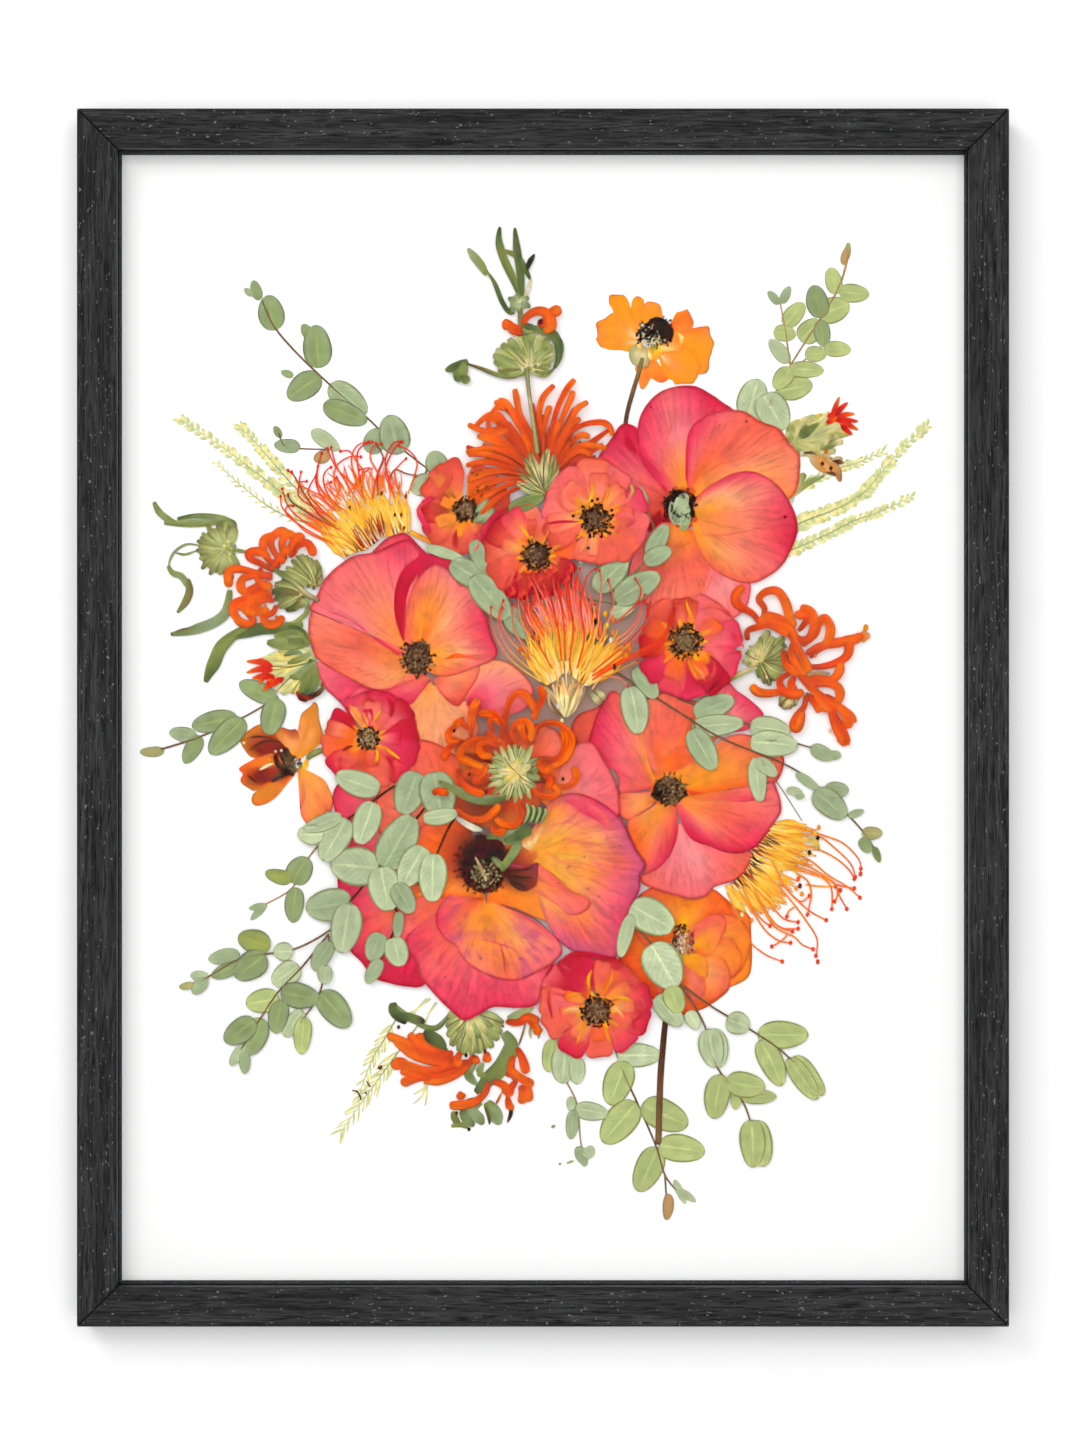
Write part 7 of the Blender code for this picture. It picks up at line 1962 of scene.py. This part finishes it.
petal(lily, (-131, -23),
      xz("-131,-9 -129.5,0 -128,3 -124,6 -122,8.5 -120,6 -119.5,0 -118,-6 -117,-11 -120,-15 -125,-19"),
      "gold salmon ochre|ochre apricot ochre|apricot ochre ochre|gold apricot ochre|gold ochre ochre"
      "|sunflower ochre ochre", 1.0)
petal(lily, (-131, -26),
      xz("-128,-34 -126.5,-42 -129.5,-49 -128,-54 -125,-57 -121,-54 -116,-52 -115.5,-49.5 -113,-50 -112,-44 -114,-38 "
         "-117,-33 -124,-29"),
      "gold ochre amber|gold salmon coral|ochre apricot amber|apricot amber coral|gold apricot amber|gold gold amber",
      1.1)
ribbon(lily, xz("-126,-22 -127,-26 -131,-28"), [1.5, 3.2, 1], "gold sunflower ochre", 1.5, arch=0.3)
for path in (xz("-132,-25 -138,-22 -140,-17"), xz("-132,-26 -140,-26 -143,-20"), xz("-133,-24 -136,-20 -137,-16"),
             xz("-134,-28 -140,-31 -145,-34")):
    ribbon(lily, path, [1.0, 3.6, 2.2], "umber soot oxblood|soot bark soot", 1.6, arch=0.4, look=1)
ribbon(lily, xz("-144,-24.5 -148,-26 -151,-28"), [0.6, 1.8, 0.6], "bone cream bone", 1.5, arch=0.2)
ribbon(lily, xz("-136,-29 -141,-32 -145,-33"), [1, 3.4, 2], "mauve bark plum", 1.6, arch=0.3)
stamens(lily, -133, -25, 9, 9, 1.9, 81, 60, ("bark", "olive", "soot"))
stamens(lily, -136, -29.5, 8, 4, 1.9, 82, 30, ("soot",))
for x, z, tint in ((-142.5, -18, "cream"), (-139.5, -17.5, "bone"), (-159.5, -13.5, "butter"),
                   (-146, -22.5, "sunflower")):
    speck(lily, x, z, 2.2, 0.9, tint)
crease(lily, xz("-158,-30 -155,-33 -152,-35"), "soot", 1.2, 0.9)
crease(lily, xz("-157,-18 -152,-14 -145,-12 -139,-14"), "umber", 0.9, 1.4)
crease(lily, xz("-157,-11 -152,-10 -144,-11"), "umber", 0.9, 1.2)
lily.lay([POPPY, STAMEN, STALK])

# %% Plumes
PLUME_TINTS = ("celery chartreuse celery|celery butter celery", "chartreuse celery butter|celery chartreuse celery",
               "celery butter chartreuse")


def plume(piece, path, wide, seed, gap=3.3, first=0.0, narrow=0.6, lean=0.8):
    """A stalk with pairs of small blunt bracts that lean towards its tip."""
    chance = random.Random(seed)
    length = length_of(path)
    tube(piece, path, [0.9, 0.7, 0.4], "lime chartreuse celery", 0.45, sides=5, look=2)
    count = int(length * (1 - first) / gap)
    for number in range(count):
        t = first + (1 - first) * (number + 0.5) / count
        at, side = bend(path, t), side_of(path, t)
        ahead = bend(path, min(t + 0.02, 1)) - bend(path, max(t - 0.02, 0))
        ahead.normalize()
        size = wide * chance.uniform(0.8, 1.2) * (1 - 0.35 * t)
        for hand in (-1, 1):
            root = at + ahead * hand * 0.25 * gap
            tip = root + side * hand * 0.62 * size + ahead * size * lean * chance.uniform(0.8, 1.2)
            middle = root.lerp(tip, 0.55) - ahead * 0.06 * size
            broad = narrow * size * chance.uniform(0.8, 1.2)
            ribbon(piece, [tuple(root), tuple(middle), tuple(tip)], [0.5, broad, 0.95 * broad, 0.45 * broad],
                   chance.choice(PLUME_TINTS), 0.1 + 0.15 * chance.random(), arch=0.3, cell=1.4, look=1)


plumes = Pressed("plume_left")
plume(plumes, xz("-118,103 -138,119 -165,140 -193,159"), 5.6, 91)
plume(plumes, xz("-120,110 -137,128 -150,143 -162,156"), 5.6, 92)
plume(plumes, xz("-116,101 -140,109 -160,123 -174,136"), 4.2, 93, 4.0, 0.2, 0.28)
plumes.lay([FLORET, FLORET, STALK])

plumes = Pressed("plume_right")
plume(plumes, xz("126,99 140,105 158,112 171,120 180,130 192,144 205,156"), 6.0, 94)
plume(plumes, xz("128,108 134,119 144,126 158,133 168,136 181,142"), 5.2, 95, 3.0, 0.3, 0.45, 1.0)
plume(plumes, xz("120,84 134,90 152,98 166,105 180,110 197,118"), 5.4, 96)
plumes.lay([FLORET, FLORET, STALK])

plumes = Pressed("plume_bottom")
plume(plumes, xz("-66,-163 -80,-182 -93,-200 -108,-221"), 8.0, 97, 3.6, 0.25, 0.2, 1.3)
plume(plumes, xz("-78,-160 -85,-172 -92,-184 -99,-204"), 6.0, 98, 3.6, 0.1, 0.24, 1.1)
for path in (xz("-62,-150 -68,-156 -73,-158"), xz("-57,-152 -61,-158 -63,-164"), xz("-62,-194 -64,-198 -69,-201"),
             xz("-63,-194 -64,-201 -69,-206"), xz("-62,-196 -62,-202 -63,-207"), xz("-60,-150 -66,-154 -70,-160")):
    ribbon(plumes, path, [1.4, 1.2, 0.5], "dew butter lime", 0.2, arch=0.3, look=1)
for path in (xz("-102,-199 -99,-199.5 -97,-204"), xz("-94,-194 -93,-196 -92,-197"), xz("-95,-199.5 -94,-201")):
    tube(plumes, path, [0.6, 0.9, 0.8], "moss umber soot", 0.8, sides=5, look=2)
plumes.bead(-87, -186.5, 1.0, 1.5, wash("umber")(0, 0), 0)
plumes.bead(-87.2, -186, 1.6, 1.1, wash("apricot")(0, 0), 0)
plumes.lay([FLORET, FLORET, STALK])


# %% [markdown]
# ## Wall, light and camera
#
# The frame hangs on a pale plaster wall. One broad soft light stands high on the left, so the
# rails throw a soft shadow down to the right, and an even white surrounding fills the rest. The
# wall lets light through from behind and can't be seen from there, so that the frame's back shows
# in the other views.

# %% Wall
WALL = 6.0            # metres across
WALL_GAP = 0.3 * MM   # from the back of the felt pads


def plaster_wall():
    look, tree, where = new_material("pale plaster")
    trowel = add(tree, "ShaderNodeTexNoise", {"Vector": where, "Scale": 1 / (40 * MM), "Detail": 5.0})
    shade = add(tree, "ShaderNodeMix", {
        "Factor": trowel, "A": "#f3f3f3", "B": "#f7f7f7"}, data_type="RGBA")
    surface(tree, shade, 0.95, trowel, 0.05, 0.2, Specular_IOR_Level=0.1)
    behind = add(tree, "ShaderNodeNewGeometry").outputs["Backfacing"]
    sides = add(tree, "ShaderNodeMixShader", {
        0: behind, 1: tree.nodes["Principled BSDF"], 2: add(tree, "ShaderNodeBsdfTransparent")})
    tree.links.new(sides.outputs[0], tree.nodes["Material Output"].inputs["Surface"])
    return look


bm = bmesh.new()
bmesh.ops.create_grid(bm, x_segments=1, y_segments=1, size=WALL / 2)
bmesh.ops.rotate(bm, verts=bm.verts, matrix=Matrix.Rotation(math.pi / 2, 3, "X"))
bmesh.ops.translate(bm, verts=bm.verts, vec=(0, WALL_GAP, MIDDLE_Z))
wall_mesh = bpy.data.meshes.new("wall")
bm.to_mesh(wall_mesh)
bm.free()
wall_mesh.materials.append(plaster_wall())
wall = bpy.data.objects.new("wall", wall_mesh)
bpy.context.scene.collection.objects.link(wall)
wall.visible_shadow = False
wall.visible_diffuse = False
print("wall faces", wall_mesh.polygons[0].normal[:])


# %% Light
AMBIENT = 0.42        # strength of the white light that comes from all around


def softbox(name, place, size, power):
    """A square area light that looks at the middle of the board."""
    lamp = bpy.data.lights.new(name, "AREA")
    lamp.shape = "SQUARE"
    lamp.size = size
    lamp.energy = power
    made = bpy.data.objects.new(name, lamp)
    bpy.context.scene.collection.objects.link(made)
    made.location = (place[0], place[1], place[2] + MIDDLE_Z)
    aim = Vector((0, 0, MIDDLE_Z)) - made.location
    made.rotation_euler = aim.to_track_quat("-Z", "Y").to_euler()
    made.visible_glossy = False      # no lamp shows in the pane, as through a polarizer


softbox("key", (-1.15, -2.5, 1.25), 0.9, 20)
softbox("fill", (0.1, -3.4, 0.2), 2.2, 80)
world = bpy.data.worlds.new("white room")
world.use_nodes = True
world.node_tree.nodes["Background"].inputs["Color"].default_value = (1, 1, 1, 1)
world.node_tree.nodes["Background"].inputs["Strength"].default_value = AMBIENT
bpy.context.scene.world = world
bpy.context.scene.view_settings.view_transform = "Standard"
print("light set")

# %% Camera
LENS = 90.0           # mm
SENSOR = 36.0         # mm tall
DISTANCE = 1.91       # metres from the front of the frame
BELOW = 3.4           # mm below the middle of the frame

lens = bpy.data.cameras.new("camera")
lens.lens = LENS
lens.sensor_width = SENSOR
lens.clip_start = 0.05
camera = bpy.data.objects.new("camera", lens)
bpy.context.scene.collection.objects.link(camera)
camera.location = (0, FRONT_Y - DISTANCE, MIDDLE_Z - BELOW * MM)
camera.rotation_euler = (math.pi / 2, 0, 0)
bpy.context.scene.camera = camera
print("camera", [round(v, 3) for v in camera.location])
